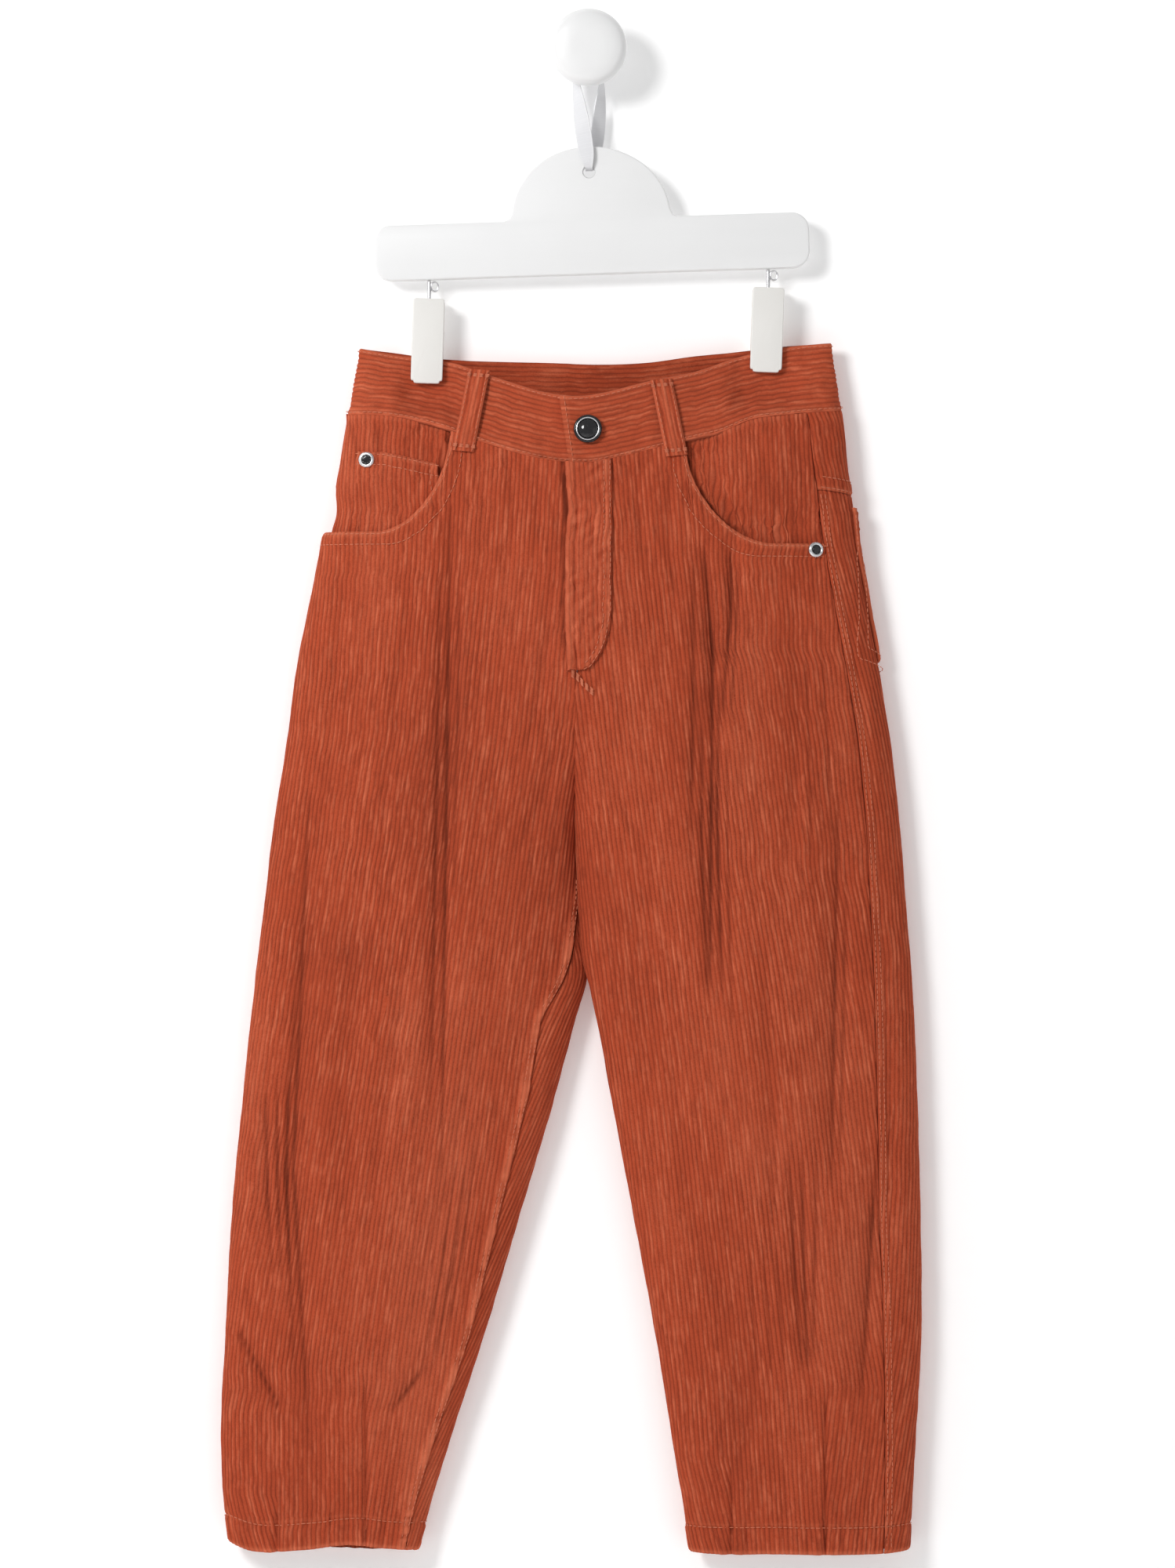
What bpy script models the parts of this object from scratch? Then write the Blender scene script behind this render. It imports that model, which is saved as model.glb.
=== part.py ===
"""A child's corduroy trousers, clipped to a flat board hanger that hangs on a round wall knob.

The wall is the plane Y = 0 and the trousers hang in front of it, at negative Y. The origin is
the middle of the knob's back face. Right and left are the wearer's: the wearer's right is -X.
Tables and sizes are in millimetres. A drop is a distance below the origin.
"""

import math

import bmesh
import bpy
import numpy as np

MM = 0.001
RIGHT = "right"
LEFT = "left"

# Cloth
CLOTH = 1.6
BAND_CLOTH = 2.2
SEAM_GAP = 0.4
BAND_GAP = 0.9
LAYER_GAP = 0.5
PATCH_GAP = 0.9
OVERLAY = 1.2
HEM_CLOTH = 2.4
SEAM_STEP = 2.5
CROTCH_GAP = 1.4
HEM_GAP = 0.6
INSEAM_BEND = 500.0
INSEAM_BEND_REACH = 60.0
RISE_OPENING = 9.0

# Cross-section of the hanging body and legs
MIDDLE = -13.0
EDGE_FRONT = 8.0
EDGE_BACK = 7.0
EDGE_ROUND = 13.0
RISE_TOP = 392.0
CROTCH = 474.0
PART_TOP = 330.0
PART_END = 520.0
LEAN = 3.0
LEAN_REACH = 45.0

SECTION_COLUMNS = ("drop", "right_outer", "right_inner", "left_inner", "left_outer", "front", "back")
SECTIONS = (
    (200.0, -137.4, -6.7, -6.3, 143.8, 9.0, 2.0),
    (210.0, -138.6, -6.7, -6.3, 146.0, 10.0, 2.5),
    (237.0, -142.8, -6.7, -6.3, 148.8, 14.0, 3.0),
    (264.0, -148.3, -6.7, -6.3, 152.3, 18.0, 3.0),
    (282.0, -153.2, -6.7, -6.3, 154.1, 20.0, 3.0),
    (309.0, -158.6, -6.7, -6.3, 158.6, 22.0, 3.0),
    (354.0, -167.6, -6.5, -6.1, 166.7, 24.0, 3.0),
    (399.0, -173.5, -6.4, -5.8, 173.9, 24.0, 3.0),
    (444.0, -180.7, -6.2, -5.5, 178.9, 22.0, 3.0),
    (489.0, -186.1, -4.3, -3.5, 182.5, 19.0, 3.0),
    (534.0, -191.5, -1.0, 0.0, 186.1, 17.0, 3.0),
    (556.0, -194.0, -7.2, 4.7, 187.3, 16.5, 3.0),
    (602.0, -198.7, -19.6, 13.3, 189.2, 16.0, 3.0),
    (669.0, -205.0, -39.4, 25.9, 191.0, 14.0, 2.5),
    (737.0, -208.6, -59.6, 38.5, 191.5, 12.0, 2.5),
    (804.0, -211.3, -81.2, 49.3, 187.9, 10.0, 2.0),
    (845.0, -208.6, -93.4, 56.0, 185.6, 9.0, 2.0),
    (866.0, -205.5, -98.5, 59.0, 184.0, 9.5, 2.0),
)

# The seam under the waistband and the waistband's upper edge, by distance across the front
SEAM_COLUMNS = ("x", "front_drop", "back_drop")
WAIST_SEAM = (
    (-139.0, 210.6, 209.5),
    (-118.0, 211.2, 212.0),
    (-93.0, 216.0, 214.0),
    (-76.0, 221.2, 215.2),
    (-59.0, 227.7, 216.0),
    (-17.0, 238.1, 217.0),
    (0.0, 239.0, 217.3),
    (21.0, 234.9, 217.0),
    (58.0, 225.4, 214.0),
    (77.0, 220.8, 211.5),
    (92.0, 214.4, 210.0),
    (114.0, 211.0, 208.0),
    (146.0, 208.0, 206.5),
)
TOP_COLUMNS = ("x", "front_drop", "back_drop", "front_y", "back_y")
BAND_TOP = (
    (-132.0, 171.0, 171.0, -15.5, -8.5),
    (-108.0, 175.5, 174.0, -14.6, -9.9),
    (-92.5, 177.5, 176.5, -14.6, -9.9),
    (-78.0, 179.5, 177.6, -15.0, -9.7),
    (-57.0, 187.0, 178.2, -22.0, -7.5),
    (-17.0, 198.5, 179.1, -31.0, -6.0),
    (0.0, 199.5, 179.8, -32.0, -6.0),
    (35.0, 190.8, 178.7, -28.0, -6.5),
    (61.0, 185.0, 175.2, -22.0, -7.5),
    (89.0, 175.5, 172.7, -15.0, -9.7),
    (103.5, 172.5, 171.0, -14.6, -9.9),
    (118.0, 169.9, 169.4, -14.6, -9.9),
    (140.5, 168.0, 168.0, -15.5, -8.5),
)
BAND_LOW_ENDS = (-139.0, 146.2)
BAND_EDGE_ROUND = 9.0
BAND_MIDDLE = -12.25
BAND_HOLD = 19.0
BAND_HOLD_FULL = 1.15
BAND_HOLD_END = 0.56
BAND_TURN = 14.0
BAND_TURN_STATIONS = 7
BAND_OVER_STATIONS = 19
BAND_BACK_STATIONS = 31
BAND_UNDER_STATIONS = 21
BAND_SHARES = (0.0, 0.25, 0.5, 0.75, 1.0)
OVER_LEAD = 4.0
OVER_END = (-17.3, -11.0)
UNDER_END = 12.0
UNDER_SET_BACK = 2.9
UNDER_RAMP = (-38.0, -22.0)

# Seams that run down the legs, as distances along the cloth
SEAM_PATH_COLUMNS = ("drop", "right_side", "left_side", "right_inseam", "left_inseam")
SEAM_PATHS = (
    (200.0, 20.0, -25.0, 0.0, 0.0),
    (300.0, 20.0, -25.0, 0.0, 0.0),
    (399.0, 20.0, -25.0, 0.0, 0.0),
    (474.0, 20.0, -27.0, 0.0, 0.0),
    (512.0, 20.0, -28.0, 12.0, -10.0),
    (556.0, 20.0, -29.0, 26.0, -16.0),
    (602.0, 20.0, -30.0, 21.0, -16.0),
    (669.0, 20.0, -30.0, 17.0, -14.0),
    (737.0, 18.0, -28.0, 13.0, -12.0),
    (804.0, 16.0, -23.0, 14.0, -12.0),
    (866.0, 16.0, -20.0, 13.0, -12.0),
)

# Pocket mouths
# side: start x, width, depth
SCOOPS = {RIGHT: (-79.4, 42.0, 57.0), LEFT: (55.4, 50.0, 58.0)}
SCOOP_POWER = 1.8
FACING_UNDER = 7.0
FACING_INSET = 4.2
FACING_DROP = 240.0
FACING_START = 3.0
FACING_EDGE = 9.0
FACING_REACH = 20.0
COIN_ENDS = (-86.0, -132.5)
COIN_TOP = ((-134.5, -118.0, -86.0), (231.0, 231.6, 238.0))
COIN_LEVEL = 234.0
COIN_UNDER = 3.5

POCKET_OFFSETS = {RIGHT: 25.0, LEFT: -4.0}
POCKET_TOP = 263.0
POCKET_WIDTH = 94.0
POCKET_HEIGHT = 88.0
POCKET_POINT = 12.0
POCKET_TAPER = 3.0
POCKET_SLANT = 11.0
POCKET_LOW_SLANT = 8.0

YOKE_SIDE_DROP = 253.0
YOKE_GAP = 1.2
WAIST_LEVEL = 214.0
FRONT_WAIST_LEVEL = 236.0
YOKE_CENTRE_DROP = 277.0

# Hems
HEM_COLUMNS = ("across", "right_front", "right_back", "left_front", "left_back")
HEMS = (
    (0.0, 861.5, 862.0, 863.0, 863.0),
    (0.2, 859.5, 862.6, 863.2, 863.6),
    (0.35, 857.4, 862.4, 862.6, 863.8),
    (0.6, 860.2, 861.2, 863.0, 863.2),
    (0.9, 860.6, 860.6, 862.8, 862.8),
    (1.0, 857.0, 857.0, 862.0, 862.0),
)

# Rows of the panels
UPPER_LEVEL = 300.0
LOWER_LEVEL = 838.0
HEM_LEVEL = 855.0
LEVELS = (
    300.0, 322.0, 346.0, 370.0, 392.0, 410.0, 428.0, 444.0, 459.0, 474.0, 490.0, 508.0, 528.0,
    550.0, 576.0, 606.0, 638.0, 670.0, 702.0, 734.0, 764.0, 790.0, 815.0, 838.0,
)
UPPER_ROWS = 5
LOWER_ROWS = 2
FRONT_PANEL_COLUMNS = 20
BACK_PANEL_COLUMNS = 14
COLUMN_LENGTH = 12.0
COLUMN_TURN = 0.42

# Troughs pressed into the cloth; each follows three points, upper, middle and lower
# face, depth, width, x 1, drop 1, x 2, drop 2, x 3, drop 3
FOLDS = (
    ("front", 3.6, 8.0, -80.0, 268.0, -81.0, 400.0, -90.0, 620.0),
    ("front", 3.0, 9.0, -159.0, 422.0, -169.0, 640.0, -160.0, 820.0),
    ("front", 2.6, 7.0, -198.0, 735.0, -186.0, 760.0, -175.0, 782.0),
    ("front", 2.2, 7.0, -93.0, 756.0, -102.0, 768.0, -113.0, 781.0),
    ("front", 4.4, 7.0, 66.8, 290.0, 70.4, 345.0, 65.0, 424.0),
    ("front", 3.6, 6.0, 81.0, 280.0, 82.0, 312.0, 76.0, 346.0),
    ("front", 4.0, 9.0, 66.8, 418.0, 70.0, 470.0, 74.0, 540.0),
    ("front", 3.0, 9.0, 143.0, 420.0, 141.0, 540.0, 139.0, 650.0),
    ("front", 2.6, 9.0, 118.0, 636.0, 121.0, 700.0, 126.0, 760.0),
    ("front", 2.6, 8.0, 165.0, 636.0, 161.0, 700.0, 156.0, 775.0),
    ("front", 3.0, 13.0, 64.0, 694.0, 77.0, 720.0, 90.0, 746.0),
    ("front", 2.0, 8.0, -130.0, 470.0, -138.0, 580.0, -140.0, 690.0),
    ("back", 3.0, 10.0, -96.0, 380.0, -104.0, 470.0, -112.0, 600.0),
    ("back", 2.8, 9.0, -160.0, 430.0, -168.0, 560.0, -166.0, 700.0),
    ("back", 2.4, 9.0, -120.0, 660.0, -130.0, 730.0, -146.0, 800.0),
    ("back", 3.0, 10.0, 88.0, 385.0, 96.0, 480.0, 98.0, 610.0),
    ("back", 2.8, 9.0, 148.0, 430.0, 150.0, 560.0, 146.0, 700.0),
    ("back", 2.4, 9.0, 96.0, 660.0, 108.0, 730.0, 112.0, 800.0),
)
FOLD_EDGE = 14.0
# x, top drop, low drop
DARTS = (
    (-127.5, 759.0, 845.0),
    (-178.0, 829.0, 845.0),
    (135.8, 767.0, 848.0),
    (82.0, 808.0, 848.0),
)
DART_DEPTH = 1.0
DART_WIDTH = 3.0

# Fly
FLY_EDGE_X = -13.3
FLY_STITCH_X = 13.7
FLY_STRAIGHT_DROP = 318.0
FLY_END_DROP = 357.0
FLY_FOOT_X = -5.0

# Hardware
BUTTON_PLACE = (-0.2, 219.0)
BUTTON_LIFT = 0.9
BUTTON_SIDES = 24
# Turned outlines: radius, height
BUTTON_RIM = (
    (0.0, -0.5), (4.6, -0.5), (4.6, 0.1), (7.0, 0.2), (8.0, 0.6), (8.2, 1.5), (7.3, 2.5),
    (6.3, 2.6), (5.9, 2.0), (5.9, 0.7), (0.0, 0.7),
)
BUTTON_CAP = (
    (0.0, 1.0), (5.5, 1.0), (5.5, 2.3), (4.6, 3.0), (3.0, 3.6), (1.5, 3.85), (0.0, 3.9),
)
RIVET_OUTLINE = (
    (0.0, 0.0), (4.6, 0.0), (4.6, 0.5), (3.7, 1.4), (2.6, 1.5), (1.9, 0.9), (1.5, 0.9),
    (1.2, 1.5), (0.0, 1.6),
)
RIVET_SIDES = 18
COIN_RIVET = (-126.7, 236.0)
POCKET_RIVET_LEFT = (130.0, 287.6)
POCKET_RIVET_RIGHT = (-7.0, 286.0)
RIVET_LIFT = 0.5

KNOB_RADIUS = 22.3
KNOB_DEPTH = 38.0
STEM_RADIUS = 8.0
STEM_DEPTH = 23.0

BOARD_FRONT = -17.0
BOARD_BACK = -9.0
BOARD_TILT = math.radians(1.9)
BOARD_PIVOT = (0.45, -69.8)
BOARD_HALF = 125.3
BOARD_TOP = -27.0
BOARD_HEIGHT = 32.0
BOARD_CORNER = 10.0
DOME_HALF = 46.0
DOME_RISE = 41.0
DOME_FILLET = 4.0
BOARD_CHAMFER = 1.2
HOLE_RADIUS = 3.4
HOLE_SIDES = 16
HOLE_DEPTH = 30.0

# side: x, top drop, lean
CLIPS = {RIGHT: (-91.6, 142.8, 0.030), LEFT: (103.6, 136.4, 0.035)}
CLIP_WIDTH = 18.2
CLIP_LENGTH = 48.8
CLIP_NOTCH = 1.6
CLIP_STEP = 0.2
CLIP_CORNER = 0.8
JAW_DEPTH = 4.0
JAW_FACES = (-15.3, -9.2)
JAW_CHAMFER = 0.6
WIRE_RADIUS = 1.1
SPRING_RADIUS = 3.05
SPRING_SET_IN = 0.45
SPRING_DROP = 7.0
SPRING_SHORT = 2.0
WIRE_GAP = 0.35

RIBBON_THICK = 0.7
RIBBON_STATIONS = 48
# x, y, z, width, turn of the face in degrees
RIBBON = (
    (0.4, -13.0, -70.8, 4.0, 0.0),
    (0.2, -18.6, -69.2, 4.4, 6.0),
    (-1.0, -19.4, -61.0, 8.2, 10.0),
    (-3.2, -17.6, -46.0, 9.6, 22.0),
    (-5.6, -15.2, -30.0, 9.8, 48.0),
    (-7.9, -13.0, -14.0, 10.0, 76.0),
    (-8.8, -12.5, 0.0, 10.0, 90.0),
    (-6.2, -12.5, 6.3, 10.0, 90.0),
    (0.0, -12.5, 8.8, 10.0, 90.0),
    (6.2, -12.5, 6.3, 10.0, 90.0),
    (8.8, -12.5, 0.0, 10.0, 90.0),
    (8.2, -12.0, -14.0, 10.0, 98.0),
    (7.0, -10.4, -30.0, 9.8, 126.0),
    (5.6, -8.4, -46.0, 9.0, 150.0),
    (3.2, -6.6, -61.0, 7.0, 170.0),
    (0.8, -7.4, -69.2, 4.4, 176.0),
)

MATERIALS = {
    "corduroy": ((0.43, 0.105, 0.046), 0.85, 0.0),
    "white_wood": ((0.86, 0.86, 0.86), 0.45, 0.0),
    "white_plastic": ((0.84, 0.83, 0.80), 0.35, 0.0),
    "ribbon": ((0.80, 0.80, 0.81), 0.5, 0.0),
    "steel": ((0.72, 0.72, 0.73), 0.25, 1.0),
    "black_cap": ((0.012, 0.012, 0.012), 0.15, 0.0),
}


# ---------------------------------------------------------------- numbers

def column(table, names, name):
    return np.array([row[names.index(name)] for row in table], float)


def smooth(value):
    value = np.clip(value, 0.0, 1.0)
    return value * value * (3.0 - 2.0 * value)


def through(knots, values, at):
    """A smooth curve through a table's rows, read at one or many places."""
    slopes = np.gradient(values, knots)
    at = np.clip(at, knots[0], knots[-1])
    low = np.clip(np.searchsorted(knots, at) - 1, 0, len(knots) - 2)
    width = knots[low + 1] - knots[low]
    t = (at - knots[low]) / width
    rise = t * t * (3.0 - 2.0 * t)
    leave = t * (1.0 - t) ** 2 * width * slopes[low]
    arrive = t * t * (t - 1.0) * width * slopes[low + 1]
    return values[low] * (1.0 - rise) + values[low + 1] * rise + leave + arrive


def read(table, names, name, at):
    return through(column(table, names, names[0]), column(table, names, name), at)


def sign(side):
    return 1.0 if side == RIGHT else -1.0


# ---------------------------------------------------------------- the hanging form

def fold_depth(face, x, drop):
    """How far the folds and darts press the cloth in at this place."""
    x = np.asarray(x, float)
    deep = np.zeros_like(x)
    for where, depth, width, *path in FOLDS:
        if where != face:
            continue
        points = np.array(path).reshape(3, 2)
        lengths = np.hypot(*np.diff(points, axis=0).T)
        nearest = np.full_like(x, np.inf)
        along = np.zeros_like(x)
        for k in range(2):
            run = points[k + 1] - points[k]
            t = ((x - points[k, 0]) * run[0] + (drop - points[k, 1]) * run[1]) / (run @ run)
            t = np.clip(t, 0.0, 1.0)
            gap = np.hypot(x - points[k, 0] - t * run[0], drop - points[k, 1] - t * run[1])
            along = np.where(gap < nearest, (lengths[:k].sum() + t * lengths[k]) / lengths.sum(), along)
            nearest = np.minimum(gap, nearest)
        taper = np.sqrt(np.clip(np.sin(math.pi * (0.04 + 0.92 * along)), 0.0, 1.0))
        deep += depth * taper * np.exp(-((nearest / width) ** 2))
    if face == "front":
        for dart_x, top, low in DARTS:
            inside = smooth((drop - top) / 14.0)
            deep += DART_DEPTH * inside * np.exp(-(((x - dart_x) / DART_WIDTH) ** 2))
    return deep


def profile(side, drop, across):
    """x, front y and back y of one half of the body or one leg, from its inner to its outer edge."""
    inner = read(SECTIONS, SECTION_COLUMNS, side + "_inner", drop)
    outer = read(SECTIONS, SECTION_COLUMNS, side + "_outer", drop)
    front = read(SECTIONS, SECTION_COLUMNS, "front", drop)
    back = read(SECTIONS, SECTION_COLUMNS, "back", drop)
    reach = np.abs(outer - inner)
    to_outer = np.clip((1.0 - across) * reach / EDGE_ROUND, 0.0, 1.0)
    to_inner = np.clip(across * reach / EDGE_ROUND, 0.0, 1.0)
    outer_round = np.sqrt(1.0 - (1.0 - to_outer) ** 2)
    inner_round = np.sqrt(1.0 - (1.0 - to_inner) ** 2)
    closing = smooth((drop - RISE_TOP) / (CROTCH - RISE_TOP))
    parted = smooth((drop - PART_TOP) / (PART_END - PART_TOP))
    closed = outer_round * (1.0 - closing * (1.0 - inner_round))
    whole = np.abs(np.cos(0.5 * math.pi * across)) ** 0.8
    single = np.abs(np.sin(math.pi * across)) ** 0.9
    crown = (1.0 - parted) * whole + parted * single
    lean = LEAN * sign(side) * closing * smooth(1.0 - across * reach / LEAN_REACH)
    middle = MIDDLE + lean * smooth((640.0 - drop) / 90.0)
    x = inner + (outer - inner) * across
    level = smooth(np.minimum(1.0 - across, across * parted + 1.0 - parted) * reach / FOLD_EDGE)
    front_y = middle - closed * (EDGE_FRONT + front * crown) + level * fold_depth("front", x, drop)
    back_y = middle + closed * (EDGE_BACK + back * crown) - level * fold_depth("back", x, drop)
    return x, front_y, back_y


RING_CACHE = {}


def ring(side, drop):
    """The outline of one half at a drop: from the inner edge along the front, and back behind."""
    key = (side, round(float(drop), 3))
    if key not in RING_CACHE:
        across = 0.5 - 0.5 * np.cos(np.linspace(0.0, math.pi, 73))
        x, front_y, back_y = profile(side, float(drop), across)
        points = np.vstack([np.column_stack([x, front_y]), np.column_stack([x, back_y])[-2::-1]])
        steps = np.diff(points, axis=0)
        arc = np.concatenate([[0.0], np.cumsum(np.hypot(*steps.T))])
        heading = np.unwrap(np.arctan2(steps[:, 1], steps[:, 0]))
        turns = np.concatenate([[0.0, 0.0], np.abs(np.diff(heading))])
        measure = arc / COLUMN_LENGTH + np.cumsum(turns) / COLUMN_TURN
        RING_CACHE[key] = (points, arc, measure, arc[72])
    return RING_CACHE[key]


def wrapped(values):
    return np.concatenate([values - values[-1], values[1:], values[1:] + values[-1]])


def skin_point(side, arc_place, drop):
    """A point of the cloth's outer face, by its distance along the ring."""
    points, arc, _, _ = ring(side, drop)
    place = arc_place % arc[-1] if not 0.0 <= arc_place <= arc[-1] else arc_place
    x = np.interp(place, arc, points[:, 0])
    y = np.interp(place, arc, points[:, 1])
    return (x, y, -drop)


def skin(side, places, drops):
    rows, columns = drops.shape
    grid = [[skin_point(side, places[i, j], drops[i, j]) for j in range(columns)] for i in range(rows)]
    return np.array(grid)


def normals(grid, side, beyond=None):
    """The outward direction at each point. Beyond holds the points just past the first and last columns."""
    if beyond is not None:
        grid = np.concatenate([beyond[:, :1], grid, beyond[:, 1:]], axis=1)
    down, along = np.gradient(grid, axis=(0, 1))
    facing = np.cross(along, down) * sign(side)
    if beyond is not None:
        facing = facing[:, 1:-1]
    return facing / np.maximum(np.linalg.norm(facing, axis=2, keepdims=True), 1e-9)


def past_the_seams(side, places, drops):
    """Points just past a panel's two seams, so that both sides of a seam face the same way."""
    rows = []
    for i in range(len(drops)):
        ends = []
        for j, inner, step in ((0, 1, -SEAM_STEP), (-1, -2, SEAM_STEP)):
            drop = drops[i, j]
            points, arc, _, _ = ring(side, drop)
            place = places[i, j] + step
            opening = np.hypot(*(points[0] - points[-1]))
            if 0.0 <= place <= arc[-1] or opening < RISE_OPENING:
                ends.append(skin_point(side, place, drop))
            else:
                near = np.array(skin_point(side, places[i, j], drop))
                ends.append(tuple(2.0 * near - skin_point(side, places[i, inner], drop)))
        rows.append(ends)
    return np.array(rows)


def arc_of_x(side, x, drop, face="front"):
    points, arc, _, _ = ring(side, drop)
    half = slice(0, 73) if face == "front" else slice(72, None)
    xs = points[half, 0]
    order = np.argsort(xs)
    return float(np.interp(x, xs[order], arc[half][order]))


def seam_arc(side, name, drop):
    """Where a seam crosses the ring: the side seam from the outer edge, the inseam from the inner one."""
    drops = column(SEAM_PATHS, SEAM_PATH_COLUMNS, "drop")
    offset = float(np.interp(drop, drops, column(SEAM_PATHS, SEAM_PATH_COLUMNS, side + "_" + name)))
    return ring(side, drop)[3] + offset if name == "side" else offset


def body_y(x, drop, face="front"):
    side = RIGHT if x < float(read(SECTIONS, SECTION_COLUMNS, "left_inner", drop)) else LEFT
    return skin_point(side, arc_of_x(side, x, drop, face), drop)[1]


def waist_drop(x, face="front"):
    return float(read(WAIST_SEAM, SEAM_COLUMNS, face + "_drop", x))


def waist_drop_on_ring(side, arc_place):
    """The waist seam's drop at a distance along the ring, front or back."""
    x, _, _ = skin_point(side, arc_place, WAIST_LEVEL)
    face = "front" if arc_place <= ring(side, WAIST_LEVEL)[3] else "back"
    return waist_drop(x, face)


# ---------------------------------------------------------------- meshes

def new_object(name, mesh_bm, material):
    bmesh.ops.recalc_face_normals(mesh_bm, faces=mesh_bm.faces)
    mesh = bpy.data.meshes.new(name)
    mesh_bm.to_mesh(mesh)
    mesh_bm.free()
    mesh.materials.append(bpy.data.materials[material])
    mesh.shade_smooth()
    mesh.set_sharp_from_angle(angle=math.radians(50))
    obj = bpy.data.objects.new(name, mesh)
    bpy.context.scene.collection.objects.link(obj)
    return obj


def make_materials():
    for name, (colour, roughness, metallic) in MATERIALS.items():
        material = bpy.data.materials.new(name)
        material.use_nodes = True
        shader = material.node_tree.nodes["Principled BSDF"]
        shader.inputs["Base Color"].default_value = (*colour, 1.0)
        shader.inputs["Roughness"].default_value = roughness
        shader.inputs["Metallic"].default_value = metallic


def shell(name, outer, inner, material="corduroy", loop=False):
    """A closed wall between two grids of points. With loop, the last row joins the first."""
    rows, columns = outer.shape[:2]
    bm = bmesh.new()
    layers = []
    for grid in (outer, inner):
        layers.append([[bm.verts.new(grid[i, j] * MM) for j in range(columns)] for i in range(rows)])
    steps = range(rows if loop else rows - 1)
    for layer in layers:
        for i in steps:
            low = layer[(i + 1) % rows]
            for j in range(columns - 1):
                bm.faces.new((layer[i][j], layer[i][j + 1], low[j + 1], low[j]))
    a, b = layers
    for i in steps:
        k = (i + 1) % rows
        bm.faces.new((a[i][0], a[k][0], b[k][0], b[i][0]))
        bm.faces.new((a[i][-1], a[k][-1], b[k][-1], b[i][-1]))
    if not loop:
        for j in range(columns - 1):
            bm.faces.new((a[0][j], a[0][j + 1], b[0][j + 1], b[0][j]))
            bm.faces.new((a[-1][j], a[-1][j + 1], b[-1][j + 1], b[-1][j]))
    return new_object(name, bm, material)


def cloth(name, side, grid, lift=0.0, thick=CLOTH, beyond=None):
    """A piece of cloth whose outer face lies on, or is moved out from, the hanging form."""
    facing = normals(grid, side, beyond)
    outer = grid + facing * lift
    return shell(name, outer, outer - facing * thick)


def turned(name, outline, place, axis, material, sides=20):
    """A round piece: an outline of (radius, height) from its foot to its top, turned about an axis."""
    axis = np.array(axis, float) / np.linalg.norm(axis)
    across = np.cross(axis, (0.0, 0.0, 1.0))
    across /= np.linalg.norm(across)
    up = np.cross(axis, across)
    bm = bmesh.new()
    loops = []
    for radius, height in outline:
        centre = np.array(place, float) + axis * height
        if radius == 0.0:
            loops.append([bm.verts.new(centre * MM)])
            continue
        angles = [2.0 * math.pi * k / sides for k in range(sides)]
        points = [centre + radius * (math.cos(a) * across + math.sin(a) * up) for a in angles]
        loops.append([bm.verts.new(point * MM) for point in points])
    for low, high in zip(loops, loops[1:]):
        for k in range(sides):
            n = (k + 1) % sides
            if len(low) == 1:
                bm.faces.new((low[0], high[n], high[k]))
            elif len(high) == 1:
                bm.faces.new((low[k], low[n], high[0]))
            else:
                bm.faces.new((low[k], low[n], high[n], high[k]))
    return new_object(name, bm, material)


def inset_outline(outline, amount):
    ahead = np.roll(outline, -1, axis=0) - outline
    behind = outline - np.roll(outline, 1, axis=0)
    ahead /= np.linalg.norm(ahead, axis=1, keepdims=True)
    behind /= np.linalg.norm(behind, axis=1, keepdims=True)
    inward = np.column_stack([-(ahead + behind)[:, 1], (ahead + behind)[:, 0]])
    inward /= np.linalg.norm(inward, axis=1, keepdims=True)
    return outline + inward * amount


def plate(name, outline, front, back, chamfer, material):
    """A flat plate from an outline of (x, z), run anticlockwise, with its edges broken."""
    outline = np.array(outline, float)
    small = inset_outline(outline, chamfer)
    layers = ((small, front), (outline, front + chamfer), (outline, back - chamfer), (small, back))
    bm = bmesh.new()
    loops = []
    for points, y in layers:
        loops.append([bm.verts.new((x * MM, y * MM, z * MM)) for x, z in points])
    count = len(outline)
    for near, far in zip(loops, loops[1:]):
        for k in range(count):
            n = (k + 1) % count
            bm.faces.new((near[k], near[n], far[n], far[k]))
    bm.faces.new(loops[0])
    bm.faces.new(loops[-1])
    return new_object(name, bm, material)


# ---------------------------------------------------------------- body panels

def share_to_arc(side, share, drop, first, last):
    """The place that lies a share of the way between two seams, closer where the cloth bends."""
    _, arc, measure, _ = ring(side, drop)
    long_arc = wrapped(arc)
    long_measure = wrapped(measure)
    start, end = np.interp((first, last), long_arc, long_measure)
    return float(np.interp(start + share * (end - start), long_measure, long_arc))


def arc_to_share(side, place, drop, first, last):
    _, arc, measure, _ = ring(side, drop)
    start, here, end = np.interp((first, place, last), wrapped(arc), wrapped(measure))
    return (here - start) / (end - start)


def inseam_gap(drop):
    """The gap along the inseam, wider round the crotch, where the cloth bends most, and at the hem."""
    crotch = float(smooth(1.0 - abs(drop - INSEAM_BEND) / INSEAM_BEND_REACH))
    return SEAM_GAP + CROTCH_GAP * crotch + HEM_GAP * (drop > LOWER_LEVEL)


def front_limits(side, drop):
    inner = seam_arc(side, "inseam", drop) + 0.5 * inseam_gap(drop)
    return inner, seam_arc(side, "side", drop) - 0.5 * SEAM_GAP


def back_limits(side, drop):
    inner = ring(side, drop)[1][-1] + seam_arc(side, "inseam", drop) - 0.5 * inseam_gap(drop)
    return seam_arc(side, "side", drop) + 0.5 * SEAM_GAP, inner


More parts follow.
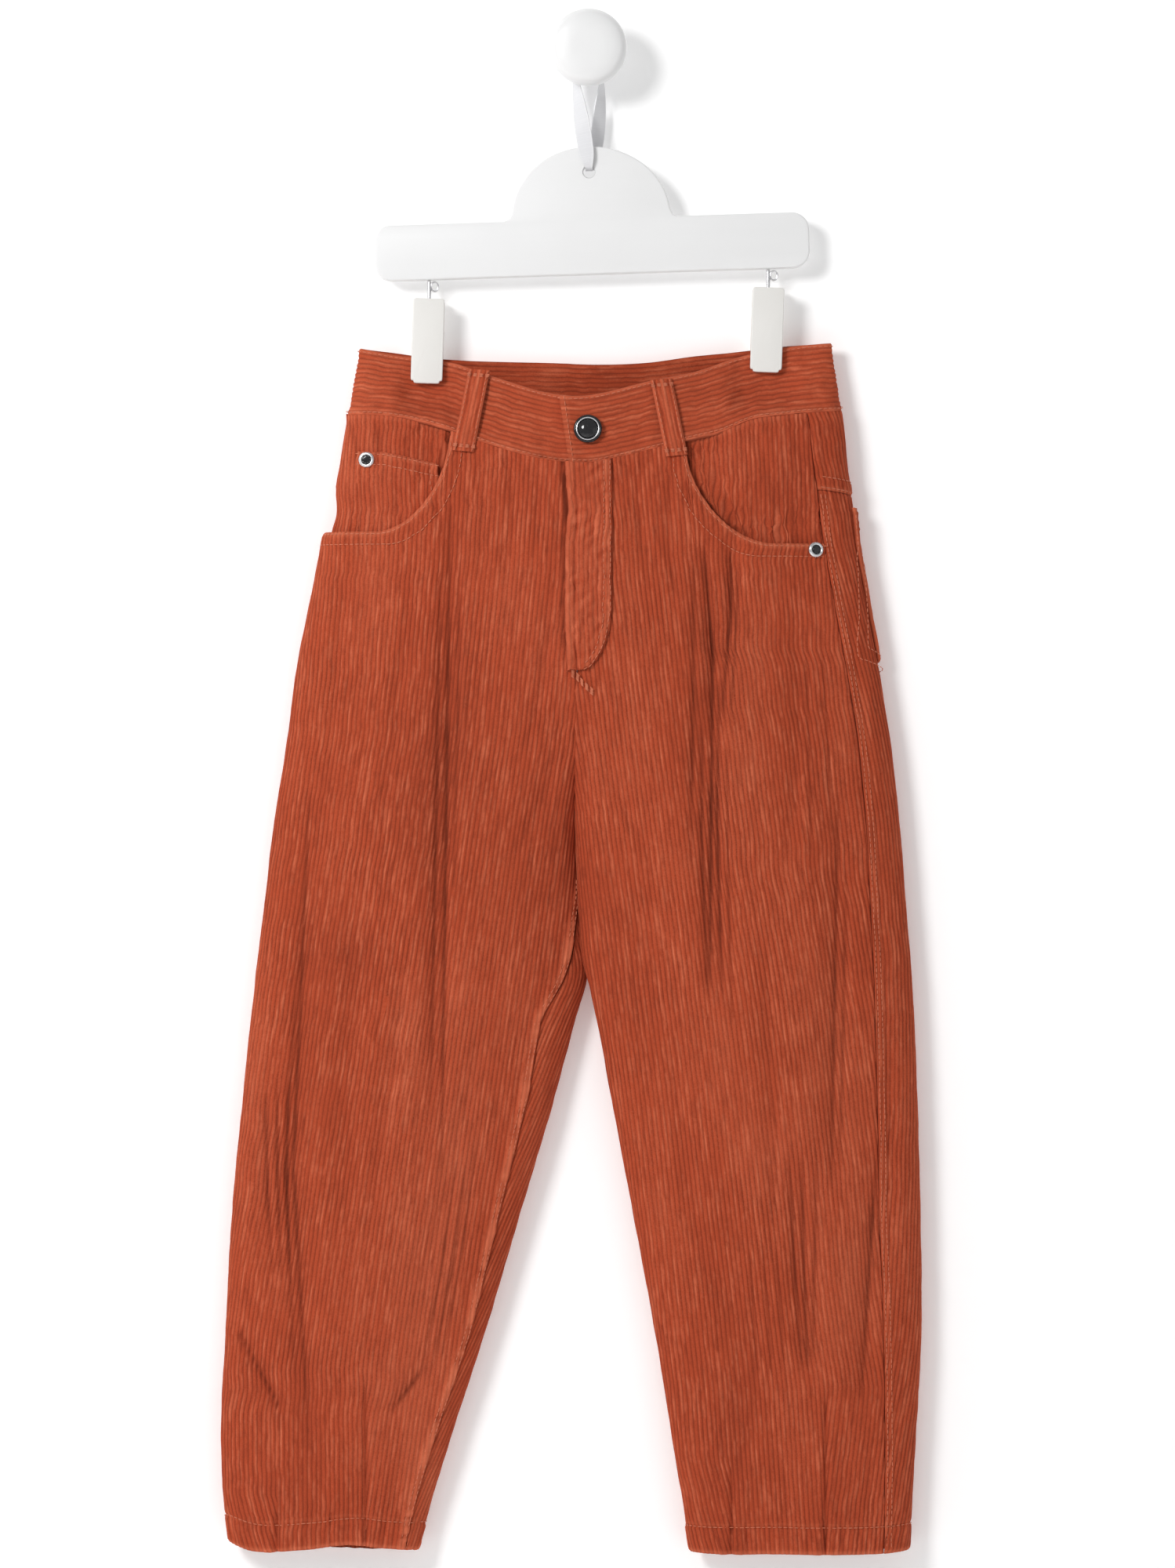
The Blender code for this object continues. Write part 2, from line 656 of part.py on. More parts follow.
def scoop_points(side, grow=0.0):
    """The pocket mouth as (distance along the ring, drop), from the waist seam to the side seam."""
    start_x, width, depth = SCOOPS[side]
    away = -sign(side)
    start_drop = waist_drop(start_x)
    points = []
    for angle in np.linspace(0.0, 0.5 * math.pi, 25):
        x = start_x + away * width * (1.0 - math.cos(angle) ** (2.0 / SCOOP_POWER))
        drop = start_drop + depth * math.sin(angle) ** (2.0 / SCOOP_POWER)
        points.append((arc_of_x(side, x, drop) - grow, drop + grow))
    end = seam_arc(side, "side", start_drop + depth) - 0.5 * SEAM_GAP
    for place in np.linspace(points[-1][0], end, 12)[1:]:
        points.append((place, start_drop + depth + grow))
    return points


def scoop_drop(side, place, grow=0.0):
    """The pocket mouth's drop at a distance along the ring."""
    points = np.array(scoop_points(side, grow))
    return float(np.interp(place, points[:, 0], points[:, 1]))


def spaced(points, count):
    """A path's points, shared out again at equal distances."""
    points = np.array(points, float)
    length = np.concatenate([[0.0], np.cumsum(np.hypot(*np.diff(points, axis=0).T))])
    at = np.linspace(0.0, length[-1], count)
    return np.column_stack([np.interp(at, length, points[:, 0]), np.interp(at, length, points[:, 1])])


def front_top(side):
    """The front panel's upper edge: the waist seam from the centre, then the pocket mouth."""
    scoop = scoop_points(side)
    start = scoop[0][0]
    first = front_limits(side, FRONT_WAIST_LEVEL)[0]
    seam = []
    for place in np.linspace(first, start, 24)[:-1]:
        seam.append((place, waist_drop_on_ring(side, place) + BAND_GAP))
    scoop[0] = (scoop[0][0], scoop[0][1] + BAND_GAP)
    return spaced(seam + scoop, FRONT_PANEL_COLUMNS + 1)


def hem_drop(side, place, drop):
    """The hem's drop at a distance along the ring."""
    points, arc, _, edge = ring(side, drop)
    at = place % arc[-1] if not 0.0 <= place <= arc[-1] else place
    x = np.interp(at, arc, points[:, 0])
    across = (x - points[0, 0]) / (points[72, 0] - points[0, 0])
    face = "front" if at <= edge else "back"
    return float(read(HEMS, HEM_COLUMNS, side + "_" + face, across))


def panel_grid(side, tops, shares, limits):
    """Rows from the upper edge to the hem. The rows between the fixed levels are level."""
    rows = []
    for step in range(UPPER_ROWS):
        part = step / UPPER_ROWS
        row = []
        for (top_share, top_drop), share in zip(tops, shares):
            drop = top_drop + part * (UPPER_LEVEL - top_drop)
            at = top_share + part * (share - top_share)
            row.append((share_to_arc(side, at, drop, *limits(side, drop)), drop))
        rows.append(row)
    for drop in LEVELS:
        rows.append([(share_to_arc(side, share, drop, *limits(side, drop)), drop) for share in shares])
    for step in range(1, LOWER_ROWS + 1):
        row = []
        for share in shares:
            low = share_to_arc(side, share, HEM_LEVEL, *limits(side, HEM_LEVEL))
            hem = hem_drop(side, low, HEM_LEVEL)
            drop = LOWER_LEVEL + (hem - LOWER_LEVEL) * step / LOWER_ROWS
            row.append((share_to_arc(side, share, drop, *limits(side, drop)), drop))
        rows.append(row)
    grid = np.array(rows)
    return grid[:, :, 0], grid[:, :, 1]


def wall_thickness(drops):
    """The hem is turned up, so the cloth is doubled there."""
    return (CLOTH + (HEM_CLOTH - CLOTH) * (drops > LOWER_LEVEL))[..., None]


def front_panel(side):
    top = front_top(side)
    tops = [(arc_to_share(side, place, drop, *front_limits(side, drop)), drop) for place, drop in top]
    shares = np.linspace(0.0, 1.0, FRONT_PANEL_COLUMNS + 1)
    places, drops = panel_grid(side, tops, shares, front_limits)
    beyond = past_the_seams(side, places, drops)
    cloth("front_" + side, side, skin(side, places, drops), thick=wall_thickness(drops), beyond=beyond)


def yoke_drop(share):
    return YOKE_SIDE_DROP + (YOKE_CENTRE_DROP - YOKE_SIDE_DROP) * share


def back_panel(side):
    shares = np.linspace(0.0, 1.0, BACK_PANEL_COLUMNS + 1)
    tops = [(share, yoke_drop(share) + SEAM_GAP) for share in shares]
    places, drops = panel_grid(side, tops, shares, back_limits)
    beyond = past_the_seams(side, places, drops)
    cloth("back_" + side, side, skin(side, places, drops), thick=wall_thickness(drops), beyond=beyond)


def yoke(side):
    rows = []
    shares = np.linspace(0.0, 1.0, BACK_PANEL_COLUMNS + 1)
    for part in np.linspace(0.0, 1.0, 4):
        row = []
        for share in shares:
            place = share_to_arc(side, share, WAIST_LEVEL, *back_limits(side, WAIST_LEVEL))
            top = waist_drop_on_ring(side, place) + YOKE_GAP
            drop = top + part * (yoke_drop(share) - top)
            row.append((share_to_arc(side, share, drop, *back_limits(side, drop)), drop))
        rows.append(row)
    grid = np.array(rows)
    places, drops = grid[:, :, 0], grid[:, :, 1]
    cloth("yoke_" + side, side, skin(side, places, drops), beyond=past_the_seams(side, places, drops))


def facing_inset(side, place, drop):
    """The hip piece goes under the front along the pocket mouth and comes up level away from it."""
    start = scoop_points(side)[0][0]
    distance = min(scoop_drop(side, place) - drop, place - start)
    return FACING_INSET * (1.0 - float(smooth((distance - FACING_EDGE) / FACING_REACH)))


def facing_place(side, place, drop):
    """A place on the hip piece, given its place at the piece's middle: it follows the side seam."""
    start = scoop_points(side)[0][0]
    end = seam_arc(side, "side", FACING_DROP)
    return place + float(smooth((place - start) / (end - start))) * (seam_arc(side, "side", drop) - end)


def facing_top(side, place):
    """The waist seam's drop above a place on the hip piece."""
    drop = WAIST_LEVEL
    for _ in range(4):
        x, _, _ = skin_point(side, facing_place(side, place, drop), drop)
        face = "front" if facing_place(side, place, drop) <= ring(side, drop)[3] else "back"
        drop = waist_drop(x, face) + BAND_GAP
    return drop


def facing_grid(side, place_from, place_to, top_of, low_of, columns, rows):
    places = np.linspace(place_from, place_to, columns + 1)
    tops = np.array([top_of(place) for place in places])
    lows = np.array([low_of(place) for place in places])
    drop_grid = tops + np.linspace(0.0, 1.0, rows + 1)[:, None] * (lows - tops)
    place_grid = np.vectorize(lambda place, drop: facing_place(side, place, drop))(places, drop_grid)
    inset = np.vectorize(lambda place, drop: facing_inset(side, place, drop))(place_grid, drop_grid)
    return skin(side, place_grid, drop_grid), inset[..., None]


def pocket_facing(side):
    """The hip piece that shows inside the pocket mouth."""
    scoop = scoop_points(side, FACING_UNDER)
    end = seam_arc(side, "side", FACING_DROP) - 0.5 * SEAM_GAP
    grid, inset = facing_grid(
        side, scoop[0][0] + FACING_START, end, lambda place: facing_top(side, place),
        lambda place: scoop_drop(side, place, FACING_UNDER), 14, 7,
    )
    cloth("pocket_facing_" + side, side, grid, lift=-inset)


def coin_pocket():
    """The small pocket on the wearer's right hip, its lower edge under the front."""
    ends = [arc_of_x(RIGHT, x, FACING_DROP) for x in COIN_ENDS]

    def top_of(place):
        x, _, _ = skin_point(RIGHT, place, COIN_LEVEL)
        return float(np.interp(x, *COIN_TOP))

    grid, inset = facing_grid(
        RIGHT, *ends, top_of, lambda place: scoop_drop(RIGHT, place, COIN_UNDER), 9, 6,
    )
    cloth("coin_pocket", RIGHT, grid, lift=LAYER_GAP + OVERLAY - inset, thick=OVERLAY)


def fly():
    """The fly's raised layer, straight at the wearer's right and curved at its foot."""
    rows = []
    for drop in np.linspace(0.0, 1.0, 12):
        row = []
        for share in np.linspace(0.0, 1.0, 6):
            low = waist_drop(FLY_EDGE_X + share * (FLY_STITCH_X - FLY_EDGE_X)) + SEAM_GAP
            here = low + drop * (FLY_END_DROP - low)
            past = max(here - FLY_STRAIGHT_DROP, 0.0) / (FLY_END_DROP - FLY_STRAIGHT_DROP)
            bend = 1.0 - math.sqrt(max(1.0 - past * past, 0.0))
            right = FLY_STITCH_X + (FLY_FOOT_X - FLY_STITCH_X) * bend
            x = FLY_EDGE_X + share * (right - FLY_EDGE_X)
            row.append((x, body_y(x, here), -here))
        rows.append(row)
    grid = np.array(rows)
    cloth("fly", LEFT, grid, lift=LAYER_GAP + OVERLAY, thick=OVERLAY)


def back_pocket(side):
    """A five-sided patch pocket under the yoke, measured along the cloth from its outer edge."""
    places, drops = [], []
    for part in np.linspace(0.0, 1.0, 8):
        shares = np.linspace(0.0, 1.0, 10)
        top = POCKET_TOP + POCKET_SLANT * shares
        point = POCKET_POINT * (1.0 - np.abs(2.0 * shares - 1.0))
        low = POCKET_TOP + POCKET_HEIGHT + POCKET_LOW_SLANT * shares + point
        row = top + part * (low - top)
        outer = [ring(side, drop)[3] + POCKET_OFFSETS[side] + POCKET_TAPER * part for drop in row]
        width = POCKET_WIDTH - 2.0 * POCKET_TAPER * part
        places.append([
            share_to_arc(side, share, drop, start, start + width)
            for share, drop, start in zip(shares, row, outer)
        ])
        drops.append(row)
    grid = skin(side, np.array(places), np.array(drops))
    cloth("back_pocket_" + side, side, grid, lift=PATCH_GAP + OVERLAY, thick=OVERLAY)


# ---------------------------------------------------------------- waistband and loops

def band_point(face, x, share):
    """A point on the waistband's outer face, from its upper edge (0) to the waist seam (1)."""
    low_drop = waist_drop(x, face) - SEAM_GAP
    top_end = BAND_TOP[0][0] if x < 0.0 else BAND_TOP[-1][0]
    low_end = BAND_LOW_ENDS[0] if x < 0.0 else BAND_LOW_ENDS[1]
    top_x = x * top_end / low_end
    top_drop = float(read(BAND_TOP, TOP_COLUMNS, face + "_drop", top_x))
    top_y = float(read(BAND_TOP, TOP_COLUMNS, face + "_y", top_x))
    near_edge = min(abs(top_end - top_x) / BAND_EDGE_ROUND, 1.0)
    top_y = BAND_MIDDLE + (top_y - BAND_MIDDLE) * math.sqrt(1.0 - (1.0 - near_edge) ** 2)
    low_y = body_y(x, low_drop, face)
    hold = sum(math.exp(-(((x - clip_x) / BAND_HOLD) ** 4)) for clip_x, _, _ in CLIPS.values())
    held = float(smooth((share - BAND_HOLD_END) / (1.0 - BAND_HOLD_END)))
    part = share + min(BAND_HOLD_FULL * hold, 1.0) * (held - share)
    return (
        top_x + share * (x - top_x),
        top_y + part * (low_y - top_y),
        -(top_drop + share * (low_drop - top_drop)),
    )


def band_stations():
    """Places along the band: over end, wearer's left, back, wearer's right, under end."""
    ends = []
    for side, x in ((LEFT, WAIST_SEAM[-1][0]), (RIGHT, WAIST_SEAM[0][0])):
        ends.append(float(read(SECTIONS, SECTION_COLUMNS, side + "_outer", waist_drop(x) - SEAM_GAP)))
    left, right = ends
    flat_left = left - BAND_TURN
    flat_right = right + BAND_TURN
    quarter = 0.5 * math.pi * np.arange(1, BAND_TURN_STATIONS + 1) / BAND_TURN_STATIONS
    away = BAND_TURN * (1.0 - np.cos(quarter))
    coming = BAND_TURN * np.sin(quarter)
    stations = [("front", x) for x in np.linspace(OVER_END[1], flat_left, BAND_OVER_STATIONS + 1)]
    stations += [("front", flat_left + step) for step in coming]
    stations += [("back", left - step) for step in away]
    stations += [("back", x) for x in np.linspace(flat_left, flat_right, BAND_BACK_STATIONS + 1)[1:]]
    stations += [("back", flat_right - step) for step in coming]
    stations += [("front", right + step) for step in away]
    stations += [("front", x) for x in np.linspace(flat_right, UNDER_END, BAND_UNDER_STATIONS + 1)[1:]]
    return stations


def waistband():
    stations = band_stations()
    grid = np.array([[band_point(face, x, share) for face, x in stations] for share in BAND_SHARES])
    half = len(stations) // 2
    ramp_start, ramp_end = UNDER_RAMP
    for j, (face, x) in enumerate(stations):
        if face == "front" and j > half:
            set_back = float(smooth((x - ramp_start) / (ramp_end - ramp_start)))
            grid[:, j, 1] += UNDER_SET_BACK * set_back
        if face == "front" and j < half:
            lead = max(0.0, 1.0 - j / OVER_LEAD)
            grid[:, j, 0] += lead * (OVER_END[0] - OVER_END[1]) * (1.0 - np.array(BAND_SHARES))
    facing = normals(grid, LEFT)
    shell("waistband", grid, grid - facing * BAND_CLOTH)


def cloth_y(x, drop, face):
    """The outermost cloth at this place, on the band or below it."""
    seam = waist_drop(x, face) - SEAM_GAP
    if drop >= seam:
        return body_y(x, drop, face)
    top = -band_point(face, x, 0.0)[2]
    return band_point(face, x, (drop - top) / (seam - top))[1]


# name, face, top x, low x, top drop, low drop
LOOPS = (
    ("belt_loop_front_right", "front", -62.6, -71.6, 184.0, 231.4),
    ("belt_loop_front_left", "front", 41.6, 50.6, 190.0, 234.0),
    ("belt_loop_back_right", "back", -66.0, -68.0, 179.2, 223.4),
    ("belt_loop_back_centre", "back", -4.0, -4.5, 181.6, 226.0),
    ("belt_loop_back_left", "back", 74.0, 76.5, 175.4, 220.4),
)
LOOP_WIDTH = 12.4
LOOP_CLOTH = 1.4
LOOP_BOW = 1.6
LOOP_SLANT = 0.1


def belt_loop(name, face, top_x, low_x, top_drop, low_drop):
    out = -1.0 if face == "front" else 1.0
    rows = []
    for part in np.linspace(0.0, 1.0, 8):
        row = []
        for across in (-0.5, 0.0, 0.5):
            x = top_x + part * (low_x - top_x) + across * LOOP_WIDTH
            slant = LOOP_SLANT * across * LOOP_WIDTH * (1.0 if top_x > low_x else -1.0)
            drop = top_drop + part * (low_drop - top_drop) + slant
            lift = LAYER_GAP + LOOP_CLOTH + LOOP_BOW * math.sin(math.pi * part)
            row.append((x, cloth_y(x, drop, face) + out * lift, -drop))
        rows.append(row)
    grid = np.array(rows)
    inner = grid.copy()
    inner[:, :, 1] -= out * LOOP_CLOTH
    shell(name, grid, inner)


# ---------------------------------------------------------------- hardware

def seat(x, drop, face, lift):
    """A place lifted off the cloth, and the direction the cloth faces there."""
    step = 2.0
    y = cloth_y(x, drop, face)
    slope_x = (cloth_y(x + step, drop, face) - cloth_y(x - step, drop, face)) / (2.0 * step)
    slope_z = -(cloth_y(x, drop + step, face) - cloth_y(x, drop - step, face)) / (2.0 * step)
    out = np.array((slope_x, -1.0, slope_z)) * (1.0 if face == "front" else -1.0)
    out /= np.linalg.norm(out)
    return np.array((x, y, -drop)) + out * lift, out


def ring_seat(side, place, drop, lift):
    """A place lifted off the cloth where it turns round the side, and the direction it faces."""
    step = 2.5
    before = np.array(skin_point(side, place - step, drop))
    after = np.array(skin_point(side, place + step, drop))
    out = np.cross(after - before, (0.0, 0.0, -1.0)) * sign(side)
    out /= np.linalg.norm(out)
    return np.array(skin_point(side, place, drop)) + out * lift, out


def waist_button():
    place, out = seat(*BUTTON_PLACE, "front", BUTTON_LIFT)
    turned("button_rim", BUTTON_RIM, place, out, "steel", BUTTON_SIDES)
    turned("button_cap", BUTTON_CAP, place, out, "black_cap", BUTTON_SIDES)


def rivets():
    place, out = seat(*COIN_RIVET, "front", LAYER_GAP + OVERLAY + RIVET_LIFT)
    turned("rivet_coin_pocket", RIVET_OUTLINE, place, out, "steel", RIVET_SIDES)
    place, out = seat(*POCKET_RIVET_LEFT, "front", RIVET_LIFT)
    turned("rivet_pocket_left", RIVET_OUTLINE, place, out, "steel", RIVET_SIDES)
    past_seam, drop = POCKET_RIVET_RIGHT
    place, out = ring_seat(RIGHT, seam_arc(RIGHT, "side", drop) + past_seam, drop, RIVET_LIFT)
    turned("rivet_pocket_right", RIVET_OUTLINE, place, out, "steel", RIVET_SIDES)


def knob():
    outline = (
        (0.0, 0.0), (STEM_RADIUS, 0.0), (STEM_RADIUS, STEM_DEPTH - 2.5), (STEM_RADIUS + 3.0, STEM_DEPTH),
        (KNOB_RADIUS - 2.5, STEM_DEPTH + 1.0), (KNOB_RADIUS - 0.5, STEM_DEPTH + 3.0),
        (KNOB_RADIUS, STEM_DEPTH + 6.0), (KNOB_RADIUS - 0.6, STEM_DEPTH + 9.0),
        (KNOB_RADIUS - 3.0, KNOB_DEPTH - 2.4), (KNOB_RADIUS - 7.0, KNOB_DEPTH - 0.9),
        (KNOB_RADIUS - 12.0, KNOB_DEPTH - 0.2), (0.0, KNOB_DEPTH),
    )
    turned("wall_knob", outline, (0.0, 0.0, 0.0), (0.0, -1.0, 0.0), "white_wood", 32)


def add_to(target, tool, operation):
    """Join a shape to an object, or cut it out, and leave the shape itself out of the model."""
    tool.hide_render = True
    tool.display_type = "WIRE"
    step = target.modifiers.new(tool.name, "BOOLEAN")
    step.operation = operation
    step.object = tool


def rod(name, radius, length, place, axis, sides):
    outline = ((0.0, 0.0), (radius, 0.0), (radius, length), (0.0, length))
    return turned(name, outline, place, axis, "white_plastic", sides)


def arc_points(centre, radii, start, end, count):
    angles = np.linspace(math.radians(start), math.radians(end), count)
    return [(centre[0] + radii[0] * math.cos(a), centre[1] + radii[1] * math.sin(a)) for a in angles]


def tilted(points):
    """Board points turned about its hole, by the tilt that the hanger hangs at."""
    c, s = math.cos(BOARD_TILT), math.sin(BOARD_TILT)
    px, pz = BOARD_PIVOT
    return [(px + x * c - z * s, pz + x * s + z * c) for x, z in points]


def board_outline():
    top, low = BOARD_TOP, BOARD_TOP - BOARD_HEIGHT
    half, corner = BOARD_HALF, BOARD_CORNER
    fillet = 0.3 * DOME_FILLET
    points = arc_points((-half + corner, low + corner), (corner, corner), 180, 270, 6)
    points += arc_points((half - corner, low + corner), (corner, corner), 270, 360, 6)
    points += arc_points((half - corner, top - corner), (corner, corner), 0, 90, 6)
    points += [(DOME_HALF + DOME_FILLET, top), (DOME_HALF + fillet, top + fillet)]
    points += arc_points((0.0, top + 0.5 * fillet), (DOME_HALF, DOME_RISE), 6, 174, 27)
    points += [(-DOME_HALF - fillet, top + fillet), (-DOME_HALF - DOME_FILLET, top)]
    points += arc_points((-half + corner, top - corner), (corner, corner), 90, 180, 6)
    return tilted(points)


def hanger_board():
    board = plate("hanger_board", board_outline(), BOARD_FRONT, BOARD_BACK, BOARD_CHAMFER, "white_wood")
    px, pz = BOARD_PIVOT
    cutter = rod("hole", HOLE_RADIUS, HOLE_DEPTH, (px, 0.0, pz), (0.0, -1.0, 0.0), HOLE_SIDES)
    add_to(board, cutter, "DIFFERENCE")


def clip(side):
    """Two jaws that pinch the waistband; the rear one carries the spring and the wire to the board."""
    x, top_drop, lean = CLIPS[side]
    half = 0.5 * CLIP_WIDTH
    notch = CLIP_NOTCH
    step = notch + CLIP_STEP
    corner = CLIP_CORNER
    local = [
        (-half, -CLIP_LENGTH + notch), (-half + notch, -CLIP_LENGTH + notch),
        (-half + step, -CLIP_LENGTH), (half - step, -CLIP_LENGTH),
        (half - notch, -CLIP_LENGTH + notch), (half, -CLIP_LENGTH + notch),
        (half, -corner), (half - corner, 0.0), (-half + corner, 0.0), (-half, -corner),
    ]
    c, s = math.cos(lean), math.sin(lean)
    outline = [(x + px * c + pz * s, -top_drop - px * s + pz * c) for px, pz in local]
    front, back = JAW_FACES
    plate("clip_%s_front_jaw" % side, outline, front - JAW_DEPTH, front, JAW_CHAMFER, "white_plastic")
    rear = plate("clip_%s_back_jaw" % side, outline, back, back + JAW_DEPTH, JAW_CHAMFER, "white_plastic")
    spring_y = back + SPRING_SET_IN - SPRING_RADIUS
    spring_z = -top_drop - SPRING_DROP
    spring_half = half - SPRING_SHORT
    board_low = tilted([(x - BOARD_PIVOT[0], BOARD_TOP - BOARD_HEIGHT)])[0][1]
    spring = rod(
        "spring_" + side, SPRING_RADIUS, 2.0 * spring_half,
        (x - spring_half, spring_y, spring_z), (1.0, 0.0, 0.0), 12,
    )
    wire = rod(
        "wire_" + side, WIRE_RADIUS, board_low - WIRE_GAP - spring_z,
        (x, spring_y, spring_z), (0.0, 0.001, 1.0), 10,
    )
    add_to(rear, spring, "UNION")
    add_to(rear, wire, "UNION")


def ribbon():
    """The ribbon loop, over the knob's stem and through the board's hole."""
    table = np.array(RIBBON + RIBBON[:1])
    table[-1, 4] += 180.0
    knots = np.arange(len(table), dtype=float)
    at = np.linspace(0.0, knots[-1], RIBBON_STATIONS + 1)[:-1]
    path = np.column_stack([through(knots, table[:, k], at) for k in range(5)])
    ahead = np.roll(path[:, :3], -1, axis=0) - np.roll(path[:, :3], 1, axis=0)
    ahead /= np.linalg.norm(ahead, axis=1, keepdims=True)
    turn = np.radians(path[:, 4])
    wide = np.column_stack([np.cos(turn), -np.sin(turn), np.zeros(len(turn))])
    wide -= ahead * (wide * ahead).sum(axis=1, keepdims=True)
    wide /= np.linalg.norm(wide, axis=1, keepdims=True)
    flat = np.cross(ahead, wide)
    half = 0.5 * path[:, 3:4]
    middle = np.stack([path[:, :3] + wide * half * k for k in (-1.0, 0.0, 1.0)], axis=1)
    lift = 0.5 * RIBBON_THICK * flat[:, None, :]
    shell("ribbon_loop", middle + lift, middle - lift, "ribbon", loop=True)


def main():
    for obj in list(bpy.data.objects):
        bpy.data.objects.remove(obj)
    make_materials()
    for side in (RIGHT, LEFT):
        front_panel(side)
        back_panel(side)
        yoke(side)
        pocket_facing(side)
        back_pocket(side)
        clip(side)
    coin_pocket()
    fly()
    waistband()
    for loop in LOOPS:
        belt_loop(*loop)
    waist_button()
    rivets()
    knob()
    hanger_board()
    ribbon()


main()
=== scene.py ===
"""Dresses the child's corduroy trousers, their clip hanger and the wall knob for the render.

Right and left are the wearer's: the wearer's right is -X. Tables and sizes in them are in
millimetres, and a drop is a distance below the origin, the middle of the knob's back face.
"""

import math

import bmesh
import bpy
import numpy as np
from bpy.props import FloatProperty, FloatVectorProperty, IntProperty, PointerProperty
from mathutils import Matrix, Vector


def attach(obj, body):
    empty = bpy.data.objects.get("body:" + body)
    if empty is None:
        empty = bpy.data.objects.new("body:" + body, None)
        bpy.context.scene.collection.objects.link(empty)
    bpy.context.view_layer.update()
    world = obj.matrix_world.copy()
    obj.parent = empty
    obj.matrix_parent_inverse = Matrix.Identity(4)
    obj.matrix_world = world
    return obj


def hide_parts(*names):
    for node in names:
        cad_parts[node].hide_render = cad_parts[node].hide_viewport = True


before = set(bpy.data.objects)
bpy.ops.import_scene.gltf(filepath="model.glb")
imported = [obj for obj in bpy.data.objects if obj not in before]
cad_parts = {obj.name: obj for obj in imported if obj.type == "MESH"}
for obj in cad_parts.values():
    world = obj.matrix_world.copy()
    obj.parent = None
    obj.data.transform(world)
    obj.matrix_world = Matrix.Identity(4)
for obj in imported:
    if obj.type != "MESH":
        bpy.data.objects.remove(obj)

bl_info = {
    "name": "Corduroy Trousers on a Clip Hanger",
    "version": (1, 0, 0),
    "blender": (4, 5, 0),
    "location": "3D View > Sidebar > Trousers",
    "description": "Makes corduroy trousers with wales, seams and stitching, and what they hang from",
    "category": "Add Mesh",
}

MM = 0.001
RIGHT = "right"
LEFT = "left"
BODY = "root"

# Cloth
CLOTH = 1.6
BAND_CLOTH = 2.2
BAND_TUCK = 0.8
SEAM_GAP = 0.3
BAND_SEAM_GAP = 0.4
CROTCH_GAP = 1.0
INSEAM_BEND = 500.0
INSEAM_BEND_REACH = 60.0
RISE_OPENING = 9.0
OVERLAY = 1.2
LAYER_GAP = 0.35
QUARTERS = 4
SNAP = 0.35
DENSE_ROW = 1.4
LONG_ROW = 4.6
# How far the ground between the wales lies below the form, by the wales' height
WALE_SUNK = 0.32
# How far a thread is traced over the form's table, and the rounds that settle a piece's ends
TRACED_LEVELS = 60
SETTLING_ROUNDS = 30
# The angle from which an edge of the cloth, or of a fitting, shows as sharp
SHARP_CLOTH = math.radians(75)
SHARP_FITTING = math.radians(42)

# Cross-section of the hanging body and legs
MIDDLE = -13.0
EDGE_FRONT = 8.0
EDGE_BACK = 7.0
EDGE_ROUND = 13.0
RISE_TOP = 392.0
CROTCH = 474.0
PART_TOP = 330.0
PART_END = 520.0
LEAN = 3.0
LEAN_REACH = 45.0

SECTION_COLUMNS = ("drop", "right_outer", "right_inner", "left_inner", "left_outer", "front", "back")
SECTIONS = (
    (200.0, -137.4, -6.7, -6.3, 143.8, 9.0, 2.0),
    (210.0, -138.6, -6.7, -6.3, 146.0, 10.0, 2.5),
    (237.0, -142.8, -6.7, -6.3, 148.8, 14.0, 3.0),
    (264.0, -148.3, -6.7, -6.3, 152.3, 18.0, 3.0),
    (282.0, -153.2, -6.7, -6.3, 154.1, 20.0, 3.0),
    (309.0, -158.6, -6.7, -6.3, 158.6, 22.0, 3.0),
    (354.0, -167.6, -6.5, -6.1, 166.7, 24.0, 3.0),
    (399.0, -173.5, -6.4, -5.8, 173.9, 24.0, 3.0),
    (444.0, -180.7, -6.2, -5.5, 178.9, 22.0, 3.0),
    (489.0, -186.1, -4.3, -3.5, 182.5, 19.0, 3.0),
    (534.0, -191.5, -1.0, 0.0, 186.1, 17.0, 3.0),
    (556.0, -194.0, -7.2, 4.7, 187.3, 16.5, 3.0),
    (602.0, -198.7, -19.6, 13.3, 189.2, 16.0, 3.0),
    (669.0, -205.0, -39.4, 25.9, 191.0, 14.0, 2.5),
    (737.0, -208.6, -59.6, 38.5, 191.5, 12.0, 2.5),
    (804.0, -211.3, -81.2, 49.3, 187.9, 10.0, 2.0),
    (845.0, -208.6, -93.4, 56.0, 185.6, 9.0, 2.0),
    (866.0, -205.5, -98.5, 59.0, 184.0, 9.5, 2.0),
)

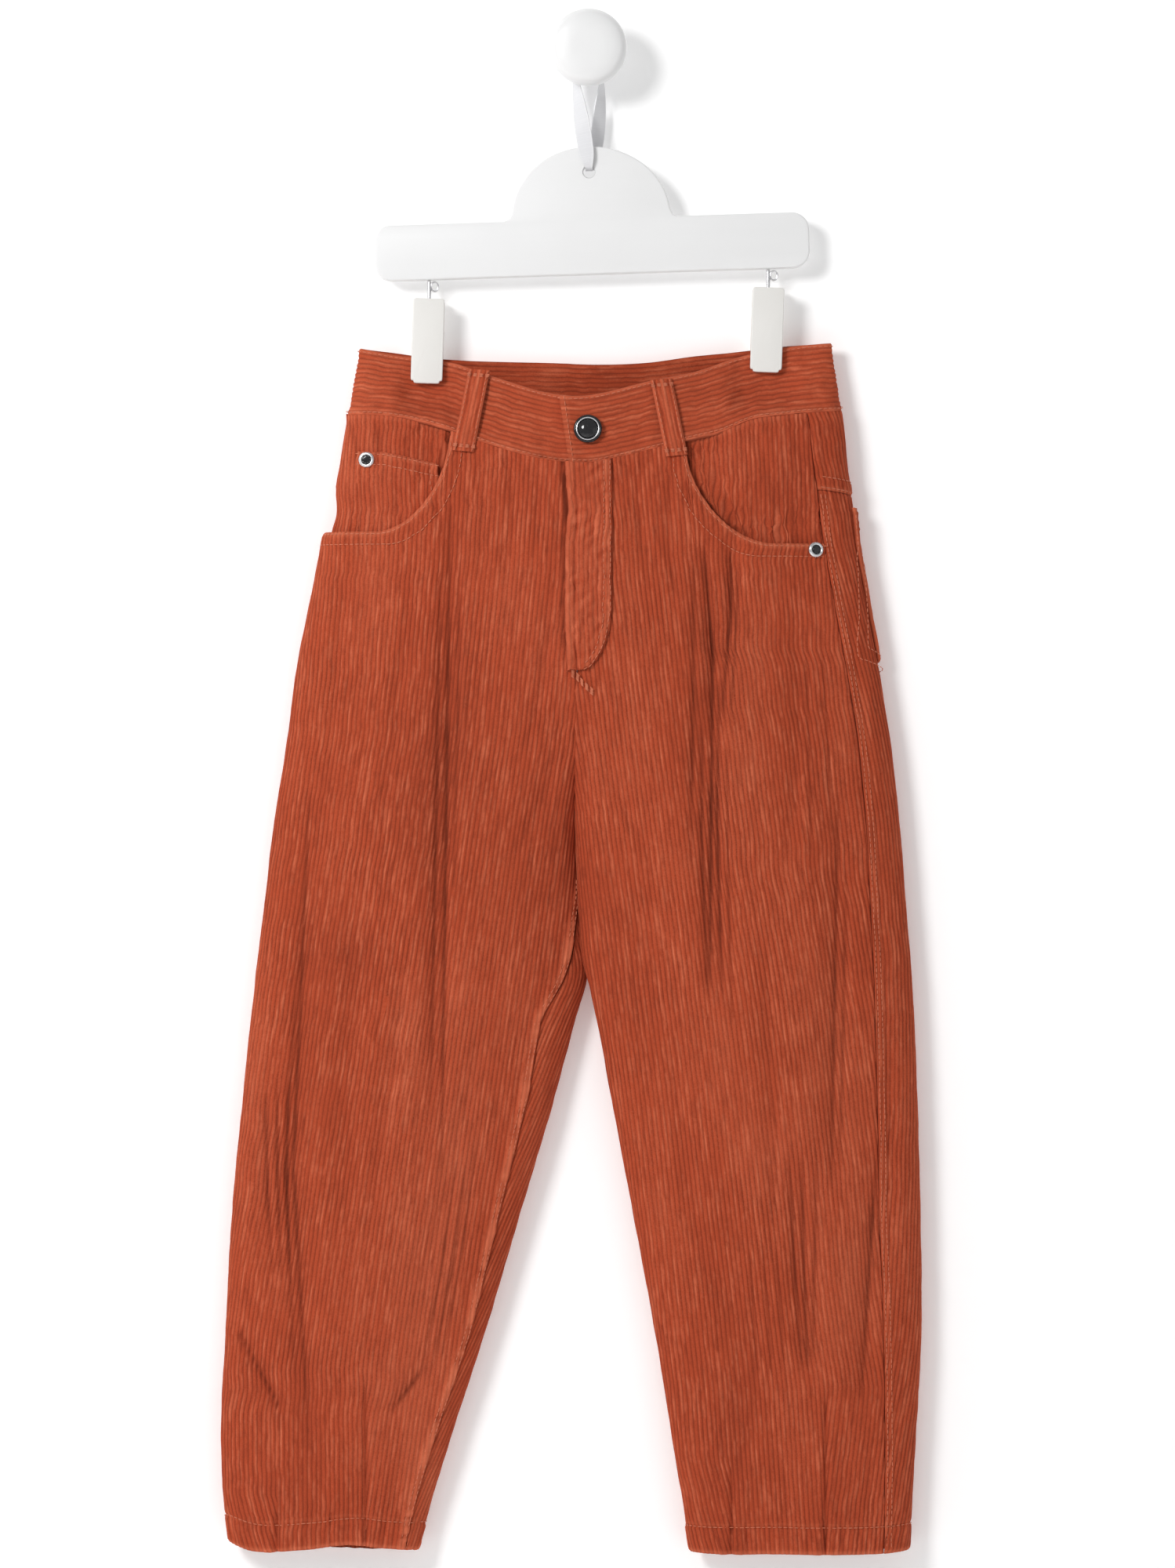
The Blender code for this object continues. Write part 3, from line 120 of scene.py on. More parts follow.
# The seam under the waistband and the waistband's upper edge, by distance across the front
SEAM_COLUMNS = ("x", "front_drop", "back_drop")
WAIST_SEAM = (
    (-139.0, 210.6, 209.5),
    (-118.0, 211.2, 212.0),
    (-93.0, 216.0, 214.0),
    (-76.0, 221.2, 215.2),
    (-59.0, 227.7, 216.0),
    (-17.0, 238.1, 217.0),
    (0.0, 239.0, 217.3),
    (21.0, 234.9, 217.0),
    (58.0, 225.4, 214.0),
    (77.0, 220.8, 211.5),
    (92.0, 214.4, 210.0),
    (114.0, 211.0, 208.0),
    (146.0, 208.0, 206.5),
)
TOP_COLUMNS = ("x", "front_drop", "back_drop", "front_y", "back_y")
BAND_TOP = (
    (-132.0, 171.0, 171.0, -15.5, -8.5),
    (-108.0, 175.5, 174.0, -14.6, -9.9),
    (-92.5, 177.5, 176.5, -14.6, -9.9),
    (-78.0, 179.5, 177.6, -15.0, -9.7),
    (-57.0, 187.0, 178.2, -22.0, -7.5),
    (-17.0, 198.5, 179.1, -31.0, -6.0),
    (0.0, 199.5, 179.8, -32.0, -6.0),
    (35.0, 190.8, 178.7, -28.0, -6.5),
    (61.0, 185.0, 175.2, -22.0, -7.5),
    (89.0, 175.5, 172.7, -15.0, -9.7),
    (103.5, 172.5, 171.0, -14.6, -9.9),
    (118.0, 169.9, 169.4, -14.6, -9.9),
    (140.5, 168.0, 168.0, -15.5, -8.5),
)
BAND_LOW_ENDS = (-139.0, 146.2)
BAND_EDGE_ROUND = 9.0
BAND_MIDDLE = -12.25
BAND_HOLD = 19.0
BAND_HOLD_FULL = 1.15
BAND_HOLD_END = 0.56
BAND_TURN = 14.0
OVER_LEAD = 4.0
OVER_END = (-17.3, -11.0)
UNDER_END = 12.0
UNDER_SET_BACK = 2.9
UNDER_RAMP = (-38.0, -22.0)

# Seams that run down the legs, as distances along the cloth
SEAM_PATH_COLUMNS = ("drop", "right_side", "left_side", "right_inseam", "left_inseam")
SEAM_PATHS = (
    (200.0, 20.0, -25.0, 0.0, 0.0),
    (300.0, 20.0, -25.0, 0.0, 0.0),
    (399.0, 20.0, -25.0, 0.0, 0.0),
    (474.0, 20.0, -27.0, 0.0, 0.0),
    (512.0, 20.0, -28.0, 12.0, -10.0),
    (556.0, 20.0, -29.0, 26.0, -16.0),
    (602.0, 20.0, -30.0, 21.0, -16.0),
    (669.0, 20.0, -30.0, 17.0, -14.0),
    (737.0, 18.0, -28.0, 13.0, -12.0),
    (804.0, 16.0, -23.0, 14.0, -12.0),
    (866.0, 16.0, -20.0, 13.0, -12.0),
)
# Pocket mouths
# side: start x, width, depth
SCOOPS = {RIGHT: (-79.4, 42.0, 57.0), LEFT: (55.4, 50.0, 58.0)}
SCOOP_POWER = 1.8
FACING_UNDER = 7.0
FACING_INSET = 4.2
FACING_DROP = 240.0
FACING_START = 3.0
FACING_EDGE = 9.0
FACING_REACH = 20.0
COIN_ENDS = (-86.0, -132.5)
COIN_TOP = ((-134.5, -118.0, -86.0), (231.0, 231.6, 238.0))
COIN_LEVEL = 234.0
COIN_UNDER = 3.5

POCKET_OFFSETS = {RIGHT: 25.0, LEFT: -4.0}
POCKET_TOP = 263.0
POCKET_WIDTH = 94.0
POCKET_HEIGHT = 88.0
POCKET_POINT = 12.0
POCKET_TAPER = 3.0
POCKET_SLANT = 11.0
POCKET_LOW_SLANT = 8.0

YOKE_SIDE_DROP = 253.0
WAIST_LEVEL = 214.0
YOKE_CENTRE_DROP = 277.0

# Hems
HEM_COLUMNS = ("across", "right_front", "right_back", "left_front", "left_back")
HEMS = (
    (0.0, 861.5, 862.0, 863.0, 863.0),
    (0.2, 859.5, 862.6, 863.2, 863.6),
    (0.35, 857.4, 862.4, 862.6, 863.8),
    (0.6, 860.2, 861.2, 863.0, 863.2),
    (0.9, 860.6, 860.6, 862.8, 862.8),
    (1.0, 857.0, 857.0, 862.0, 862.0),
)

HEM_LEVEL = 855.0

# Troughs pressed into the cloth; each follows three points, upper, middle and lower
# face, depth, width, x 1, drop 1, x 2, drop 2, x 3, drop 3
FOLDS = (
    ("front", 3.6, 8.0, -80.0, 268.0, -81.0, 400.0, -90.0, 620.0),
    ("front", 3.0, 9.0, -159.0, 422.0, -169.0, 640.0, -160.0, 820.0),
    ("front", 2.6, 7.0, -198.0, 735.0, -186.0, 760.0, -175.0, 782.0),
    ("front", 2.2, 7.0, -93.0, 756.0, -102.0, 768.0, -113.0, 781.0),
    ("front", 4.4, 7.0, 66.8, 290.0, 70.4, 345.0, 65.0, 424.0),
    ("front", 3.6, 6.0, 81.0, 280.0, 82.0, 312.0, 76.0, 346.0),
    ("front", 4.0, 9.0, 66.8, 418.0, 70.0, 470.0, 74.0, 540.0),
    ("front", 3.0, 9.0, 143.0, 420.0, 141.0, 540.0, 139.0, 650.0),
    ("front", 2.6, 9.0, 118.0, 636.0, 121.0, 700.0, 126.0, 760.0),
    ("front", 2.6, 8.0, 165.0, 636.0, 161.0, 700.0, 156.0, 775.0),
    ("front", 3.0, 13.0, 64.0, 694.0, 77.0, 720.0, 90.0, 746.0),
    ("front", 2.0, 8.0, -130.0, 470.0, -138.0, 580.0, -140.0, 690.0),
    ("back", 3.0, 10.0, -96.0, 380.0, -104.0, 470.0, -112.0, 600.0),
    ("back", 2.8, 9.0, -160.0, 430.0, -168.0, 560.0, -166.0, 700.0),
    ("back", 2.4, 9.0, -120.0, 660.0, -130.0, 730.0, -146.0, 800.0),
    ("back", 3.0, 10.0, 88.0, 385.0, 96.0, 480.0, 98.0, 610.0),
    ("back", 2.8, 9.0, 148.0, 430.0, 150.0, 560.0, 146.0, 700.0),
    ("back", 2.4, 9.0, 96.0, 660.0, 108.0, 730.0, 112.0, 800.0),
)
FOLD_EDGE = 14.0
# x, top drop, low drop
DARTS = (
    (-127.5, 759.0, 845.0),
    (-178.0, 829.0, 845.0),
    (135.8, 767.0, 848.0),
    (82.0, 808.0, 848.0),
)
DART_DEPTH = 1.0
DART_WIDTH = 3.0

# Fly
FLY_EDGE_X = -13.3
FLY_STITCH_X = 13.7
FLY_STRAIGHT_DROP = 318.0
FLY_END_DROP = 357.0
FLY_FOOT_X = -5.0

# Hardware
BUTTON_PLACE = (-0.2, 219.0)
BUTTON_LIFT = 0.9
# Turned outlines: radius, height
BUTTON_BEVEL = (
    (0.0, -0.5), (4.6, -0.5), (4.6, 0.1), (7.0, 0.2), (8.0, 0.6), (8.2, 1.5), (7.6, 2.3),
    (6.8, 2.45), (6.7, 0.7), (0.0, 0.7),
)
BUTTON_RING = (
    (0.0, 0.6), (6.75, 0.6), (6.75, 2.5), (6.4, 2.75), (6.0, 2.6), (5.7, 2.0), (5.6, 0.9), (0.0, 0.9),
)
BUTTON_CAP = (
    (0.0, 1.0), (5.5, 1.0), (5.5, 2.3), (4.6, 3.0), (3.0, 3.6), (1.5, 3.85), (0.0, 3.9),
)
COIN_RIVET = (-126.7, 236.0)
POCKET_RIVET_LEFT = (130.0, 287.6)
POCKET_RIVET_RIGHT = (-7.0, 286.0)
RIVET_LIFT = 0.5

KNOB_RADIUS = 22.3
KNOB_DEPTH = 38.0
STEM_RADIUS = 8.0
STEM_DEPTH = 23.0

BOARD_FRONT = -17.0
BOARD_BACK = -9.0
BOARD_TILT = math.radians(1.9)
BOARD_PIVOT = (0.45, -69.8)
BOARD_HALF = 125.3
BOARD_TOP = -27.0
BOARD_HEIGHT = 32.0
BOARD_CORNER = 10.0
DOME_HALF = 46.0
DOME_RISE = 41.0
DOME_FILLET = 4.0
BOARD_CHAMFER = 1.2
HOLE_RADIUS = 3.4

# side: x, top drop, lean
CLIPS = {RIGHT: (-91.6, 142.8, 0.030), LEFT: (103.6, 136.4, 0.035)}
CLIP_WIDTH = 18.2
CLIP_LENGTH = 48.8
CLIP_NOTCH = 1.6
CLIP_STEP = 0.2
JAW_DEPTH = 4.0
JAW_FACES = (-15.3, -9.2)
JAW_CHAMFER = 0.6
WIRE_RADIUS = 1.1
SPRING_RADIUS = 3.05
SPRING_SET_IN = 0.45
SPRING_DROP = 7.0
SPRING_SHORT = 2.0
WIRE_GAP = 0.35

RIBBON_THICK = 0.7
# x, y, z, width, turn of the face in degrees
RIBBON = (
    (0.4, -13.0, -68.6, 4.0, 0.0),
    (0.2, -18.4, -67.2, 4.4, 6.0),
    (-1.0, -19.4, -60.0, 8.2, 10.0),
    (-3.2, -17.6, -46.0, 9.6, 22.0),
    (-5.6, -15.2, -30.0, 9.8, 48.0),
    (-7.9, -13.0, -14.0, 10.0, 76.0),
    (-8.8, -12.5, 0.0, 10.0, 90.0),
    (-6.2, -12.5, 6.3, 10.0, 90.0),
    (0.0, -12.5, 8.8, 10.0, 90.0),
    (6.2, -12.5, 6.3, 10.0, 90.0),
    (8.8, -12.5, 0.0, 10.0, 90.0),
    (8.2, -12.0, -14.0, 10.0, 98.0),
    (7.0, -10.4, -30.0, 9.8, 126.0),
    (5.6, -8.4, -46.0, 9.0, 150.0),
    (3.2, -6.6, -61.0, 7.0, 170.0),
    (0.8, -7.4, -67.6, 4.4, 176.0),
)

# Seams and stitching beside them
HEM_TURN = 15.5
EDGE_STITCH = 1.4
MOUTH_STITCH = 7.4
FELL_WIDTH = 5.0

# How much darker the pile is painted in a sharp fold, as painted shade, and the limits of a fold's
# sharpness; below 0 a ridge is painted lighter, as painted highlight
FOLD_SHADE = 1.0
CREASE_SHADE_LIMITS = (-0.5, 1.0)

# Finer creases: face, depth (below 0 for a ridge), width, x 1, drop 1, x 2, drop 2, x 3, drop 3
CREASES = (
    ("front", 1.0, 2.4, -137.0, 214.0, -134.0, 224.0, -131.0, 236.0),
    ("front", 0.9, 2.2, -122.0, 214.0, -120.0, 226.0, -121.0, 240.0),
    ("front", 0.9, 2.6, -104.0, 216.0, -103.0, 228.0, -106.0, 246.0),
    ("front", 1.4, 4.0, -112.0, 262.0, -108.0, 268.0, -103.0, 276.0),
    ("front", 1.1, 3.0, -64.0, 232.0, -60.0, 262.0, -62.0, 300.0),
    ("front", -0.9, 3.2, -71.0, 268.0, -71.5, 350.0, -76.0, 470.0),
    ("front", 1.2, 3.4, -45.0, 240.0, -44.0, 268.0, -48.0, 306.0),
    ("front", 0.8, 2.6, -30.0, 242.0, -28.0, 262.0, -31.0, 290.0),
    ("front", 1.4, 3.6, -20.0, 300.0, -24.0, 345.0, -34.0, 400.0),
    ("front", 1.3, 4.4, -101.0, 300.0, -108.0, 360.0, -118.0, 440.0),
    ("front", 1.2, 4.0, -140.0, 300.0, -146.0, 360.0, -150.0, 430.0),
    ("front", 1.6, 4.6, -4.0, 380.0, -3.0, 410.0, -5.0, 446.0),
    ("front", 1.2, 4.0, -16.0, 398.0, -26.0, 430.0, -44.0, 466.0),
    ("front", 1.2, 4.0, 6.0, 398.0, 18.0, 432.0, 38.0, 470.0),
    ("front", 1.0, 3.4, 72.0, 300.0, 76.0, 380.0, 74.0, 520.0),
    ("front", 0.9, 2.8, 60.0, 300.0, 61.0, 380.0, 58.0, 460.0),
    ("front", 1.4, 3.4, 30.0, 236.0, 28.0, 262.0, 32.0, 300.0),
    ("front", 1.0, 3.0, 47.0, 240.0, 46.0, 270.0, 49.0, 312.0),
    ("front", 1.3, 3.0, 68.0, 238.0, 76.0, 256.0, 86.0, 278.0),
    ("front", 1.0, 3.0, 98.0, 222.0, 102.0, 240.0, 108.0, 262.0),
    ("front", 0.9, 2.8, 120.0, 218.0, 121.0, 234.0, 124.0, 252.0),
    ("front", 1.5, 5.0, 118.0, 320.0, 120.0, 390.0, 114.0, 470.0),
    ("front", 1.2, 4.0, 150.0, 320.0, 156.0, 380.0, 158.0, 440.0),
    ("front", 1.6, 6.0, -104.0, 520.0, -116.0, 600.0, -128.0, 680.0),
    ("front", 1.2, 5.0, -60.0, 560.0, -80.0, 640.0, -98.0, 730.0),
    ("front", 1.4, 5.0, -182.0, 560.0, -186.0, 640.0, -182.0, 720.0),
    ("front", 1.2, 3.6, -150.0, 800.0, -155.0, 826.0, -158.0, 842.0),
    ("front", 1.0, 3.4, -108.0, 800.0, -111.0, 824.0, -113.0, 842.0),
    ("front", 1.5, 5.0, 100.0, 520.0, 104.0, 600.0, 106.0, 690.0),
    ("front", 1.2, 5.0, 46.0, 560.0, 54.0, 640.0, 66.0, 700.0),
    ("front", 1.2, 4.4, 172.0, 560.0, 174.0, 630.0, 171.0, 700.0),
    ("front", 1.2, 3.6, 110.0, 806.0, 112.0, 828.0, 112.0, 846.0),
    ("front", 1.0, 3.4, 160.0, 800.0, 160.0, 822.0, 161.0, 846.0),
    ("back", 1.6, 4.6, -70.0, 300.0, -76.0, 360.0, -90.0, 430.0),
    ("back", 1.8, 5.4, -18.0, 356.0, -34.0, 392.0, -60.0, 436.0),
    ("back", 1.5, 4.6, 16.0, 360.0, 34.0, 398.0, 62.0, 436.0),
    ("back", 1.4, 4.4, 66.0, 380.0, 72.0, 440.0, 80.0, 520.0),
    ("back", 1.4, 5.0, -130.0, 400.0, -136.0, 500.0, -136.0, 620.0),
    ("back", 1.5, 5.6, 124.0, 400.0, 122.0, 520.0, 124.0, 640.0),
    ("back", 1.3, 4.6, -90.0, 560.0, -98.0, 640.0, -114.0, 720.0),
    ("back", 1.3, 4.6, 66.0, 560.0, 76.0, 650.0, 84.0, 730.0),
    ("back", 1.2, 4.0, -176.0, 720.0, -172.0, 770.0, -166.0, 830.0),
    ("back", 1.2, 4.0, 150.0, 740.0, 148.0, 780.0, 144.0, 836.0),
    ("front", 1.5, 1.7, -79.0, 262.0, -80.5, 400.0, -84.0, 640.0),
    ("front", 1.0, 1.5, -84.6, 300.0, -86.4, 420.0, -90.0, 600.0),
    ("front", 0.8, 1.5, -73.6, 290.0, -74.4, 380.0, -77.0, 480.0),
    ("front", 1.3, 1.8, -160.0, 430.0, -169.0, 640.0, -160.0, 800.0),
    ("front", 0.9, 1.6, -166.0, 520.0, -174.0, 640.0, -168.0, 760.0),
    ("front", 1.5, 1.8, -202.0, 734.0, -189.0, 757.0, -177.0, 779.0),
    ("front", 1.4, 1.8, -94.0, 756.0, -103.0, 768.0, -112.0, 779.0),
    ("front", 1.2, 1.6, -185.0, 600.0, -184.0, 655.0, -181.0, 700.0),
    ("front", 1.3, 1.6, -178.6, 590.0, -178.0, 650.0, -176.0, 706.0),
    ("front", 1.1, 1.5, -172.4, 600.0, -172.4, 660.0, -171.0, 700.0),
    ("front", 0.9, 1.5, -70.0, 640.0, -78.0, 700.0, -90.0, 760.0),
    ("front", 0.9, 1.5, -76.0, 640.0, -84.0, 700.0, -95.0, 755.0),
    ("front", 0.7, 1.4, -64.6, 630.0, -72.0, 690.0, -84.0, 750.0),
    ("front", 2.0, 1.7, 66.0, 286.0, 71.0, 345.0, 69.4, 534.0),
    ("front", 1.9, 1.6, 81.2, 290.0, 81.6, 322.0, 76.4, 380.0),
    ("front", 1.5, 1.5, 74.6, 366.0, 73.4, 440.0, 76.4, 540.0),
    ("front", 1.2, 1.5, 65.0, 390.0, 64.6, 450.0, 68.0, 540.0),
    ("front", 1.0, 1.5, 86.0, 294.0, 84.6, 330.0, 80.8, 390.0),
    ("front", 0.9, 1.4, 79.0, 400.0, 79.6, 470.0, 82.0, 560.0),
    ("front", 0.7, 1.4, 60.4, 300.0, 59.6, 380.0, 58.6, 470.0),
    ("front", 1.2, 1.7, 143.0, 430.0, 141.0, 540.0, 139.0, 650.0),
    ("front", 0.8, 1.5, 147.6, 470.0, 146.0, 560.0, 144.0, 640.0),
    ("front", 0.6, 1.4, 124.0, 330.0, 126.0, 400.0, 127.0, 470.0),
    ("front", 0.6, 1.4, 134.0, 340.0, 137.0, 400.0, 139.0, 450.0),
    ("front", 1.1, 1.6, 115.0, 640.0, 118.0, 700.0, 122.0, 752.0),
    ("front", 1.2, 1.6, 122.0, 636.0, 123.4, 700.0, 125.4, 757.0),
    ("front", 0.9, 1.5, 130.0, 640.0, 129.4, 700.0, 128.6, 750.0),
    ("front", 1.3, 1.7, 165.0, 636.0, 161.0, 700.0, 156.4, 772.0),
    ("front", 0.6, 1.3, 92.0, 690.0, 94.0, 720.0, 97.0, 755.0),
    ("front", 0.6, 1.3, 100.0, 686.0, 102.0, 720.0, 105.0, 758.0),
    ("front", 0.6, 1.3, 107.6, 690.0, 109.6, 722.0, 112.0, 752.0),
    ("back", 1.3, 1.8, -96.0, 390.0, -104.0, 470.0, -112.0, 590.0),
    ("back", 1.2, 1.7, -160.0, 430.0, -168.0, 560.0, -166.0, 690.0),
    ("back", 0.9, 1.5, -90.0, 420.0, -97.6, 500.0, -104.0, 580.0),
    ("back", 1.3, 1.8, 88.0, 390.0, 96.0, 480.0, 98.0, 600.0),
    ("back", 1.2, 1.7, 148.0, 430.0, 150.0, 560.0, 146.0, 690.0),
    ("back", 0.9, 1.5, 94.4, 430.0, 102.0, 500.0, 104.6, 580.0),
    ("back", 1.1, 1.6, -120.0, 670.0, -130.0, 730.0, -145.0, 794.0),
    ("back", 1.1, 1.6, 97.0, 670.0, 108.0, 730.0, 112.0, 794.0),
)

# Where one thread of each panel lies, which the others run beside
# side, face: drops, x
GRAINS = {
    (RIGHT, "front"): ((200.0, 300.0, 390.0, 870.0), (-26.0, -32.0, -41.0, -112.0)),
    (LEFT, "front"): ((200.0, 300.0, 390.0, 600.0, 767.0, 870.0), (34.0, 42.0, 52.0, 79.0, 98.0, 105.0)),
    (RIGHT, "back"): ((200.0, 300.0, 390.0, 870.0), (-72.0, -76.0, -84.0, -146.0)),
    (LEFT, "back"): ((200.0, 300.0, 390.0, 870.0), (74.0, 78.0, 86.0, 122.0)),
}
# side: (x, top drop, low drop, cloth taken in at the hem) from the grain outwards
TAKEN_IN = {
    RIGHT: ((-127.5, 759.0, 861.0, 15.0), (-178.0, 829.0, 859.0, 8.0)),
    LEFT: ((82.0, 808.0, 864.0, 9.0), (135.8, 767.0, 864.0, 17.0)),
}

# Creases narrower than this get a painted shade line along this part of their width, others a faint one
NARROW = 2.5
DARK_PART = 0.55
BROAD_SHADE = 0.3
CREASE_END = 0.04
CREASE_SWAY = 0.22
CREASE_SWAY_LENGTH = 46.0
DART_RUN = 14.0
DART_SHADE = 0.3
DART_SHADE_WIDTH = 0.8

# The wearer's left leg hangs this far over the other one, down to this drop
LEG_OVERLAP = 2.4
INSEAM_OPEN = 540.0
OVERLAP_START = 16.0
OVERLAP_END = 24.0

# Unevenness of worn cloth, in mm: everywhere, and more at the waist, the crotch and the hems
LUMPS = 0.28
WAIST_LUMPS = 0.6
CROTCH_LUMPS = 0.75
HEM_LUMPS = 0.4
FINE_LUMPS = 0.7

# The form's table: its levels, its points and steps along the cloth, and the reach of a slope
FORM_TOP = 196.0
FORM_LOW = 884.0
FORM_STEP = 2.0
FORM_POINTS = 241
FORM_PAST = 80.0
FORM_PLACE = 0.5
SLOPE_PLACE = 0.8
SLOPE_DROP = 1.2


# ---------------------------------------------------------------- numbers

def column(table, names, name):
    return np.array([row[names.index(name)] for row in table], float)


def smooth(value):
    value = np.clip(value, 0.0, 1.0)
    return value * value * (3.0 - 2.0 * value)


def through(knots, values, at):
    """A smooth curve through a table's rows, read at one or many places."""
    slopes = np.gradient(values, knots)
    at = np.clip(at, knots[0], knots[-1])
    low = np.clip(np.searchsorted(knots, at) - 1, 0, len(knots) - 2)
    width = knots[low + 1] - knots[low]
    t = (at - knots[low]) / width
    rise = t * t * (3.0 - 2.0 * t)
    leave = t * (1.0 - t) ** 2 * width * slopes[low]
    arrive = t * t * (t - 1.0) * width * slopes[low + 1]
    return values[low] * (1.0 - rise) + values[low + 1] * rise + leave + arrive


def read(table, names, name, at):
    return through(column(table, names, names[0]), column(table, names, name), at)


def sign(side):
    return 1.0 if side == RIGHT else -1.0


def bump(distance, width):
    return np.exp(-((distance / width) ** 2))


def wander(at, period, seed):
    """An uneven wave, about -1 to 1, that never quite repeats."""
    turn = 2.0 * math.pi / period
    return (
        0.5 * np.sin(turn * at + 1.7 * seed)
        + 0.3 * np.sin(turn * 0.618 * at + 2.9 * seed)
        + 0.3 * np.sin(turn * 1.447 * at + 0.8 * seed)
    )


def bilinear(table, row, place):
    row = np.clip(row, 0.0, table.shape[0] - 1.001)
    place = np.clip(place, 0.0, table.shape[1] - 1.001)
    i = row.astype(int)
    j = place.astype(int)
    down = row - i
    over = place - j
    upper = (1.0 - over) * table[i, j] + over * table[i, j + 1]
    lower = (1.0 - over) * table[i + 1, j] + over * table[i + 1, j + 1]
    return (1.0 - down) * upper + down * lower


# ---------------------------------------------------------------- the hanging form

def lumps(x, drop):
    """Unevenness of worn cloth, strongest round the waist, the crotch and the hems."""
    waist = 1.0 - smooth((drop - 240.0) / 120.0)
    crotch = bump(x, 46.0) * bump(drop - 376.0, 76.0)
    hems = smooth((drop - 780.0) / 60.0)
    coarse = wander(x + 0.35 * drop, 13.0, 1.0) * wander(drop - 0.5 * x, 19.0, 2.0)
    fine_part = wander(x - 0.6 * drop, 7.6, 4.0) * wander(drop + 0.3 * x, 11.0, 3.0)
    size = LUMPS + WAIST_LUMPS * waist + CROTCH_LUMPS * crotch + HEM_LUMPS * hems
    return size * (coarse + FINE_LUMPS * fine_part)


def creases(face, x, drop):
    """How far the folds, creases and darts press the cloth in at each place, and how sharply, as painted
    shade: dark in folds, light on ridges.
    """
    deep = np.zeros(np.broadcast(x, drop).shape) + lumps(x, drop)
    crease_shade = np.zeros(deep.shape)
    for where, depth, width, *path in FOLDS + CREASES:
        if where != face:
            continue
        points = np.array(path).reshape(3, 2)
        lengths = np.hypot(*np.diff(points, axis=0).T)
        nearest = np.full(deep.shape, np.inf)
        along = np.zeros(deep.shape)
        for k in range(2):
            run = points[k + 1] - points[k]
            t = ((x - points[k, 0]) * run[0] + (drop - points[k, 1]) * run[1]) / (run @ run)
            t = np.clip(t, 0.0, 1.0)
            gap = np.hypot(x - points[k, 0] - t * run[0], drop - points[k, 1] - t * run[1])
            along = np.where(gap < nearest, (lengths[:k].sum() + t * lengths[k]) / lengths.sum(), along)
            nearest = np.minimum(gap, nearest)
        span = CREASE_END + (1.0 - 2.0 * CREASE_END) * along
        taper = np.sqrt(np.clip(np.sin(math.pi * span), 0.0, 1.0))
        uneven = 1.0 + CREASE_SWAY * wander(drop, CREASE_SWAY_LENGTH, points[0, 0])
        strength = depth * taper * uneven
        deep += strength * bump(nearest, width)
        # Painted shade: a dark line along a narrow crease, a faint one along a broad one, and painted
        # highlight along a ridge.
        narrow = 1.0 if width < NARROW else BROAD_SHADE
        crease_shade += narrow * strength / width * bump(nearest, DARK_PART * width)
    if face == "front":
        for dart_x, top, _ in DARTS:
            inside = smooth((drop - top) / DART_RUN)
            deep += DART_DEPTH * inside * bump(x - dart_x, DART_WIDTH)
            # Painted shade along each dart's line.
            crease_shade += DART_SHADE * inside * bump(x - dart_x, DART_SHADE_WIDTH)
    return deep, crease_shade


def profile(side, drop, across):
    """x, front y and back y of one half of the body or one leg, from its inner to its outer edge."""
    inner = read(SECTIONS, SECTION_COLUMNS, side + "_inner", drop)
    if side == LEFT:
        begun = smooth((drop - FLY_END_DROP) / OVERLAP_START)
        inner = inner - LEG_OVERLAP * begun * smooth((INSEAM_OPEN - drop) / OVERLAP_END)
    outer = read(SECTIONS, SECTION_COLUMNS, side + "_outer", drop)
    front = read(SECTIONS, SECTION_COLUMNS, "front", drop)
    back = read(SECTIONS, SECTION_COLUMNS, "back", drop)
    reach = np.abs(outer - inner)
    to_outer = np.clip((1.0 - across) * reach / EDGE_ROUND, 0.0, 1.0)
    to_inner = np.clip(across * reach / EDGE_ROUND, 0.0, 1.0)
    outer_round = np.sqrt(1.0 - (1.0 - to_outer) ** 2)
    inner_round = np.sqrt(1.0 - (1.0 - to_inner) ** 2)
    closing = smooth((drop - RISE_TOP) / (CROTCH - RISE_TOP))
    parted = smooth((drop - PART_TOP) / (PART_END - PART_TOP))
    closed = outer_round * (1.0 - closing * (1.0 - inner_round))
    whole = np.abs(np.cos(0.5 * math.pi * across)) ** 0.8
    single = np.abs(np.sin(math.pi * across)) ** 0.9
    crown = (1.0 - parted) * whole + parted * single
    lean = LEAN * sign(side) * closing * smooth(1.0 - across * reach / LEAN_REACH)
    middle = MIDDLE + lean * smooth((640.0 - drop) / 90.0)
    x = inner + (outer - inner) * across
    level = smooth(np.minimum(1.0 - across, across * parted + 1.0 - parted) * reach / FOLD_EDGE)
    front_y = middle - closed * (EDGE_FRONT + front * crown) + level * creases("front", x, drop)[0]
    back_y = middle + closed * (EDGE_BACK + back * crown) - level * creases("back", x, drop)[0]
    return x, front_y, back_y


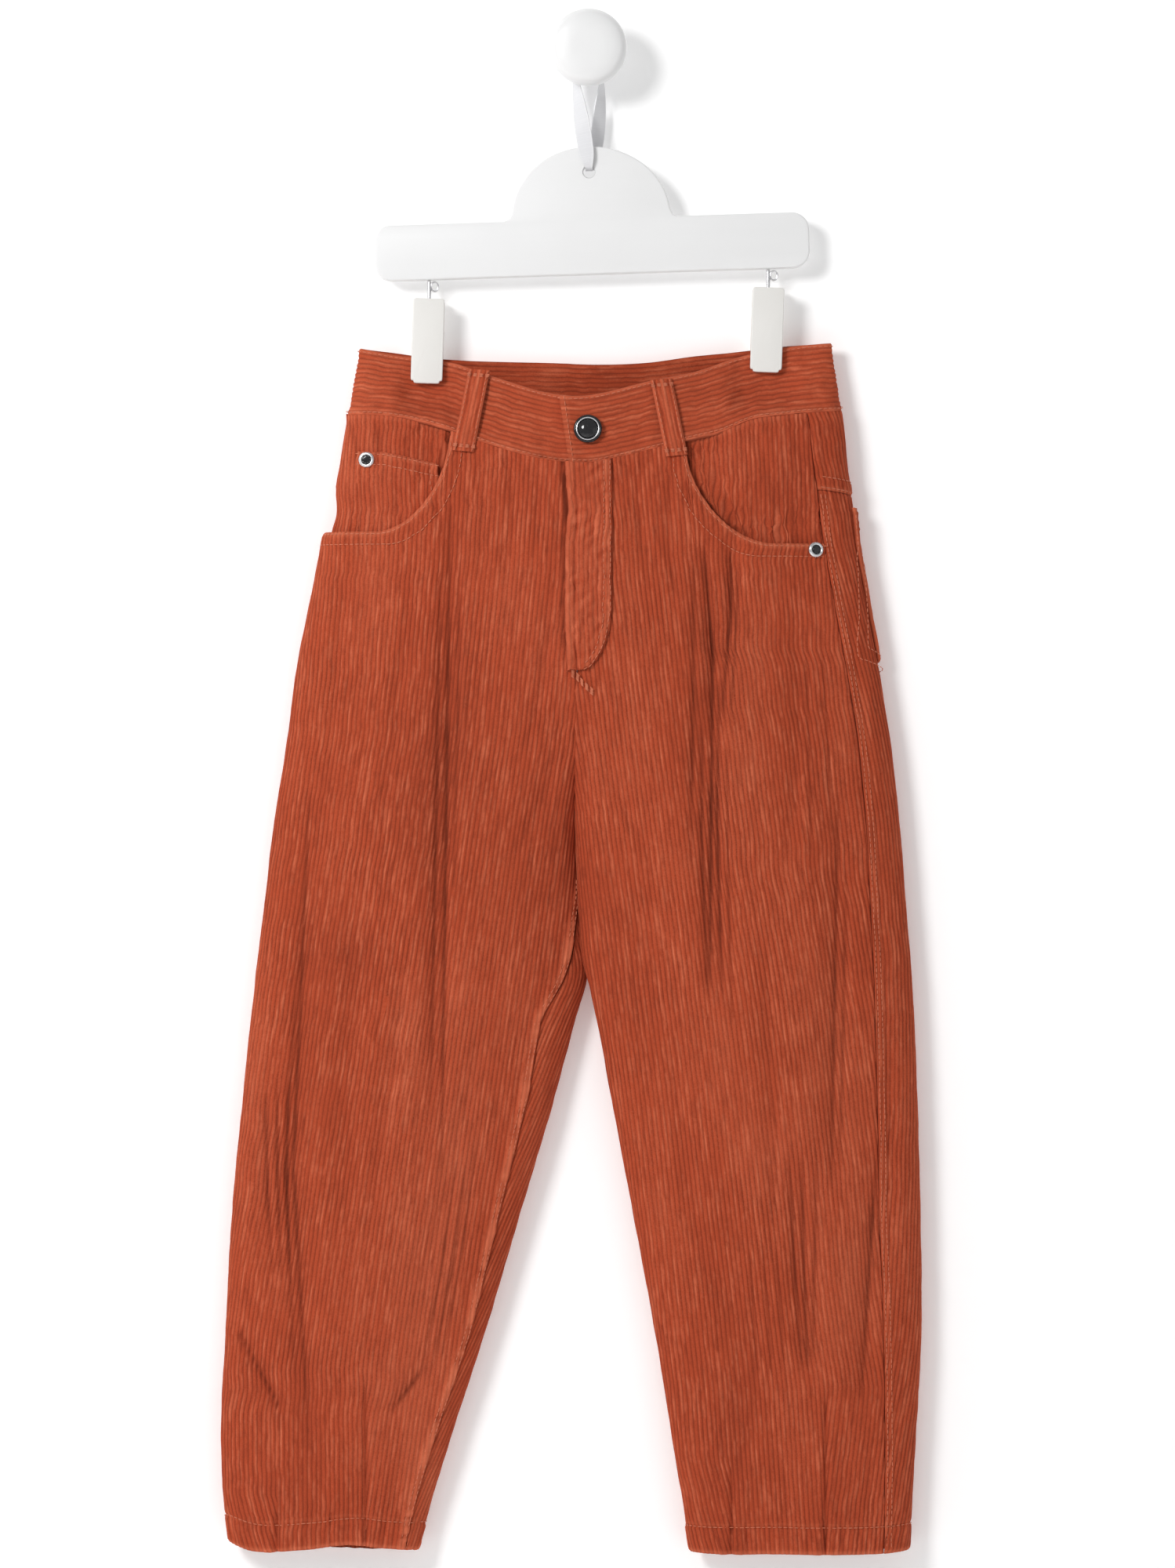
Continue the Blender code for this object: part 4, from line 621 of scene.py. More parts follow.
class Form:
    """The outer face of half the body and its leg, by distance along the cloth and by drop."""

    def __init__(self, side):
        self.side = side
        self.drops = np.arange(FORM_TOP, FORM_LOW, FORM_STEP)
        across = 0.5 - 0.5 * np.cos(np.linspace(0.0, math.pi, FORM_POINTS))
        x, front, back = profile(side, self.drops[:, None], across)
        x = np.concatenate([x, x[:, -2::-1]], axis=1)
        y = np.concatenate([front, back[:, -2::-1]], axis=1)
        steps = np.hypot(np.diff(x, axis=1), np.diff(y, axis=1))
        self.arc = np.concatenate([np.zeros((len(x), 1)), np.cumsum(steps, axis=1)], axis=1)
        self.inner_x = x[:, 0]
        self.outer_x = x[:, FORM_POINTS - 1]
        longest = self.arc[:, -1].max() + FORM_PAST
        places = np.arange(-FORM_PAST, longest, FORM_PLACE)
        self.x_table = np.empty((len(x), len(places)))
        self.y_table = np.empty((len(x), len(places)))
        for k, arc in enumerate(self.arc):
            total = arc[-1]
            open_rise = math.hypot(x[k, 0] - x[k, -1], y[k, 0] - y[k, -1]) > RISE_OPENING
            at = np.clip(places, 0.0, total) if open_rise else places % total
            for values, table in ((x, self.x_table), (y, self.y_table)):
                table[k] = np.interp(at, arc, values[k])
                if open_rise:
                    start = np.interp(2.0, arc, values[k]) - values[k, 0]
                    end = values[k, -1] - np.interp(total - 2.0, arc, values[k])
                    table[k] += np.minimum(places, 0.0) * start / 2.0
                    table[k] += np.maximum(places - total, 0.0) * end / 2.0

    def row(self, drop):
        return (np.asarray(drop, float) - FORM_TOP) / FORM_STEP

    def edge(self, drop):
        """The distance along the cloth to the outer edge."""
        return np.interp(drop, self.drops, self.arc[:, FORM_POINTS - 1])

    def total(self, drop):
        return np.interp(drop, self.drops, self.arc[:, -1])

    def at(self, place, drop):
        place, drop = np.broadcast_arrays(place, drop)
        row = self.row(drop)
        step = (place + FORM_PAST) / FORM_PLACE
        x = bilinear(self.x_table, row, step)
        y = bilinear(self.y_table, row, step)
        return np.stack([x, y, -np.asarray(drop, float)], axis=-1)

    def facing(self, place, drop):
        """The direction that the cloth faces."""
        along = self.at(place + SLOPE_PLACE, drop) - self.at(place - SLOPE_PLACE, drop)
        down = self.at(place, drop + SLOPE_DROP) - self.at(place, drop - SLOPE_DROP)
        out = np.cross(along, down) * sign(self.side)
        return out / np.maximum(np.linalg.norm(out, axis=-1, keepdims=True), 1e-9)

    def place_of_x(self, x, drop, face="front"):
        inner = np.interp(drop, self.drops, self.inner_x)
        outer = np.interp(drop, self.drops, self.outer_x)
        across = np.clip((x - inner) / (outer - inner), 0.0, 1.0)
        index = np.arccos(1.0 - 2.0 * across) / math.pi * (FORM_POINTS - 1)
        if face == "back":
            index = 2 * (FORM_POINTS - 1) - index
        index, drop = np.broadcast_arrays(index, drop)
        return bilinear(self.arc, self.row(drop), index)

    def seam(self, name, drop):
        """Where a seam crosses: the side seam from the outer edge, the inseam from the inner one."""
        drops = column(SEAM_PATHS, SEAM_PATH_COLUMNS, "drop")
        offset = np.interp(drop, drops, column(SEAM_PATHS, SEAM_PATH_COLUMNS, self.side + "_" + name))
        return self.edge(drop) + offset if name == "side" else offset

    def grain(self, face, drop):
        drops, xs = GRAINS[self.side, face]
        return self.place_of_x(np.interp(drop, drops, xs), drop, face)


FORMS = {side: Form(side) for side in (RIGHT, LEFT)}


def body_y(x, drop, face):
    """The body's y at places across, on whichever half each lies."""
    x, drop = np.broadcast_arrays(np.asarray(x, float), np.asarray(drop, float))
    middle = read(SECTIONS, SECTION_COLUMNS, "left_inner", drop)
    ys = [FORMS[side].at(FORMS[side].place_of_x(x, drop, face), drop)[..., 1] for side in (RIGHT, LEFT)]
    return np.where(x < middle, ys[0], ys[1])


def waist_drop(x, face="front"):
    return read(WAIST_SEAM, SEAM_COLUMNS, face + "_drop", np.asarray(x, float))


def waist_above(form, place):
    """The waist seam's drop above a distance along the cloth."""
    x = form.at(place, WAIST_LEVEL)[..., 0]
    return np.where(place <= form.edge(WAIST_LEVEL), waist_drop(x), waist_drop(x, "back"))


def crotch_gap(drop):
    return CROTCH_GAP * smooth(1.0 - np.abs(drop - INSEAM_BEND) / INSEAM_BEND_REACH)


def front_first(form, drop):
    return form.seam("inseam", drop) + 0.5 * (SEAM_GAP + crotch_gap(drop))


def front_last(form, drop):
    return form.seam("side", drop) - 0.5 * SEAM_GAP


def back_first(form, drop):
    return form.seam("side", drop) + 0.5 * SEAM_GAP


def back_last(form, drop):
    return form.total(drop) + form.seam("inseam", drop) - 0.5 * (SEAM_GAP + crotch_gap(drop))


def scoop(form, grow=0.0):
    """The pocket mouth as places and drops, from the waist seam to the side seam."""
    start_x, width, depth = SCOOPS[form.side]
    start_drop = float(waist_drop(start_x))
    angle = np.linspace(0.0, 0.5 * math.pi, 49)
    x = start_x - sign(form.side) * width * (1.0 - np.cos(angle) ** (2.0 / SCOOP_POWER))
    drop = start_drop + depth * np.sin(angle) ** (2.0 / SCOOP_POWER)
    place = form.place_of_x(x, drop) - grow
    end = np.linspace(place[-1], form.seam("side", drop[-1]), 16)[1:]
    return np.concatenate([place, end]), np.concatenate([drop, np.full(15, drop[-1])]) + grow


def hem_drop(form, place):
    """The hem's drop at a distance along the cloth."""
    x = form.at(place, HEM_LEVEL)[..., 0]
    inner = np.interp(HEM_LEVEL, form.drops, form.inner_x)
    outer = np.interp(HEM_LEVEL, form.drops, form.outer_x)
    across = np.clip((x - inner) / (outer - inner), 0.0, 1.0)
    around = place % form.total(HEM_LEVEL)
    faces = [read(HEMS, HEM_COLUMNS, form.side + face, across) for face in ("_front", "_back")]
    return np.where(around <= form.edge(HEM_LEVEL), *faces)


# ---------------------------------------------------------------- cloth meshes

def add_face(faces, corners, marks):
    """Keep a face's corners that are apart from each other, where three or more are."""
    kept = [k for k in range(len(corners)) if corners[k] != corners[k - 1]]
    if len(kept) > 2:
        faces.append(([corners[k] for k in kept], [marks[k] for k in kept]))


def net(faces, ids, own):
    """The faces of a grid of points."""
    corner_grids = []
    for grid in (ids, own):
        corners = np.stack([grid[:-1, :-1], grid[:-1, 1:], grid[1:, 1:], grid[1:, :-1]], axis=-1)
        corner_grids.append(corners.reshape(-1, 4).tolist())
    for corners, marks in zip(*corner_grids):
        add_face(faces, corners, marks)


def together(places, step):
    """For each point of each row, the first of the points that it lies with."""
    apart = np.ones(places.shape, bool)
    apart[:, 1:] = np.abs(np.diff(places, axis=1)) > SNAP * step
    return np.maximum.accumulate(np.where(apart, np.arange(places.shape[1]), 0), axis=1)


def outward(mesh):
    bm = bmesh.new()
    bm.from_mesh(mesh)
    bmesh.ops.recalc_face_normals(bm, faces=bm.faces)
    bm.to_mesh(mesh)
    bm.free()


def wall(name, outer, inner, run, threads, lengths, wear):
    """A closed cloth wall. Its inner face has one thread to each wale and the outer face four."""
    rows, columns = outer.shape[:2]
    row_index = np.arange(rows)[:, None]
    keep = np.arange(0, columns, QUARTERS)
    apart = np.ones((rows, len(keep)), bool)
    apart[:, 1:] = run[:, keep[1:]] != run[:, keep[:-1]]
    inner_run = np.maximum.accumulate(np.where(apart, np.arange(len(keep)), 0), axis=1)
    outer_own = row_index * columns + np.arange(columns)
    inner_own = rows * columns + row_index * len(keep) + np.arange(len(keep))
    outer_ids = row_index * columns + run
    inner_ids = rows * columns + row_index * len(keep) + inner_run
    faces = []
    net(faces, outer_ids, outer_own)
    net(faces, inner_ids, inner_own)
    for i in (0, rows - 1):
        for k in range(len(keep) - 1):
            span = slice(keep[k], keep[k + 1] + 1)
            corners = outer_ids[i, span].tolist() + [inner_ids[i, k + 1], inner_ids[i, k]]
            marks = outer_own[i, span].tolist() + [inner_own[i, k + 1], inner_own[i, k]]
            add_face(faces, corners, marks)
    for j, k in ((0, 0), (columns - 1, len(keep) - 1)):
        for i in range(rows - 1):
            corners = [outer_ids[i, j], outer_ids[i + 1, j], inner_ids[i + 1, k], inner_ids[i, k]]
            marks = [outer_own[i, j], outer_own[i + 1, j], inner_own[i + 1, k], inner_own[i, k]]
            add_face(faces, corners, marks)
    points = np.concatenate([outer.reshape(-1, 3), inner.reshape(-1, 3)]) * MM
    used = np.unique(np.concatenate([corners for corners, _ in faces]))
    compact = np.zeros(len(points), int)
    compact[used] = np.arange(len(used))
    compact = compact.tolist()
    mesh = bpy.data.meshes.new(name)
    mesh.from_pydata(points[used], [], [[compact[c] for c in corners] for corners, _ in faces])
    thread_of = np.concatenate([threads.ravel(), threads[:, keep].ravel()])
    length_of = np.concatenate([lengths.ravel(), lengths[:, keep].ravel()])
    order = np.concatenate([marks for _, marks in faces])
    layer = mesh.uv_layers.new(name="cloth")
    layer.data.foreach_set("uv", np.column_stack([thread_of, length_of])[order].ravel())
    # This attribute carries real wear at edges as pale values, painted shade in folds and gaps as dark ones,
    # and painted highlight on ridges as pale ones.
    attribute = mesh.attributes.new("wear", "FLOAT", "POINT")
    attribute.data.foreach_set("value", np.concatenate([wear.ravel(), np.zeros(inner_own.size)])[used])
    outward(mesh)
    return dressed(name, mesh, "brushed_corduroy")


def dressed(name, mesh, material):
    mesh.shade_smooth()
    mesh.set_sharp_from_angle(angle=SHARP_CLOTH)
    obj = bpy.data.objects.new(name, mesh)
    bpy.context.scene.collection.objects.link(obj)
    mesh.materials.append(bpy.data.materials[material])
    return obj


def smooth_area(points):
    first = points[1:, 1:] - points[:-1, :-1]
    second = points[1:, :-1] - points[:-1, 1:]
    return 0.5 * np.linalg.norm(np.cross(first, second), axis=-1).sum() * MM * MM


def row_shares(length, dense_top, dense_low):
    """How far down a piece its rows lie, closer at both ends."""
    start = np.arange(0.0, min(dense_top, 0.4 * length), DENSE_ROW)
    end = length - np.arange(0.0, min(dense_low, 0.4 * length), DENSE_ROW)[::-1]
    gap = end[0] - start[-1]
    middle = np.linspace(start[-1], end[0], max(int(gap / LONG_ROW), 1) + 1)[1:-1]
    return np.concatenate([start, middle, end]) / length


def taken_in(form, place, drop, grain):
    """Where a thread lies once the darts have taken in their cloth."""
    for x, top, low, taken in TAKEN_IN[form.side]:
        dart = form.place_of_x(x, drop)
        swallowed = taken * np.clip((drop - top) / (low - top), 0.0, 1.1)
        beyond = np.where(place > dart, np.maximum(dart, place - swallowed), place)
        before = np.where(place < dart, np.minimum(dart, place + swallowed), place)
        place = np.where(dart > grain, beyond, before)
    return place


def wale_pitch():
    """The distance from one wale to the next, in millimetres."""
    return bpy.context.scene.trousers_cloth.pitch / MM


class Laid:
    """A piece of cloth laid on the form: the places and drops of its threads."""

    def __init__(self, form, grain, first, last, top, low, dense=(12.0, 26.0), darts=False, face="front"):
        pitch = wale_pitch()
        self.face = face
        self.step = pitch / QUARTERS
        self.pitch = pitch
        levels = np.linspace(FORM_TOP + 4.0, FORM_LOW - 8.0, TRACED_LEVELS)
        spread = sum(row[3] for row in TAKEN_IN[form.side]) if darts else 0.0
        low_thread = math.floor(((first(levels) - grain(levels)).min() - spread) / pitch)
        high_thread = math.ceil(((last(levels) - grain(levels)).max() + spread) / pitch)
        offsets = np.arange(low_thread * QUARTERS, high_thread * QUARTERS + 1) * self.step

        def settle(drop):
            middle = grain(drop)
            place = middle + offsets
            if darts:
                place = taken_in(form, place, drop, middle)
            start, end = first(drop), last(drop)
            place = np.where(place < start + SNAP * self.step, start, place)
            return np.where(place > end - SNAP * self.step, end, place)

        ends = []
        for edge in (top, low):
            drop = np.full(len(offsets), float(np.median(edge(first(levels)))))
            for _ in range(SETTLING_ROUNDS):
                drop = 0.5 * (drop + edge(settle(drop)))
            ends.append(drop)
        self.top, self.low = ends
        length = float(np.median(self.low - self.top))
        shares = row_shares(length, *dense)[:, None]
        self.drop = self.top + shares * (self.low - self.top)
        self.place = settle(self.drop)
        used = np.flatnonzero((np.diff(self.place, axis=1) > 1e-6).any(axis=0))
        start = used[0] // QUARTERS * QUARTERS
        end = math.ceil((used[-1] + 1) / QUARTERS) * QUARTERS + 1
        self.place = self.place[:, start:end]
        self.drop = self.drop[:, start:end]
        self.top = self.top[start:end]
        self.low = self.low[start:end]
        self.thread = np.broadcast_to(offsets[start:end] / pitch, self.place.shape)
        self.points = form.at(self.place, self.drop)
        self.facing = form.facing(self.place, self.drop)

    def build(self, name, lift, wear, thick):
        """The piece itself, lifted off the form, with its wales, and what it was cut from."""
        wale = wales(self.thread, self.drop)
        # Painted shade darkens the pile in sharp folds; painted highlight lightens it on ridges.
        crease_shade = creases(self.face, self.points[..., 0], self.drop)[1]
        wear = wear - FOLD_SHADE * np.clip(crease_shade, *CREASE_SHADE_LIMITS)
        outer = self.points + self.facing * (lift + wale)[..., None]
        base = lift if np.ndim(lift) else np.full(self.place.shape, lift)
        under = base[:, ::QUARTERS] - thick
        inner = self.points[:, ::QUARTERS] + self.facing[:, ::QUARTERS] * under[..., None]
        run = together(self.place, self.step)
        obj = wall(name, outer, inner, run, self.thread, self.drop / self.pitch, wear)
        width = (self.place[:, -1] - self.place[:, 0]).max() * MM
        length = (self.low - self.top).max() * MM
        obj["cut"] = (width, length, min(smooth_area(self.points), width * length))
        return obj


def wales(thread, along):
    """The wales' height over the cloth."""
    cloth = bpy.context.scene.trousers_cloth
    pile = np.abs(np.sin(math.pi * thread))
    number = np.round(thread)
    uneven = 0.9 + 0.3 * wander(along, 31.0, 0.37 * number) + 0.14 * wander(along, 8.0, 1.3 * number)
    return cloth.wale_height / MM * (pile * uneven - WALE_SUNK)


def path_distance(place, drop, path):
    """How far each place is from a path on the cloth, and how far along the path it is."""
    nearest = np.full(place.shape, 1e3)
    along = np.zeros(place.shape)
    ends = np.column_stack(path)
    run_before = 0.0
    for start, end in zip(ends, ends[1:]):
        run = end - start
        size = math.hypot(*run)
        t = ((place - start[0]) * run[0] + (drop - start[1]) * run[1]) / (size * size)
        t = np.clip(t, 0.0, 1.0)
        gap = np.hypot(place - start[0] - t * run[0], drop - start[1] - t * run[1])
        along = np.where(gap < nearest, run_before + t * size, along)
        nearest = np.minimum(gap, nearest)
        run_before += size
    return nearest, along


# Relief of the seams, in mm: heights, widths and the puckers' lengths
FELL_RISE = 0.8
FELL_PUCKER = 0.55
FELL_PUCKER_LENGTH = 5.2
EDGE_RISE = 0.55
EDGE_PUCKER = 0.42
EDGE_PUCKER_LENGTH = 4.4
EDGE_SOFT = 0.5
ROW_DIP = 0.35
ROW_DIP_WIDTH = 0.55
HEM_RISE = 0.5
HEM_DIP = 0.7
HEM_ROLL = 0.9
HEM_WEAR = 0.7
HEM_ROW_WEAR = 0.25
DART_DIP = 0.8
DART_LIP = 0.5
DART_SWELL = 0.9
SEAM_DIP = 0.45
SEAM_PUCKER = 0.3
SEAM_PUCKER_LENGTH = 6.4


def felled(distance, along, width, seed):
    """A felled seam: a ridge beside the join, puckered by its stitching."""
    ridge = smooth((width - distance) / 0.9 + 0.6) * smooth(distance / 0.6 + 0.4)
    return ridge * (FELL_RISE + FELL_PUCKER * wander(along, FELL_PUCKER_LENGTH, seed))


def stitched_edge(distance, along, first, second, seed):
    """A turned edge with stitching beside it: a roll, and a dip and puckers at each stitch line."""
    height = EDGE_RISE * smooth((second + 1.4 - distance) / 1.6) * smooth(distance / 1.2 + 0.35)
    for line in (first, second):
        height = height - ROW_DIP * bump(distance - line, ROW_DIP_WIDTH)
    between = smooth((distance - first) / 1.5) * smooth((second - distance) / 1.5 + 0.4)
    puckers = EDGE_PUCKER * between * wander(along, EDGE_PUCKER_LENGTH, seed)
    return height + puckers - EDGE_SOFT * bump(distance, EDGE_SOFT)


def hem_relief(laid):
    """The turned-up hem: doubled cloth below its stitch line, with upright puckers."""
    rise = laid.low - laid.drop
    doubled = smooth((HEM_TURN - rise) / 1.6 + 0.6)
    pucker = 0.5 * wander(laid.thread * laid.pitch, 7.2, 2.0) + 0.25 * wander(laid.thread, 1.9, 5.0)
    between = smooth(rise / 2.5) * smooth((HEM_TURN + 3.0 - rise) / 4.0)
    height = HEM_RISE * doubled - HEM_DIP * bump(rise - HEM_TURN, 1.0) + between * pucker
    wear = HEM_WEAR * bump(rise - 0.8, 1.4) + HEM_ROW_WEAR * bump(rise - HEM_TURN - 1.4, 1.0)
    return height - HEM_ROLL * bump(rise, HEM_ROLL), wear


def dart_relief(form, laid):
    """The darts' sunk lines, with a lip beside each and a swelling where it ends at the hem."""
    height = np.zeros(laid.place.shape)
    for x, top, low, _ in TAKEN_IN[form.side]:
        beside = np.abs(laid.place - form.place_of_x(x, laid.drop))
        inside = smooth((laid.drop - top) / 18.0)
        height -= DART_DIP * inside * bump(beside, 0.9)
        height += DART_LIP * inside * bump(beside - 3.2, 2.0) * (1.0 + 0.5 * wander(laid.drop, 8.0, x))
        height += DART_SWELL * inside * bump(beside - 5.0, 3.0) * smooth((laid.drop - low + 22.0) / 14.0)
    return height


# Wear and painted shade, from -1 (dark) to 1 (pale), and relief of the fronts round the mouth, inseam, band
# and fly; the gap beside the fly gets painted shadow
MOUTH_WEAR = 0.8
INSEAM_WEAR = 1.3
INSEAM_RISE = 1.2
BAND_PUCKER = 0.55
BAND_PUCKER_LENGTH = 8.6
BAND_LIFT = 0.7
FLY_GAP_SHADOW = 1.5
FLY_GAP_SHADOW_LESS = 0.8


def front_panel(form):
    """A front with its pocket mouth, felled inseam, side seam, darts and turned-up hem."""
    path = scoop(form)
    start = path[0][0]

    def top(place):
        waist = waist_above(form, place) - BAND_TUCK
        return np.where(place < start, waist, np.interp(place, *path))

    laid = Laid(
        form, lambda drop: form.grain("front", drop), lambda drop: front_first(form, drop),
        lambda drop: front_last(form, drop), top, lambda place: hem_drop(form, place),
        dense=(16.0, 26.0), darts=True,
    )
    place, drop = laid.place, laid.drop
    mouth, along = path_distance(place, drop, path)
    near_mouth = (place > start - 12.0) & (drop < path[1].max() + 14.0)
    inner = place - front_first(form, drop)
    outer = front_last(form, drop) - place
    below = drop - laid.top
    legs = smooth((drop - CROTCH) / 24.0)
    hem, hem_wear = hem_relief(laid)
    height = hem + dart_relief(form, laid)
    height += np.where(near_mouth, stitched_edge(mouth, along, EDGE_STITCH, MOUTH_STITCH, 1.0), 0.0)
    height += INSEAM_RISE * legs * felled(inner, drop, FELL_WIDTH, 3.0)
    height -= SEAM_DIP * bump(outer, 0.9)
    height += SEAM_PUCKER * wander(drop, SEAM_PUCKER_LENGTH, 4.0) * bump(outer - 2.6, 2.6)
    under_band = bump(below, 7.0) * (place < start)
    height += under_band * BAND_PUCKER * wander(laid.thread * laid.pitch, BAND_PUCKER_LENGTH, 6.0)
    height += BAND_LIFT * bump(below, 3.0) * (place < start)
    wear = hem_wear + np.where(near_mouth, MOUTH_WEAR * bump(mouth - 0.9, 1.6), 0.0)
    patchy = 0.6 + 0.6 * wander(drop, FELL_PUCKER_LENGTH, 3.0)
    wear += INSEAM_WEAR * legs * bump(inner - 0.5 * FELL_WIDTH, 2.2) * patchy
    # Painted shadow in the gap beside the fly's free edge, strongest down to drop 262 and fading out at the
    # fly's foot.
    fly_shadow_mask = bump(laid.points[..., 0] - fly_edge(drop) + 1.3, 1.5) * smooth((FLY_END_DROP - drop) / 20.0)
    dark = FLY_GAP_SHADOW - FLY_GAP_SHADOW_LESS * smooth((drop - 262.0) / 20.0)
    wear -= fly_shadow_mask * dark * (0.8 + 0.4 * wander(drop, 17.0, 2.0))
    return laid.build("cloth_front_" + form.side, height, np.clip(wear, -1.0, 1.0), CLOTH)


# How far the back goes down to meet the hip piece, which lies under the front
BESIDE_HIP = 1.1


def back_share(form, place, drop):
    first, last = back_first(form, drop), back_last(form, drop)
    return np.clip((place - first) / (last - first), 0.0, 1.0)


def yoke_drop(form, place):
    share = back_share(form, place, YOKE_CENTRE_DROP)
    return YOKE_SIDE_DROP + (YOKE_CENTRE_DROP - YOKE_SIDE_DROP) * share


def back_panel(form):
    """A back below its yoke, with the side seam, the centre seam and the turned-up hem."""
    laid = Laid(
        form, lambda drop: form.grain("back", drop), lambda drop: back_first(form, drop),
        lambda drop: back_last(form, drop), lambda place: yoke_drop(form, place) + SEAM_GAP,
        lambda place: hem_drop(form, place), face="back",
    )
    below = laid.drop - laid.top
    outer = laid.place - back_first(form, laid.drop)
    inner = back_last(form, laid.drop) - laid.place
    height, wear = hem_relief(laid)
    height -= SEAM_DIP * bump(below, 0.8)
    height += SEAM_PUCKER * bump(below - 2.0, 2.4) * wander(laid.thread, 2.1, 2.0)
    height += felled(outer, laid.drop, FELL_WIDTH, 7.0) * 0.6 - 0.35 * bump(inner, 0.8)
    height -= BESIDE_HIP * bump(outer, 4.0) * (1.0 - smooth((laid.drop - 284.0) / 6.0))
    rise = smooth((CROTCH - laid.drop) / 20.0)
    height += rise * 0.7 * felled(inner, laid.drop, FELL_WIDTH, 9.0)
    wear += 0.12 * bump(outer - 0.5 * FELL_WIDTH, 2.0)
    return laid.build("cloth_back_" + form.side, height, np.clip(wear, 0.0, 1.0), CLOTH)


def yoke(form):
    """A back yoke, whose lower edge laps the back panel."""
    laid = Laid(
        form, lambda drop: form.grain("back", drop), lambda drop: back_first(form, drop),
        lambda drop: back_last(form, drop), lambda place: waist_above(form, place) - BAND_TUCK,
        lambda place: yoke_drop(form, place), dense=(12.0, 12.0), face="back",
    )
    rise = laid.low - laid.drop
    height = stitched_edge(rise, laid.thread * laid.pitch, EDGE_STITCH, MOUTH_STITCH, 3.0) + 0.1
    height += 0.4 * bump(laid.drop - laid.top, 6.0) * wander(laid.thread * laid.pitch, 8.0, 3.0)
    outer = laid.place - back_first(form, laid.drop)
    height += 0.6 * felled(outer, laid.drop, FELL_WIDTH, 5.0)
    height -= BESIDE_HIP * bump(outer, 4.0) * smooth((laid.drop - 240.0) / 12.0)
    return laid.build("cloth_yoke_" + form.side, height, 0.6 * bump(rise - 0.8, 1.4), CLOTH)


def facing_lift(form, place, drop, path):
    """The hip piece goes under the front along the pocket mouth and comes up level away from it."""
    distance = np.minimum(np.interp(place, *path) - drop, place - path[0][0])
    sewn_in = 0.58 + 0.42 * smooth((front_last(form, drop) - place) / 14.0)
    return -FACING_INSET * sewn_in * (1.0 - smooth((distance - FACING_EDGE) / FACING_REACH))


def pocket_facing(form):
    """The hip piece inside the pocket mouth, with painted shadow along the mouth's steep part."""
    path = scoop(form)
    under = scoop(form, FACING_UNDER)
    start = under[0][0] + FACING_START
    upright = 0.5 * (start + form.seam("side", FACING_DROP))
    laid = Laid(
        form, lambda drop: upright + 0.4 * (front_last(form, drop) - front_last(form, FACING_DROP)),
        lambda drop: start + 0.0 * drop, lambda drop: front_last(form, drop),
        lambda place: waist_above(form, place) - BAND_TUCK, lambda place: np.interp(place, *under),
        dense=(14.0, 30.0),
    )
    outer = front_last(form, laid.drop) - laid.place
    height = facing_lift(form, laid.place, laid.drop, path) - 0.4 * bump(outer, 0.8)
    pucker = wander(laid.thread * laid.pitch, 7.6, 4.0)
    height += 0.5 * bump(laid.drop - laid.top, 6.0) * pucker + 0.7 * bump(laid.drop - laid.top, 3.0)
    height += SEAM_PUCKER * wander(laid.drop, SEAM_PUCKER_LENGTH, 4.0) * bump(outer - 2.6, 2.6)
    mouth, along = path_distance(laid.place, laid.drop, path)
    # Painted shadow under the front's edge along the steep part of the mouth, where the piece also sinks a
    # little.
    steep = 1.0 - smooth((along - 52.0) / 22.0)
    gap = steep * bump(mouth, 1.9) * (0.75 + 0.35 * wander(along, 9.0, 3.0))
    wear = 0.25 * bump(laid.drop - laid.top - 1.0, 1.5) - 1.2 * gap
    return laid.build("cloth_hip_" + form.side, height - 0.8 * gap, wear, CLOTH)


def coin_top(form, place):
    x = form.at(place, COIN_LEVEL)[..., 0]
    return np.interp(x, *COIN_TOP)


def coin_sides(form):
    return sorted(form.place_of_x(x, FACING_DROP) for x in np.array(COIN_ENDS))


def coin_pocket(form):
    """The small pocket on the hip piece, with its turned top and its stitched side."""
    path = scoop(form)
    under = scoop(form, COIN_UNDER)
    first, last = coin_sides(form)
    laid = Laid(
        form, lambda drop: 0.5 * (first + last) + 0.06 * (drop - FACING_DROP),
        lambda drop: first + 0.0 * drop, lambda drop: last + 0.0 * drop,
        lambda place: coin_top(form, place), lambda place: np.interp(place, *under),
        dense=(16.0, 16.0),
    )
    below = laid.drop - laid.top
    side = laid.place - first
    height = facing_lift(form, laid.place, laid.drop, path) + LAYER_GAP + OVERLAY
    height += stitched_edge(below, laid.thread * laid.pitch, EDGE_STITCH, MOUTH_STITCH, 8.0)
    height += 0.35 * bump(side - 4.5, 2.5) * wander(laid.drop, 5.0, 1.0) - 0.4 * bump(side, 0.8)
    wear = 0.7 * bump(below - 0.9, 1.5) + 0.3 * bump(side - 1.0, 1.3)
    return laid.build("cloth_coin_pocket", height, np.clip(wear, 0.0, 1.0), OVERLAY)


